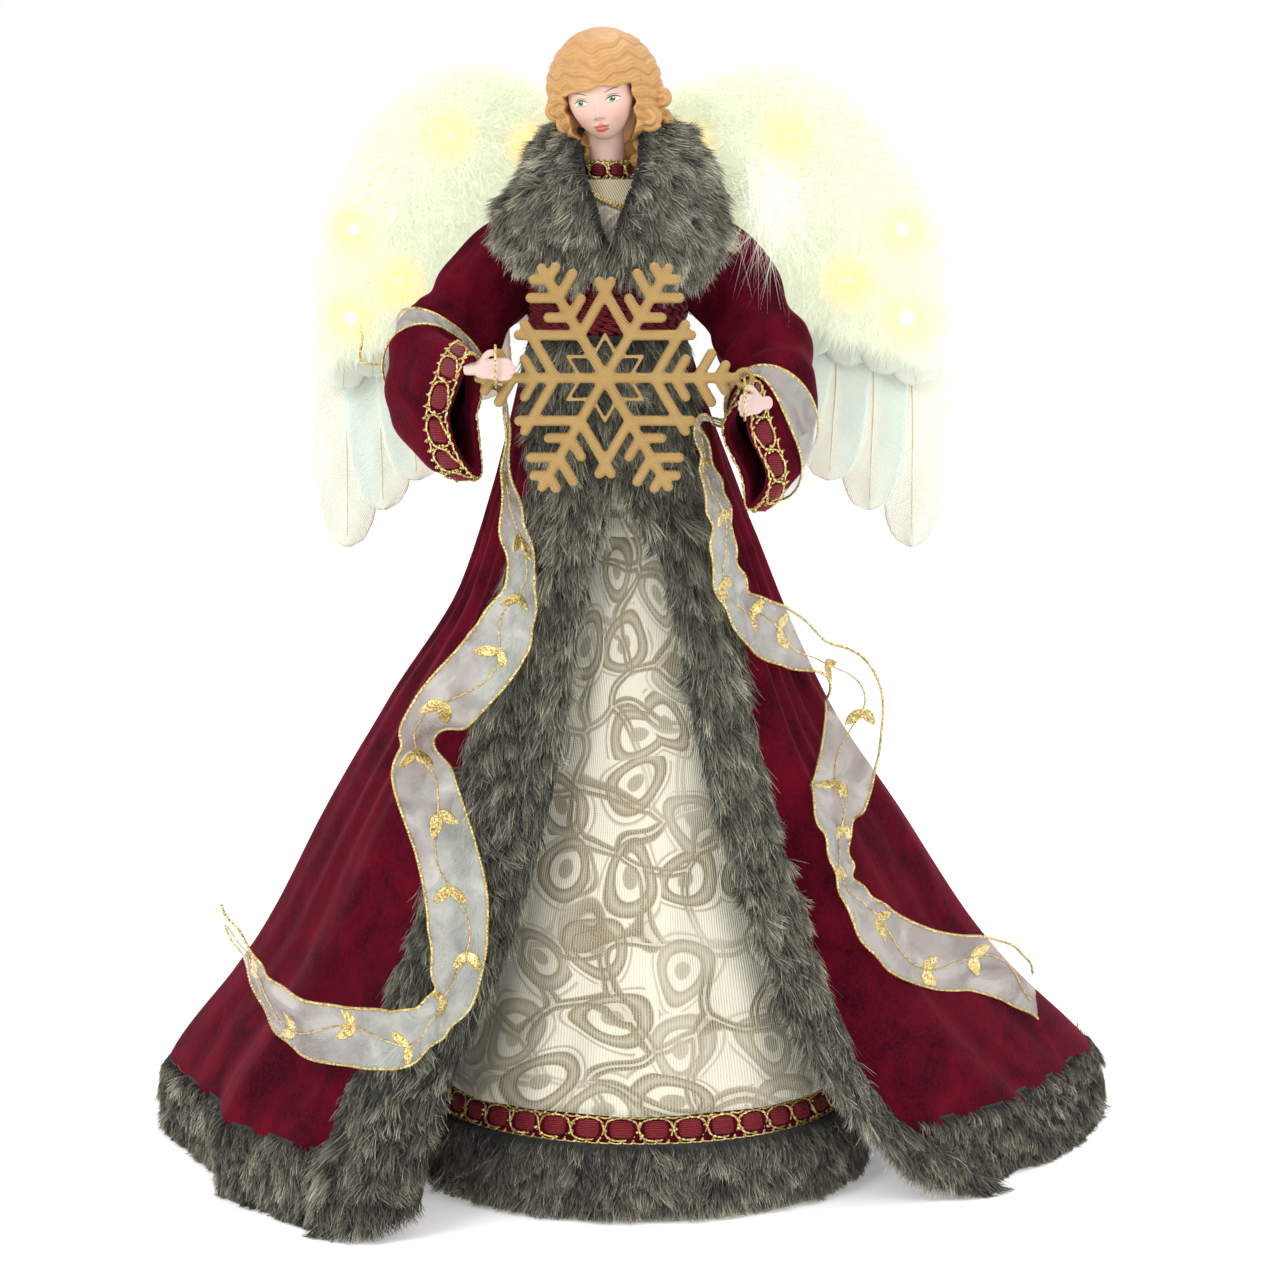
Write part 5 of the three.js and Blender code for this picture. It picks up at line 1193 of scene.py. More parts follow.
# Wings: places are shares, out from the hinge to the wing's reach and up from tips to arch
ARCH_SHARES = [
    (0.05, 0.9), (0.1, 0.94), (0.25, 0.985), (0.45, 1.0), (0.62, 0.955), (0.77, 0.865),
    (0.88, 0.76), (0.94, 0.66), (0.985, 0.5), (1.0, 0.36),
]
DOWN_FOOT_SHARES = [(0.05, 0.66), (0.3, 0.58), (0.6, 0.5), (0.96, 0.43)]
FEATHER_SHARES = [
    ((0.3, 0.74), (0.37, 0.52), (0.33, 0.32)), ((0.38, 0.76), (0.5, 0.5), (0.47, 0.23)),
    ((0.46, 0.79), (0.62, 0.5), (0.61, 0.145)), ((0.53, 0.82), (0.74, 0.5), (0.75, 0.08)),
    ((0.6, 0.85), (0.86, 0.5), (0.9, 0)),
]
LAMP_SHARES = [(0.12, 0.86), (0.455, 0.88), (0.84, 0.685), (0.66, 0.58), (0.86, 0.5)]
BLADE_SHARES = [(0, 0.3), (0.25, 0.8), (0.5, 1.0), (0.8, 0.98), (0.92, 0.8), (0.98, 0.5), (1, 0.1)]
# The loose barbs' roots, middles and tips, each with its spread, and the left light string's bare end
WISP_PLACES = (np.array([[0.04, 0.02, 0.352], [0.006, 0.003, 0.006]]),
               np.array([[0.045, -0.012, 0.349], [0.006, 0.004, 0.005]]),
               np.array([[0.048, -0.026, 0.326], [0.01, 0.004, 0.011]]))
STRING_END = [(-0.101, 0.026, 0.303), (-0.0984, 0.024, 0.297), (-0.099, 0.02, 0.288),
              (-0.0963, 0.018, 0.2865), (-0.09, 0.018, 0.286)]
FEATHER_LAYER = FEATHER_THICKNESS + FIT
FEATHERS_FRONT = COVERT_THICKNESS + FIT


def wing_point(side, out, up, depth):
    """A place on a wing, in the topper's frame."""
    sign = -1 if side == "left" else 1
    return stack(BODY_LEAN + sign * (HINGE_SPREAD + out * WING_REACH[side]), WING_DEPTH + depth,
                 WING_FOOT + up * WING_HEIGHT)


def lamp_places(side, depth):
    """The lamps of a wing at a depth, as an array."""
    return np.array([wing_point(side, out, up, depth) for out, up in LAMP_SHARES])


def glow_at(side, points, reach=0.01):
    """How strongly the lamps light a point: each lamp's share falls off with the distance."""
    lamps = lamp_places(side, -SOCKET_LENGTH - LAMP_LENGTH)
    gap = np.linalg.norm(points[..., None, :] - lamps, axis=-1)
    return np.clip(bell(gap, reach).sum(-1), 0, 1)


# Head: places in the head's own frame, before it is tilted, turned and set on the neck
FACE_CENTRE = np.array([0.0, -0.48 * HEAD_HALF_WIDTH, 0.0152])
FACE_SIZE = np.array([0.0113, 0.0115, 0.0152])
EYE_SPOT = (0.0056, 0.0146)
MOUTH_LEVEL = 0.0055
NOSE_LEVEL = 0.0098
FRINGE_LEVEL = 0.0182
CHEEK_SIDE, CHEEK_LEVEL, CHEEK_SPREAD = 0.006, 0.0092, 0.003
# Bumps of the face: x, z, spread in x, spread in z and height. Those off the middle come in pairs
FACE_BUMPS = [
    (0, NOSE_LEVEL, 0.00115, 0.0012, 0.0024), (0, NOSE_LEVEL + 0.0024, 0.001, 0.0026, 0.0012),
    (0.0014, NOSE_LEVEL - 0.0006, 0.0008, 0.0008, 0.0007), (0, MOUTH_LEVEL, 0.0032, 0.0022, 0.0007),
    (0, MOUTH_LEVEL + 0.0007, 0.0021, 0.0006, 0.0005), (0, MOUTH_LEVEL - 0.0008, 0.0018, 0.0007, 0.00055),
    (0, 0.0012, 0.0028, 0.002, 0.001), (*EYE_SPOT, 0.0026, 0.0018, -0.0009),
    (*EYE_SPOT, 0.0015, 0.001, 0.0007), (0.006, 0.0088, 0.003, 0.003, 0.0005),
]


# The hair: place from crown to nape, height as a share of the head's, then half width, front and
# back as shares of its half width; and the curls: x, y, z, size and way of coiling
HAIR_SHARES = [
    (0, 0.972, 0, 0, 0), (0.07, 0.944, 0.31, 0.33, 0.33), (0.15, 0.885, 0.54, 0.6, 0.57),
    (0.24, 0.795, 0.77, 0.87, 0.8), (0.34, 0.667, 0.95, 1.11, 0.95), (0.43, 0.551, 1.05, 1.22, 1.0),
    (0.52, 0.436, 1.08, 1.24, 1.0), (0.62, 0.308, 1.07, 1.18, 0.97), (0.72, 0.18, 1.02, 1.08, 0.93),
    (0.8, 0.077, 0.95, 0.98, 0.88), (0.87, 0, 0.8, 0.84, 0.75), (0.94, -0.064, 0.5, 0.5, 0.45), (1, -0.09, 0, 0, 0),
]
HAIR_CURLS = [
    (0.02, -0.0015, 0.0105, 0.0038, 1), (0.015, -0.006, 0.005, 0.005, -1),
    (-0.0172, -0.005, 0.0125, 0.004, -1), (-0.0138, -0.006, 0.007, 0.0042, 1),
    (0.0105, -0.003, -0.004, 0.0036, 1), (0.0078, -0.002, -0.0092, 0.003, -1),
    (-0.0098, -0.003, -0.0035, 0.0034, -1), (-0.0072, -0.002, -0.009, 0.0029, 1),
    (0.0176, 0.005, 0.002, 0.0045, 1), (-0.0176, 0.005, 0.004, 0.0045, -1),
    (0.01, 0.015, 0.0000, 0.005, 1), (-0.01, 0.015, 0.0000, 0.005, -1), (0, 0.0165, -0.003, 0.005, 1),
]


def face_relief(x, z):
    """How far the features stand forward: a sum of round bumps."""
    total = 0.0
    for aside, cz, wide, tall, height in FACE_BUMPS:
        for cx in (aside, -aside) if aside else (0,):
            total = total + height * np.exp(-((x - cx) / wide) ** 2 - ((z - cz) / tall) ** 2)
    return total


def jaw(lift):
    """The face narrows towards the chin."""
    return 1 - 0.24 * np.clip(-lift, 0, 1) ** 1.6


def face_front(x, z, off=0.0):
    """A point on the front of the face at (x, z)."""
    lift = (z - FACE_CENTRE[2]) / FACE_SIZE[2]
    ring = np.sqrt(np.maximum(1 - lift ** 2, 0))
    reach = np.sqrt(np.maximum(1 - (x / (FACE_SIZE[0] * ring * jaw(lift))) ** 2, 0))
    return stack(x, FACE_CENTRE[1] - FACE_SIZE[1] * ring * reach - face_relief(x, z) - off, z)


def turned_head(points):
    """Sets the head's own points in place: pitched, tilted, turned and moved onto the neck."""
    pitch, tilt, turn = (math.radians(angle) for angle in (HEAD_PITCH, HEAD_TILT, HEAD_TURN))
    x, y, z = np.moveaxis(np.asarray(points, float), -1, 0)
    y, z = y * math.cos(pitch) - z * math.sin(pitch), y * math.sin(pitch) + z * math.cos(pitch)
    x, z = x * math.cos(tilt) + z * math.sin(tilt), -x * math.sin(tilt) + z * math.cos(tilt)
    x, y = x * math.cos(turn) - y * math.sin(turn), x * math.sin(turn) + y * math.cos(turn)
    return stack(x + BODY_LEAN + HEAD_ASIDE, y, z + HEAD_BASE - HEAD_SINK)


class PhotoCamera(bpy.types.Operator):
    """Sets up the camera of the photograph, the floor and the soft light"""
    bl_idname = "topper.stage"
    bl_label = "Stage"

    def execute(self, context):
        lift = math.radians(CAMERA_ANGLE)
        data = bpy.data.cameras.new("photo_camera")
        data.sensor_width = 36
        data.lens = CAMERA_LENS
        data.clip_end = 20
        camera = bpy.data.objects.new("photo_camera", data)
        camera.location = (AIM[0], -CAMERA_DISTANCE * math.cos(lift), AIM[2] + CAMERA_DISTANCE * math.sin(lift))
        camera.rotation_euler = (math.pi / 2 - lift, 0, 0)
        context.scene.collection.objects.link(camera)
        context.scene.camera = camera
        context.scene.view_settings.view_transform = "Standard"
        floor = Surface().grid(stack(*grid_of([-3.0, 3.0], [-3.0, 3.0]), 0)).build("floor")
        paper = Finish("Floor paper", roughness=0.9, specular_ior_level=0.1)
        grain = paper.noise(paper.place(), 3, 2)
        paper.base(paper.ramp(grain, (0.3, tint(247, 247, 247)), (0.7, tint(250, 250, 250))))
        paper.set("emission color", (1, 1, 1, 1)).set("emission strength", 0.3)
        floor.data.materials.append(paper.material)
        world = bpy.data.worlds.new("studio")
        world.use_nodes = True
        sky = world.node_tree.nodes["Background"].inputs
        sky[0].default_value, sky[1].default_value = (1, 1, 1, 1), 1.0
        context.scene.world = world
        for name, place, aim_turn, size, power in (
                ("key_light", (-0.9, -1.2, 1.3), (math.radians(52), 0, math.radians(-36)), 0.7, 12),
                ("fill_light", (1.1, -1.0, 0.7), (math.radians(68), 0, math.radians(48)), 0.7, 4),
                ("top_light", (0.2, 0.6, 1.5), (math.radians(-24), 0, 0), 0.8, 6)):
            light = bpy.data.lights.new(name, "AREA")
            light.size = size
            light.energy = power
            lamp = bpy.data.objects.new(name, light)
            lamp.location = place
            lamp.rotation_euler = aim_turn
            context.scene.collection.objects.link(lamp)
        return {"FINISHED"}


class RobeCloth(bpy.types.Operator):
    """Makes the velvet robe's skirt and bodice"""
    bl_idname = "topper.robe"
    bl_label = "Robe"

    def execute(self, context):
        face = lambda s, t: cloth_at(t, s * (HEM_FUR_TOP + 0.02), 0.0, 0.0012)
        skirt = sheet_between(face, 90, 300).build("robe_skirt")
        dress(skirt, "velvet", nodes=["robe_skirt"])
        thicken(skirt, VELVET, 0.0)
        foot, top = WAIST_BRAID_SHARES[0], 0.97

        def bodice(s, t):
            level = mix(foot, top, s)
            gap = 0.13 * np.clip((level - NECKLINE_FOOT) / (top - NECKLINE_FOOT), 0, 1)
            return torso_at(mix(gap, 1 - gap, t), level, ROBE_LAYER + 0.0004 * wander(3, s * 3, t * 9))
        vest = sheet_between(bodice, 40, 90).build("robe_bodice")
        dress(vest, "velvet", nodes=["robe_bodice"])
        thicken(vest, VELVET, -1.0)
        return {"FINISHED"}


class RobeFur(bpy.types.Operator):
    """Makes the robe's front strips and hem of fur"""
    bl_idname = "topper.robe_fur"
    bl_label = "Robe fur"

    def execute(self, context):
        for side, seed in (("left", 21), ("right", 22)):
            at = front_strip_at(side)
            over = lambda s, t: FUR_OUTER * 0.45 * swell(t)
            fur_strip(f"{side}_front_fur", at, over, lambda s, t: -FUR_INNER * swell(t), 90, 9)
            sign = -1 if side == "left" else 1
            comb = lambda s, t, root: stack(sign * 0.35 * (t - 0.35), 0 * t, -1 + 0 * t)
            fur_pile(f"{side}_front_fur_hair", at, over, comb, 56000, seed, (70, 9))
        over = lambda s, t: FUR_OUTER * 0.45 * swell(t)
        fur_strip("robe_hem_fur", hem_at, over, lambda s, t: -FUR_INNER * swell(t), 300, 8)
        for index in range(3):
            at = lambda s, t, off, index=index: hem_at((index + s) / 3, t, off)
            fur_pile(f"robe_hem_fur_hair_{index + 1}", at, over, downwards, 42000, 31 + index, (60, 6), 0.72, 0.4)
        return {"FINISHED"}


class Gown(bpy.types.Operator):
    """Makes the gown's skirt, bodice, hem braid and hem fur, and the cone inside"""
    bl_idname = "topper.gown"
    bl_label = "Gown"

    def execute(self, context):
        foot = GOWN_BRAID_TOP + FIT
        girth = FULL_TURN * (CONE_RADIUS + CONE_TOP_RADIUS) / 2

        def skirt(s, t, off):
            soft = 0.0009 * (1 - t) * wander(7, np.sin(FULL_TURN * s) * 2, np.cos(FULL_TURN * s) * 2, t * 2)
            return cone_at(s + 0.5, mix(foot, CONE_HEIGHT, t), off + np.where(off > 0.0009, soft, 0), GOWN_PLEAT)
        shape = Surface().slab(skirt, even(240, True), even(60), flat(FIT * 2), flat(FIT + BROCADE + GOWN_PLEAT),
                               True, (girth, CONE_HEIGHT - foot))
        gown = dress(shape.build("gown_skirt"), "brocade", nodes=["gown_skirt"])

        def front(s, t):
            level = mix(-0.02, 0.985, s)
            return torso_at(t + 0.5, level, BODY_LAYER + 0.0018 * np.exp(-np.maximum(level, 0) / 0.08))
        s, t = grid_of(np.arange(96) / 96, even(60))
        bodice = Surface().grid(front(t, s), wrap_rows=True, uv_size=(0.16, TORSO_LENGTH), flip=True)
        bodice = bodice.build("gown_bodice")
        dress(bodice, "brocade", nodes=["gown_bodice"])
        thicken(bodice, BROCADE * 0.8, -1.0)

        def yoke(s, t, off):
            foot = 0.927 + np.where(s < 0.61, 0.144 * (0.61 - s), 0.094 * (s - 0.61))
            return torso_at(mix(-0.11, 0.11, s), mix(0.999, foot, t), BODY_LAYER + off)
        net = Surface().slab(yoke, even(40), even(12), flat(0.0002), flat(0.001))
        dress(net.build("neckline_net"), "net")
        run = np.linspace(0.02, 0.98, 200)
        trim = Surface()
        for across, phase in ((0.94, 0), (1.02, 2), (1.1, 4)):
            bead = 0.00042 * (1 + 0.45 * np.sin(run * 260 + phase))
            trim.tubes(yoke(run, across + 0.02 * np.sin(run * 90 + phase), 0.0013 + 0 * run), bead, 6)
        dress(trim.build("neckline_gold"), "glitter")

        at = lambda s, t, off: cone_at(s, mix(GOWN_BRAID_TOP, GOWN_FUR_TOP + FIT, t), FIT + off)
        length = FULL_TURN * (CONE_RADIUS - 0.006)
        band_braid("gown_hem_braid", at, length, HEM_PITCH)

        over = lambda s, t: FIT + 0.6 * GOWN_FUR_THICKNESS * swell(t)
        fur_strip("gown_hem_fur", gown_fur_at, over, flat(FIT), 160, 8, True)
        fur_pile("gown_hem_fur_hair", gown_fur_at, over, downwards, 60000, 41, (90, 6), 0.8)

        wall = [(CONE_RADIUS, 0), (CONE_TOP_RADIUS, CONE_HEIGHT), (CONE_TOP_RADIUS - CONE_WALL, CONE_HEIGHT),
                (CONE_RADIUS - CONE_WALL, CONE_RIM_HEIGHT), (CONE_RADIUS - CONE_RIM_WIDTH, CONE_RIM_HEIGHT),
                (CONE_RADIUS - CONE_RIM_WIDTH, 0)]
        turn = turns(128)
        radius, level = np.array(wall).T
        spots = stack(radius * np.sin(turn)[:, None], -radius * np.cos(turn)[:, None], level)
        cone = Surface().grid(spots, True, True, flip=True).build("tree_cone", smooth=False)
        dress(cone, "card", nodes=["tree_cone"])
        return {"FINISHED"}


class Collar(bpy.types.Operator):
    """Makes the fur collar"""
    bl_idname = "topper.collar"
    bl_label = "Fur collar"

    def execute(self, context):
        over = lambda s, t: 0.7 * collar_over(s, t)
        fur_strip("fur_collar", collar_at, over, flat(-FUR_INNER), 90, 14)

        def comb(s, t, root):
            away = collar_at(s, np.ones_like(t), 0 * t) - collar_at(s, np.zeros_like(t), 0 * t)
            return 0.25 * unit(away) + stack(0 * t, 0 * t, -1 + 0 * t)
        inside = lambda s, t, off: collar_at(s, 1.0 * t - 0.12, off)
        fur_pile("fur_collar_hair", inside, lambda s, t: over(s, np.clip(t - 0.12, 0, 1)), comb, 76000, 51,
                 (60, 12), lambda s: 1.1 - 0.65 * bell(s - 0.5, 0.16), 0.45)
        return {"FINISHED"}


class Sleeves(bpy.types.Operator):
    """Makes the velvet sleeves and their cuff braids"""
    bl_idname = "topper.sleeves"
    bl_label = "Sleeves"

    def execute(self, context):
        for side, seed in (("left", 61), ("right", 62)):
            def face(s, t):
                share = mix(0.06, 1, s)
                angle = FULL_TURN * t
                gather = 0.001 * np.exp(-share * 5) * np.sin(13 * angle)
                bend = bell(share - 0.58, 0.2)
                crease = 0.0015 * bend * np.sin(FULL_TURN * (5.5 * share + 0.35 * np.sin(angle)))
                soft = 0.0012 * wander(seed, share * 1.4, np.sin(angle) * 0.6, np.cos(angle) * 0.6)
                edge = np.clip((1 - share) * 9, 0, 1)
                return sleeve_at(side, share, t, (gather + crease + soft) * edge)
            shape = sheet_between(face, 110, 120, True).build(f"{side}_sleeve")
            dress(shape, "velvet", nodes=[f"{side}_sleeve"])
            thicken(shape, VELVET, -1.0)
            run = np.linspace(*ARM_WIRE_SPAN, 80)
            lift = ARM_WIRE_LIFT * np.clip((run - 0.55) / 0.3, 0, 1) ** 2
            core = SLEEVE_ROUTES[side].at(run) + stack(0 * run, 0 * run, lift)
            wire = Surface().tubes(core, ARM_WIRE_RADIUS, 8).build(f"{side}_arm_wire")
            dress(wire, "steel", nodes=[f"{side}_arm_wire"])
            start = 1 - CUFF_BRAID_WIDTH / SLEEVE_ROUTES[side].length
            at = lambda s, t, off: sleeve_at(side, mix(start, 1, t), s, off + 0.0002)
            band_braid(f"{side}_cuff_braid", at, CUFF_GIRTH, CUFF_PITCH)
        return {"FINISHED"}


class Braids(bpy.types.Operator):
    """Makes the waist and neck braids"""
    bl_idname = "topper.braids"
    bl_label = "Waist and neck braids"

    def execute(self, context):
        foot, top = WAIST_BRAID_SHARES
        at = lambda s, t, off: torso_at(s, mix(top, foot, t), ROBE_LAYER + FIT + off)
        base = Surface().slab(at, even(200, True), even(9), flat(0.0), flat(0.0006), True)
        dress(base.build("waist_braid"), "velvet", nodes=["waist_braid"])
        loops = Surface()
        s = np.arange(1400) / 1400
        for row in range(5):
            middle = (row + 0.5) / 5
            for phase in (0, math.pi):
                swing = FULL_TURN * 17 * s + phase + 1.1 * row
                path = at(s + 0.012 * np.sin(2 * swing), middle + 0.1 * np.sin(swing),
                          0.001 + 0.0007 * np.cos(swing + 0.6) + 0.0002 * np.sin(41 * s))
                loops.tubes(path, 0.0008, 6, closed=True)
        dress(loops.build("waist_braid_loops"), "braid")

        def neck(s, t, off):
            angle = FULL_TURN * s
            radius = mix(NECK_RADIUS + FIT + 0.0009, NECK_BRAID_REACH - 0.0009, t) + off
            return stack(BODY_LEAN + radius * np.sin(angle), -radius * np.cos(angle),
                         TORSO_TOP + FIT + NECK_BRAID_WIDTH * (1 - t))
        band_braid("neck_braid", neck, NECK_GIRTH, NECK_PITCH)
        return {"FINISHED"}


def tie_threads():
    """Closed loops of gold thread in an upright plane, through places of y and z."""
    room = THREAD_RADIUS + FIT
    bar_room = FLAKE_BAR / 2 + room + FIT
    plane, level = FLAKE_CENTRE[1], FLAKE_CENTRE[2]
    slack = FLAKE_THICKNESS / 2 + SWING_GAP / 2 + room
    centre, turn = HANDS["left"]
    tie = FLAKE_CENTRE[0] - BRANCH_SHARES[-1][0] * FLAKE_RADIUS + TIE_INSET
    near = centre[1] + (tie - centre[0]) / math.cos(turn) * math.sin(turn)
    left = (tie, [
        (near - PALM_THICKNESS / 2 - 2 * room, centre[2]),
        (near - PALM_THICKNESS / 2 - room, centre[2] + PALM_WIDTH / 2 + 3 * room),
        (near, centre[2] + PALM_WIDTH / 2 + 6 * room), (plane - slack, centre[2]),
        (plane, level + bar_room + TIE_SLACK), (plane + slack, level + FLAKE_BAR / 2),
        (plane + slack, level - FLAKE_BAR / 2), (plane, level - bar_room - TIE_SLACK),
        (near, centre[2] - PALM_WIDTH / 2 - 2 * room)])
    eye = FLAKE_CENTRE + spoke(0, EYE_REACH)
    centre, turn = HANDS["right"]
    near = centre[1] + (eye[0] - centre[0]) / math.cos(turn) * math.sin(turn)
    deep = PALM_THICKNESS / 2 / abs(math.cos(turn))
    right = (eye[0], [
        (near - deep - 2 * room, centre[2]), (near - room, centre[2] + PALM_WIDTH / 2 + 4 * room),
        (plane, eye[2]), (plane + slack, eye[2] - room), (plane + slack + room, eye[2] - FLAKE_EYE_RADIUS),
        (plane, eye[2] - FLAKE_EYE_RADIUS - bar_room), (near, centre[2] - PALM_WIDTH / 2 - 2 * room)])
    for name, (x, places) in (("left_tie_thread", left), ("right_tie_thread", right)):
        route = Route([(x, y, z) for y, z in places], closed=True)
        shape = Surface()
        twisted(shape, route, even(90, True), RIGHT, 14, 0.5 * THREAD_RADIUS, THREAD_RADIUS * 0.6, True)
        dress(shape.build(name), "glitter", nodes=[name])


class Snowflake(bpy.types.Operator):
    """Makes the moulded snowflake and the threads that tie it"""
    bl_idname = "topper.snowflake"
    bl_label = "Snowflake"

    def execute(self, context):
        bars, fine = [], []
        sixth = math.pi / 3
        star = ARM_STAR_SHARE * FLAKE_RADIUS
        feet = [(star, star + 1.7 * FLAKE_BAR)] + [(a * FLAKE_RADIUS, b * FLAKE_RADIUS) for a, b in BRANCH_SHARES]
        for angle in sixth * np.arange(6):
            bars.append((spoke(angle, 0), spoke(angle, FLAKE_RADIUS - FLAKE_BAR / 2)))
            for way in (-1, 1):
                for foot, length in feet:
                    start = spoke(angle, foot)
                    bars.append((start, start + spoke(angle + way * sixth, length - FLAKE_BAR / 2)))
                fine.append((spoke(angle, INNER_VALLEY_SHARE * FLAKE_RADIUS),
                             spoke(angle + way * sixth / 2, INNER_POINT_SHARE * FLAKE_RADIUS)))
        eye = spoke(0, EYE_REACH)
        bars.append((spoke(0, FLAKE_RADIUS - FLAKE_BAR), spoke(0, FLAKE_RADIUS)))
        shape = Surface()
        steps = np.array([-1.0, -0.93, -0.75, -0.4, 0, 1, 1.4, 1.75, 1.93, 2.0])
        for pairs, radius, squeeze in ((bars, 0.55 * FLAKE_BAR, FLAKE_THICKNESS / FLAKE_BAR),
                                       (fine, FLAKE_FINE_BAR / 2, 1.0)):
            start, end = (np.array([pair[i] for pair in pairs]) for i in (0, 1))
            way = unit(end - start)
            beyond = np.clip(steps, None, 0) + np.clip(steps - 1, 0, None)
            share = np.clip(steps, 0, 1)
            paths = (mix(start[:, None], end[:, None], share[None, :, None])
                     + way[:, None] * (beyond * radius)[None, :, None])
            size = radius * np.sqrt(np.maximum(1 - beyond ** 2, 0.0004))
            shape.tubes(paths, size, 12, up=BACK, squeeze=squeeze)
        turn = turns(40)
        middle = (FLAKE_EYE_RADIUS + FLAKE_EYE_HOLE) / 2
        ring = eye + stack(middle * np.cos(turn), 0 * turn, middle * np.sin(turn))
        shape.tubes(ring, (FLAKE_EYE_RADIUS - FLAKE_EYE_HOLE) / 2, 12, up=BACK, closed=True)
        for part in shape.points:
            part += FLAKE_CENTRE
        made = melt(shape.build("snowflake"), 0.0004, 3)
        dress(made, "gold", "snowflake", ["snowflake"])
        tie_threads()
        return {"FINISHED"}


def painted_face():
    """Thin painted shapes that follow the face: s runs along each and t across it."""
    def patch(name, strokes, shade, second):
        shape = Surface()
        for line, width in strokes:
            at = lambda s, t, off: turned_head(face_front(
                line(s)[0], line(s)[1] + (t - 0.5) * width(s), off))
            shape.slab(at, np.linspace(0.01, 0.99, 24), even(9), flat(-0.00006), flat(0.00007))
        finishes[name] = paint(name, shade, second)(None)
        return dress(shape.build(name), name)
    ex, ez = EYE_SPOT
    thin = lambda size, power=0.5: lambda s: size * np.sin(np.pi * s) ** power
    whites, irises, pupils, lashes, glints, brows = [], [], [], [], [], []
    for sign in (-1, 1):
        line = lambda reach, lift, arch, sign=sign: (
            lambda s: (sign * ex + (s - 0.5) * reach, ez + lift + arch * np.sin(np.pi * s)))
        disc = lambda size, tall, dx=0.0, dz=0.0, sign=sign: (
            lambda s: (sign * ex - 0.0002 + dx + (s - 0.5) * size, ez + dz + 0 * s),
            lambda s: tall * np.sqrt(np.maximum(1 - (2 * s - 1) ** 2, 0.02)))
        whites.append((line(0.0046, -0.0001, 0), thin(0.0019, 0.7)))
        irises.append(disc(0.0023, 0.0019, 0, 0.0001))
        pupils.append(disc(0.0012, 0.0011, 0, 0.0002))
        glints.append(disc(0.0004, 0.0004, 0.0004, 0.0005))
        lashes.append((line(0.0054, 0.0001, 0.00095), thin(0.0005)))
        lashes.append((line(0.0044, 0.0012, 0.0005), thin(0.0002)))
        lashes.append((line(0.0034, -0.0009, -0.0001), thin(0.00016)))
        brows.append((lambda s, sign=sign: (sign * (0.003 + 0.0052 * s), ez + 0.0026 + 0.001 * np.sin(2.2 * s)),
                      thin(0.0004, 0.6)))
    patch("eye_whites", whites, tint(226, 222, 212), tint(214, 214, 206))
    patch("irises", irises, tint(52, 128, 34), tint(24, 78, 22))
    patch("pupils", pupils, tint(8, 12, 8), tint(14, 18, 12))
    patch("eye_glints", glints, tint(255, 255, 255), tint(240, 246, 240))
    patch("lashes", lashes, tint(40, 26, 18), tint(60, 40, 28))
    patch("brows", brows, tint(96, 62, 36), tint(120, 80, 48))
    bow = lambda s: (0.0028 * (2 * s - 1), MOUTH_LEVEL + 0.0006 + 0.0003 * np.cos(3.2 * np.pi * (s - 0.5)))
    lower = lambda s: (0.0024 * (2 * s - 1), MOUTH_LEVEL - 0.0007 - 0.0003 * np.sin(np.pi * s))
    patch("lips", [(bow, thin(0.0012, 0.6)), (lower, thin(0.0014, 0.6))], tint(214, 104, 88), tint(202, 90, 78))
    seam = lambda s: (0.0027 * (2 * s - 1), MOUTH_LEVEL + 0.0001 * np.cos(3 * np.pi * (s - 0.5)))
    patch("mouth_line", [(seam, thin(0.0002))], tint(150, 50, 46), tint(140, 44, 40))
    # Painted shade of the nostrils: two small brownish marks under the nose
    nostril_shade = [(lambda s, sign=sign: (sign * (0.0006 + 0.0011 * s), NOSE_LEVEL - 0.0013 + 0.0003 * s),
                 thin(0.0004)) for sign in (-1, 1)]
    patch("nostril_shade", nostril_shade, tint(196, 140, 120), tint(186, 130, 112))


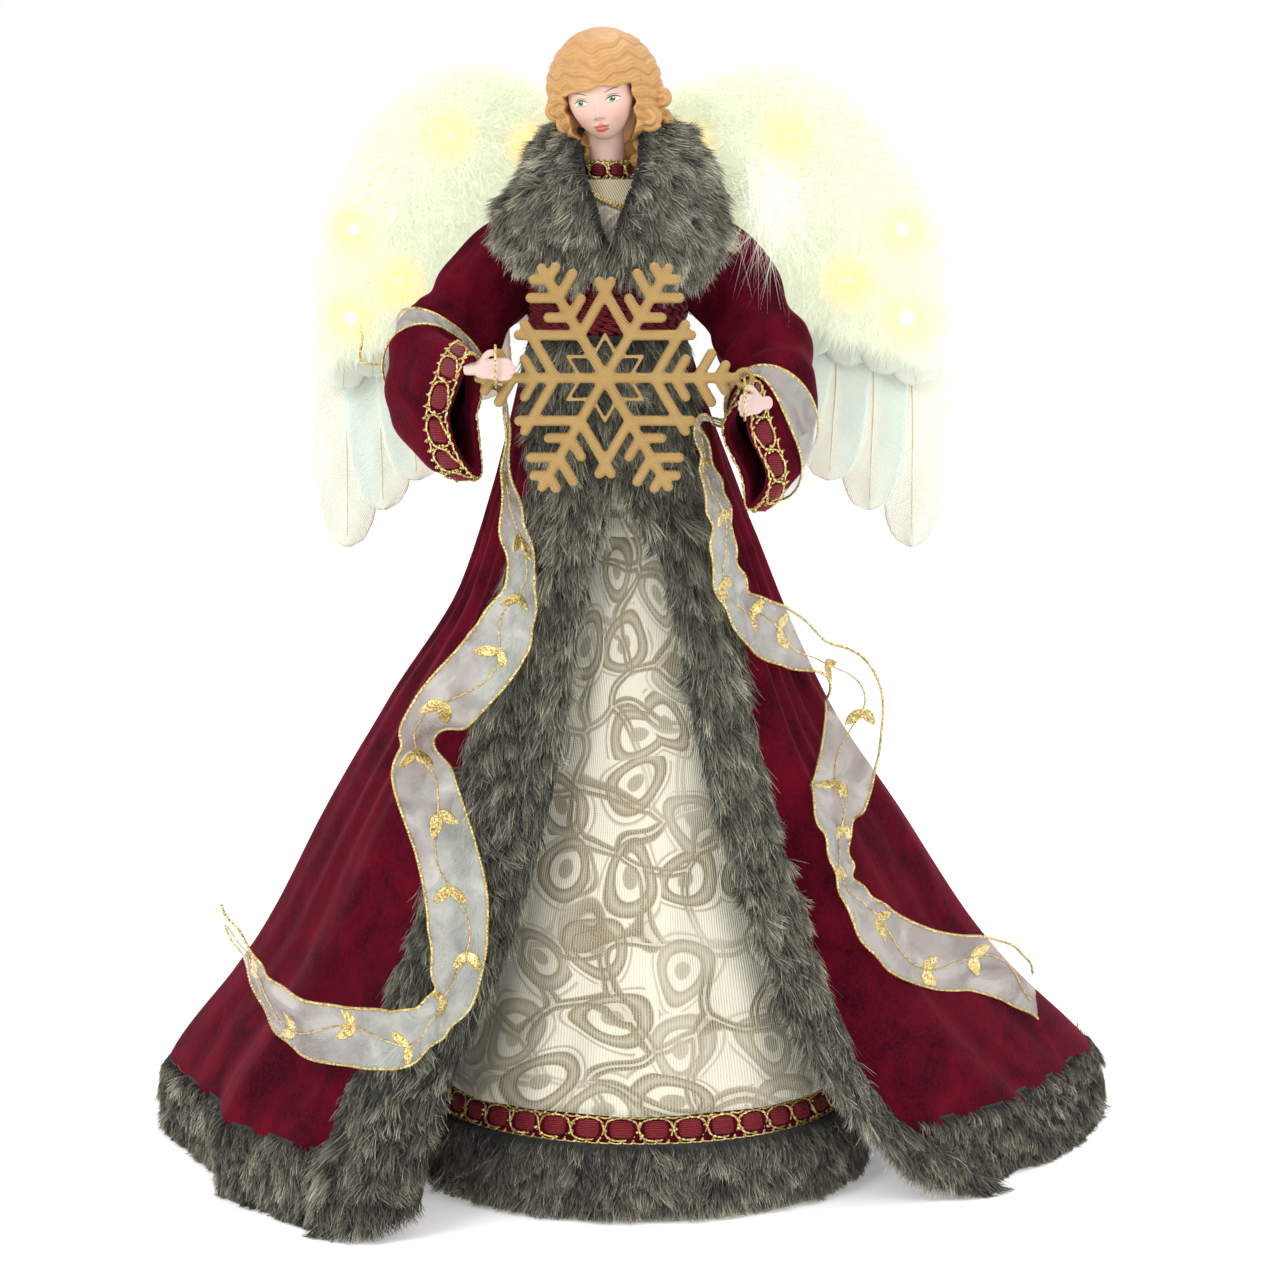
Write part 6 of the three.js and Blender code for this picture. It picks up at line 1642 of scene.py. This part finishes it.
def moulded_hair():
    """Moulded hair: a broad bob whose rows give its half width, front and back, with shallow
    waves that run nearly level. In front of the face it steps back to behind the cheeks.
    Curls are balls with a coil on them."""
    places, around = grid_of(np.linspace(0.012, 0.988, 190), turns(260))
    level, wide, front, back = (along(HAIR_SHARES, places, column) * size for column, size in (
        (1, HEAD_HEIGHT), (2, HEAD_HALF_WIDTH), (3, HEAD_HALF_WIDTH), (4, HEAD_HALF_WIDTH)))
    around = (around + np.pi) % FULL_TURN - np.pi
    flow = level + 0.0012 * np.sin(300 * wide * around + 0.9) + 0.08 * wide * around + 0.0006 * np.sin(
        700 * wide * around + 260 * level)
    relief = (0.0011 * (np.abs(np.sin(np.pi * flow / 0.0046)) ** 0.7 - 0.6)
              + 0.00016 * np.sin(FULL_TURN * flow / 0.0013))
    facing = bell(around, 0.75)
    deep = np.where(np.cos(around) > 0, mix(back, front, facing * np.cos(around)), back)
    fringe = FRINGE_LEVEL + 0.0007 * np.sin(5 * around + 1) + 0.0005 * np.sin(13 * around)
    step = lambda value, reach: smooth(np.clip(value / reach + 0.5, 0, 1))
    side = math.radians(35) - 0.03 * np.sin(level * 900)
    opening = step(fringe - level, 0.0014) * step(side - np.abs(around), 0.1)
    rim = 0.0005 * bell(level - fringe - 0.0014, 0.0011) * (facing > 0.3)
    puff = np.minimum(places * 12, 1) * (relief + rim)
    x = (wide + puff) * np.sin(around)
    y = 0.0015 - (deep + puff) * np.cos(around)
    shape = Surface()
    points = stack(x, mix(y, -0.0035, opening), level)
    ends = [[0, 0.0015, HAIR_SHARES[0][1] * HEAD_HEIGHT], [0, 0.0015, HAIR_SHARES[-1][1] * HEAD_HEIGHT]]
    shape.shells(turned_head(points)[None], *turned_head(ends)[:, None], flip=True)
    nape = Surface().ball([0, 0.0065, -0.001], [0.015, 0.0095, 0.0135], 20, 24)
    shape.add(turned_head(nape.points[0]), nape.quads[0], nape.triangles[0])
    share = even(40)
    for x, y, z, size, way in HAIR_CURLS:
        curl = Surface().ball([x, y, z], [size * 0.9, size * 0.8, size * 0.95], 14, 18)
        shape.add(turned_head(curl.points[0]), curl.quads[0], curl.triangles[0])
        angle = way * FULL_TURN * (0.1 + 1.35 * share)
        ring = size * mix(0.78, 0.18, share)
        coil = stack(x + ring * np.cos(angle), y - size * mix(0.35, 0.85, share), z + ring * np.sin(angle))
        shape.tubes(turned_head(coil), (size * 0.3 * (1 - 0.35 * share))[None], 10)
    made = melt(shape.build("moulded_hair"), 0.00032, 2)
    dress(made, "hair")


class Head(bpy.types.Operator):
    """Makes the porcelain head with its painted face and moulded hair"""
    bl_idname = "topper.head"
    bl_label = "Head"

    def execute(self, context):
        rows, columns = 130, 150
        lift = np.linspace(-math.pi / 2, math.pi / 2, rows + 2)[1:-1]
        lift, turn = grid_of(lift, turns(columns))
        x = FACE_SIZE[0] * np.cos(lift) * np.sin(turn) * jaw(np.sin(lift))
        z = FACE_CENTRE[2] + FACE_SIZE[2] * np.sin(lift)
        front = np.clip(np.cos(turn) * 1.6, 0, 1)
        y = FACE_CENTRE[1] - FACE_SIZE[1] * np.cos(lift) * np.cos(turn) - face_relief(x, z) * front
        ends = FACE_CENTRE + np.outer([-1, 1], FACE_SIZE[2] * UP)
        shape = Surface()
        shape.shells(turned_head(stack(x, y, z))[None], *turned_head(ends)[:, None])
        levels = even(24)
        foot = np.array([BODY_LEAN, 0, TORSO_TOP - 0.002])
        neck = mix(foot, turned_head([0, -0.002, 0.01]), levels[:, None])
        shape.tubes(neck, NECK_RADIUS * (1 + 0.25 * np.exp(-levels * 9) + 0.06 * levels), 40, up=BACK)
        points = np.concatenate([stack(x, y, z).reshape(-1, 3), ends])
        made = shape.build("porcelain_head")
        blush = made.data.attributes.new("blush", "FLOAT_COLOR", "POINT")
        cheeks = sum(bell(points[:, 0] - cx, CHEEK_SPREAD) * bell(points[:, 2] - CHEEK_LEVEL, CHEEK_SPREAD)
                     for cx in (CHEEK_SIDE, -CHEEK_SIDE)) * (points[:, 1] < FACE_CENTRE[1])
        value = np.zeros(len(made.data.vertices))
        value[:len(points)] = cheeks
        blush.data.foreach_set("color", np.repeat(value, 4).astype(np.float32))
        dress(made, "porcelain", nodes=["porcelain_head"])
        painted_face()
        moulded_hair()
        return {"FINISHED"}


class HandsOperator(bpy.types.Operator):
    """Makes the porcelain hands"""
    bl_idname = "topper.hands"
    bl_label = "Hands"

    def execute(self, context):
        for side in ("left", "right"):
            centre, turn = HANDS[side]
            shape = Surface()
            shape.ball([0, 0, 0], [PALM_LENGTH / 2, PALM_WIDTH / 2, PALM_THICKNESS / 2], 14, 20)
            share = even(14)
            wrist = stack(-(PALM_LENGTH / 2 + 0.5 * WRIST_LENGTH) * share, 0 * share, 0 * share)
            shape.tubes(wrist, WRIST_RADIUS, 16, up=UP, squeeze=PALM_THICKNESS / 2 / WRIST_RADIUS)
            size = np.sqrt(np.minimum(1, np.maximum((1 - share) * 5, 0.02)))
            for place in (-1.5, -0.5, 0.5, 1.5):
                across = place * 1.9 * FINGER_RADIUS
                reach = PALM_LENGTH / 2 + FINGER_LENGTH * (1 - 0.09 * place * place)
                route = Route([(0.1 * PALM_LENGTH, 0.8 * across, 0), (0.7 * reach, across, -0.1 * FINGER_RADIUS),
                               (reach, 0.8 * across, -1.3 * FINGER_RADIUS)])
                shape.tubes(route.at(share), (FINGER_RADIUS * 1.25 * size)[None], 10, up=UP)
            thumb = Route([(-0.15 * PALM_LENGTH, 0.3 * PALM_WIDTH, 0),
                           (0.2 * PALM_LENGTH, 0.75 * PALM_WIDTH, 0.2 * PALM_THICKNESS),
                           (0.55 * PALM_LENGTH, 0.8 * PALM_WIDTH, 0.3 * PALM_THICKNESS)])
            shape.tubes(thumb.at(share), (FINGER_RADIUS * 1.25 * size)[None], 10, up=UP)
            for index, part in enumerate(shape.points):
                x, y, z = part.T
                y, z = -z, y
                x, y = x * math.cos(turn) - y * math.sin(turn), x * math.sin(turn) + y * math.cos(turn)
                shape.points[index] = stack(x, y, z) + centre
            made = melt(shape.build(f"{side}_hand"), 0.00024, 3)
            dress(made, "hands", nodes=[f"{side}_hand"])
        return {"FINISHED"}


def ribbon_leaves(trim, at, length, seed):
    """Vines that wind along the ribbon, with a pair of leaves at each pitch. A leaf is a
    patch in the ribbon's own plane that is widest before its middle."""
    rng = np.random.default_rng(seed)
    pitch = 0.024
    run = np.linspace(0.01, 0.99, 700)
    distance = run * length
    middle = 0.5 + 0.2 * np.sin(FULL_TURN * distance / (2.2 * pitch))
    trim.tubes(at(run, middle, 0.0002 + 0 * run), 0.00028, 4)
    for index in range(int(length / pitch)):
        foot = (index + 0.5 + rng.uniform(-0.2, 0.2)) * pitch
        across = RIBBON_WIDTH * (0.5 + 0.2 * math.sin(FULL_TURN * foot / (2.2 * pitch)))
        for way in (1, -1):
            lean = way * rng.uniform(0.5, 0.95)
            size = rng.uniform(0.0072, 0.01)
            broad = size * rng.uniform(0.42, 0.54)

            def leaf(s, t, off, lean=lean, size=size, broad=broad):
                ahead, aside = s * size, (t - 0.5) * broad * np.sin(np.pi * s ** 0.75) ** 0.8
                x = foot + ahead * math.cos(lean) - aside * math.sin(lean)
                y = across + ahead * math.sin(lean) + aside * math.cos(lean)
                return at(np.clip(x / length, 0, 1), np.clip(y / RIBBON_WIDTH, 0.04, 0.96), off)
            trim.slab(leaf, np.linspace(0.01, 0.99, 12), even(7), flat(-0.00028), flat(0.00028))


class Ribbons(bpy.types.Operator):
    """Makes the organza ribbons with their wired edges and gold leaves"""
    bl_idname = "topper.ribbons"
    bl_label = "Ribbons"

    def execute(self, context):
        wire = context.scene.topper_sizes.ribbon_wire
        for side, seed in (("left", 91), ("right", 92)):
            at, length = ribbon_surface(side)
            tail = sheet_between(lambda s, t: at(s, t, 0 * s), 420, 15, uv_size=(length, RIBBON_WIDTH))
            start, end, _ = RIBBON_BANDS[side]
            girth = FULL_TURN * (SLEEVE_HALF_WIDTH + SLEEVE_HALF_HEIGHT) / 2

            def band(s, t, off=0.0):
                pucker = 0.0006 * np.sin(FULL_TURN * 17 * t + 3 * s) * np.sin(np.pi * s)
                return sleeve_at(side, mix(start, end, s), t, RIBBON_OFF + 0.0009 + off + pucker)
            s, t = grid_of(even(15), np.arange(150) / 150)
            tail.grid(band(s, t), wrap_columns=True, uv_size=(RIBBON_WIDTH, girth))
            made = dress(tail.build(f"{side}_ribbon"), "organza", nodes=[f"{side}_ribbon"])
            thicken(made, 0.00018, 0.0)
            trim = Surface()
            run = even(900)
            for edge in (0.0, 1.0):
                bead = wire * (1 + 0.3 * np.sin(run * 1900))
                trim.tubes(at(run, edge + 0 * run, 0 * run), bead, 5)
            ring = np.arange(300) / 300
            for edge in (0.0, 1.0):
                trim.tubes(band(edge + 0 * ring, ring), wire, 5, closed=True)
            ribbon_leaves(trim, at, length, seed)
            dress(trim.build(f"{side}_ribbon_gold"), "glitter")
        return {"FINISHED"}


def down_wisps():
    """Long loose barbs of the right wing's down that fall over the shoulder, and the bare end
    of the left wing's light string."""
    rng = np.random.default_rng(7)
    count = 260
    spread = rng.normal(size=(3, count, 3))
    root, middle, tip = (place + spread[index] * reach for index, (place, reach) in enumerate(WISP_PLACES))
    facing = unit(rng.normal(size=root.shape) + [0, -1.0, 0])
    made = hairs(root, middle, tip, 0.00008 + 0.00006 * rng.random(count), facing, 0.02 + 0 * root[:, 0],
                 (0.6, 0.8, 0.95)).build("right_down_wisps", "OFBake")
    dress(made, "barbs", "right_wing")
    end = Route(STRING_END)
    tail = Surface().tubes(end.at(even(60)), STRING_END_RADIUS, 6)
    dress(tail.build("left_string_end"), "glitter", "left_wing")


def vane(side, shape, quills, spots, front, width, seed, rows=70, columns=13):
    """A feather: a blade across a smooth line, cupped towards its quill, with notches where
    its barbs part, and a quill that tapers to the tip."""
    route = Route([wing_point(side, out, up, front) for out, up in spots])

    def at(s, t):
        ahead = route.ahead(s)
        wide = stack(ahead[..., 2], 0 * s, -ahead[..., 0])
        aside = 2 * t - 1
        notch = 1 - 0.05 * np.maximum(wander(seed, s * 9, np.sign(aside), waves=9, high=4), 0) * np.abs(aside) ** 3
        half = along(BLADE_SHARES, s) * width / 2 * notch
        cup = 0.0003 - 0.0007 * np.abs(aside) ** 1.5 + 0.0003 * wander(seed + 1, s * 2, t)
        return route.at(s) + wide * (aside * half)[..., None] + stack(0 * s, -cup, 0 * s)
    shape.grid(at(*grid_of(even(rows), even(columns))), flip=side == "left")
    run = np.linspace(0.0, 0.97, 30)
    spine = at(run, 0.5 + 0 * run) - [0, 0.0002, 0]
    quills.tubes(spine, (0.00055 * (1 - 0.8 * run))[None], 6, up=BACK)


def flight_feather(side, index, rows, seed):
    body = f"{side}_wing"
    shape, quills = Surface(), Surface()
    front = FEATHERS_FRONT + index * FEATHER_LAYER + FEATHER_THICKNESS / 2
    vane(side, shape, quills, rows, front, FEATHER_WIDTH * 1.04, seed * 10 + index, 120, 17)
    name = f"{side}_feather_{index + 1}"
    thicken(dress(shape.build(name), "vane", body, [name]), 0.00025, 0.0)
    dress(quills.build(name + "_quill"), "quill", body)


def covert_rows(side, seed):
    """Two rows of short feathers over the roots of the long ones."""
    shape, quills = Surface(), Surface()
    rng = np.random.default_rng(seed)
    for row, (low, size) in enumerate(((0.34, 0.02), (0.47, 0.018))):
        for place in np.linspace(0.2, 0.9, 7):
            out = place + rng.uniform(-0.02, 0.02)
            foot = low + 0.2 * (0.93 - out) + rng.uniform(-0.01, 0.01)
            spots = [(out * 0.86, foot + 0.3), (out * 0.97, foot + 0.15), (out, foot)]
            depth = COVERT_THICKNESS * (0.75 - 0.4 * row) + rng.uniform(-0.0002, 0.0002)
            vane(side, shape, quills, spots, depth, size, seed + row * 20 + int(place * 100), 26, 9)
    name = f"{side}_coverts"
    thicken(dress(shape.build(name), "vane", f"{side}_wing", [name]), 0.0002, 0.0)
    dress(quills.build(name + "_quills"), "quill", f"{side}_wing")


def marabou(side, seed):
    """Marabou: tufts of fine barbs that spread from one root each, over a soft pillow."""
    sizes = bpy.context.scene.topper_sizes

    def at(s, t, off):
        out = mix(0.05, 0.96, s)
        foot, top = along(DOWN_FOOT_SHARES, out), along(ARCH_SHARES, out)
        return wing_point(side, out, mix(foot, top, t), -off)

    def over(s, t):
        full = DOWN_THICKNESS * swell(t) * mix(0.45, 1, np.sin(np.pi * mix(0.05, 0.96, s)))
        return 0.72 * full + 0.0012 * wander(seed, s * 5, t * 4)
    pillow = Surface().slab(at, even(60), even(40), flat(FIT), over)
    name = f"{side}_down"
    made = pillow.build(name, "OFBake")
    spots = np.zeros(len(made.data.vertices) * 3, np.float32)
    made.data.vertices.foreach_get("co", spots)
    glow = glow_at(side, spots.reshape(-1, 3), 0.0065)
    corners = np.zeros(len(made.data.loops), np.int32)
    made.data.loops.foreach_get("vertex_index", corners)
    rise = 0.35 + 0.2 * wander(seed + 4, *(spots.reshape(-1, 3)[corners].T * 60))
    layer = made.data.uv_layers["OFBake"]
    layer.data.foreach_set("uv", np.stack([glow[corners], rise], -1).astype(np.float32).ravel())
    dress(made, "down", f"{side}_wing", [name])
    rng = np.random.default_rng(seed)
    face = lambda s, t: at(s, t, over(s, t))
    for part in range(2):
        tufts, barbs = 1500, 40
        s, t = scatter(face, tufts, rng)
        root = face(s, t)
        shift = 2e-3
        across = face(np.clip(s + shift, 0, 1), t) - face(np.clip(s - shift, 0, 1), t)
        upward = face(s, np.clip(t + shift, 0, 1)) - face(s, np.clip(t - shift, 0, 1))
        sign = 1 if side == "left" else -1
        out = unit(np.cross(across, upward)) * sign
        out = out * np.sign(-out[:, 1:2] + 0.3 * (t[:, None] > 0.5))
        edge = 2 * t[:, None] - 1
        rim = np.array([0, 0, 1.0]) * np.clip(edge, 0, 1) ** 4 * 1.2
        away = np.array([-sign * 1.0, 0, 0]) * (s[:, None] ** 3)
        lean = unit(out * 0.55 + rim + away * 0.8 + np.array([0, 0, -0.55]) * (1 - np.clip(edge, 0, 1) ** 2)
                    + 0.35 * rng.normal(size=root.shape))
        root, out, lean = (np.repeat(part_rows, barbs, 0) for part_rows in (root, out, lean))
        count = len(root)
        root = root + 0.0016 * rng.normal(size=root.shape)
        spread = rng.normal(size=root.shape)
        long = (sizes.down_length * (0.45 + 0.6 * rng.random(count)))[:, None]
        way = unit(lean + 0.42 * spread)
        middle = root + 0.5 * long * way
        curl = 0.22 * long * rng.normal(size=root.shape)
        tip = root + long * unit(way + 0.25 * out + [0, 0, -0.1]) + curl * 0.6
        width = sizes.down_width * (0.5 + 0.6 * rng.random(count)) / 2
        glow = np.clip(glow_at(side, middle, 0.006) * (0.8 + 0.2 * rng.random(count)), 0.01, 0.99)
        facing = unit(out + 0.9 * rng.normal(size=out.shape))
        fluff = hairs(root, middle, tip, width, facing, glow, (0.25, 0.7, 0.95))
        dress(fluff.build(f"{side}_down_barbs_{part + 1}", "OFBake"), "barbs", f"{side}_wing")


def light_string(side):
    """The wire with its sockets, and the lit lamps."""
    body = f"{side}_wing"
    depth = -FIT - LIGHT_WIRE_RADIUS
    route = Route([wing_point(side, out, up, depth) for out, up in [(0.04, 0.7)] + LAMP_SHARES])
    shape = Surface()
    twisted(shape, route, even(200), BACK, 26, 0.5 * LIGHT_WIRE_RADIUS, LIGHT_WIRE_RADIUS * 0.5)
    steps = np.array([0, 0.02, 0.3, 0.32, 0.6, 0.62, 0.98, 1.0])
    size = SOCKET_RADIUS * np.array([0.8, 0.95, 0.95, 0.85, 0.85, 1.0, 1.0, 0.9])
    sockets = lamp_places(side, 0.0)[:, None] - [0, 1, 0] * (FIT + SOCKET_LENGTH * steps)[None, :, None]
    shape.tubes(sockets, size, 18, up=UP)
    name = f"{side}_light_string"
    dress(shape.build(name), "cable", body, [name])
    profile = [(0, 0.45), (0.04, 0.9), (0.3, 1.0), (0.6, 0.96), (0.78, 0.75), (0.9, 0.42), (1.0, 0.08)]
    share = even(22)
    foot = FIT + SOCKET_LENGTH + FIT
    for index, place in enumerate(lamp_places(side, 0.0)):
        path = place - np.array([0, 1, 0]) * (foot + LAMP_LENGTH * share)[:, None]
        bulb = Surface().tubes(path, (LAMP_RADIUS * along(profile, share))[None], 16, up=UP)
        name = f"{side}_lamp_{index + 1}"
        dress(bulb.build(name), "lamp", body, [name])


class Wings(bpy.types.Operator):
    """Makes the wings' flight feathers, coverts, down, lamps and light strings"""
    bl_idname = "topper.wings"
    bl_label = "Wings"

    def execute(self, context):
        for side, seed in (("left", 101), ("right", 102)):
            for index, rows in enumerate(FEATHER_SHARES):
                flight_feather(side, index, rows, seed)
            covert_rows(side, seed)
            marabou(side, seed)
            light_string(side)
        down_wisps()
        return {"FINISHED"}


class FrameFinishes(bpy.types.Operator):
    """Gives the frame's own bare pieces their finish"""
    bl_idname = "topper.frame_finishes"
    bl_label = "Frame finishes"

    def execute(self, context):
        for names, look in ((["torso_core"], "foam"), (["wing_bracket"], "steel"),
                            (["left_wing_board", "right_wing_board"], "card")):
            for name in names:
                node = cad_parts[name]
                if not node.material_slots:
                    node.data.materials.append(finish(look))
                for holder in node.material_slots:
                    holder.material = finish(look)
        return {"FINISHED"}


STEPS = (PhotoCamera, FrameFinishes, RobeCloth, RobeFur, Gown, Collar, Sleeves, Braids, Snowflake, Head,
         HandsOperator, Ribbons, Wings)


class TopperPanel(bpy.types.Panel):
    """Lists the topper's pieces, sizes and colours"""
    bl_idname = "TOPPER_PT_pieces"
    bl_label = "Angel tree topper"
    bl_space_type = "VIEW_3D"
    bl_region_type = "UI"
    bl_category = "Topper"

    def draw(self, context):
        for step in STEPS:
            self.layout.operator(step.bl_idname)
        for group in (context.scene.topper_sizes, context.scene.topper_colours):
            for name in group.__annotations__:
                self.layout.prop(group, name)


CLASSES = (TopperSizes, TopperColours, *STEPS, TopperPanel)


def register():
    for cls in CLASSES:
        bpy.utils.register_class(cls)
    bpy.types.Scene.topper_sizes = PointerProperty(type=TopperSizes)
    bpy.types.Scene.topper_colours = PointerProperty(type=TopperColours)


def unregister():
    del bpy.types.Scene.topper_colours
    del bpy.types.Scene.topper_sizes
    for cls in reversed(CLASSES):
        bpy.utils.unregister_class(cls)


def main():
    register()
    for step in STEPS:
        group, name = step.bl_idname.split(".")
        getattr(getattr(bpy.ops, group), name)()


if __name__ == "__main__":
    main()
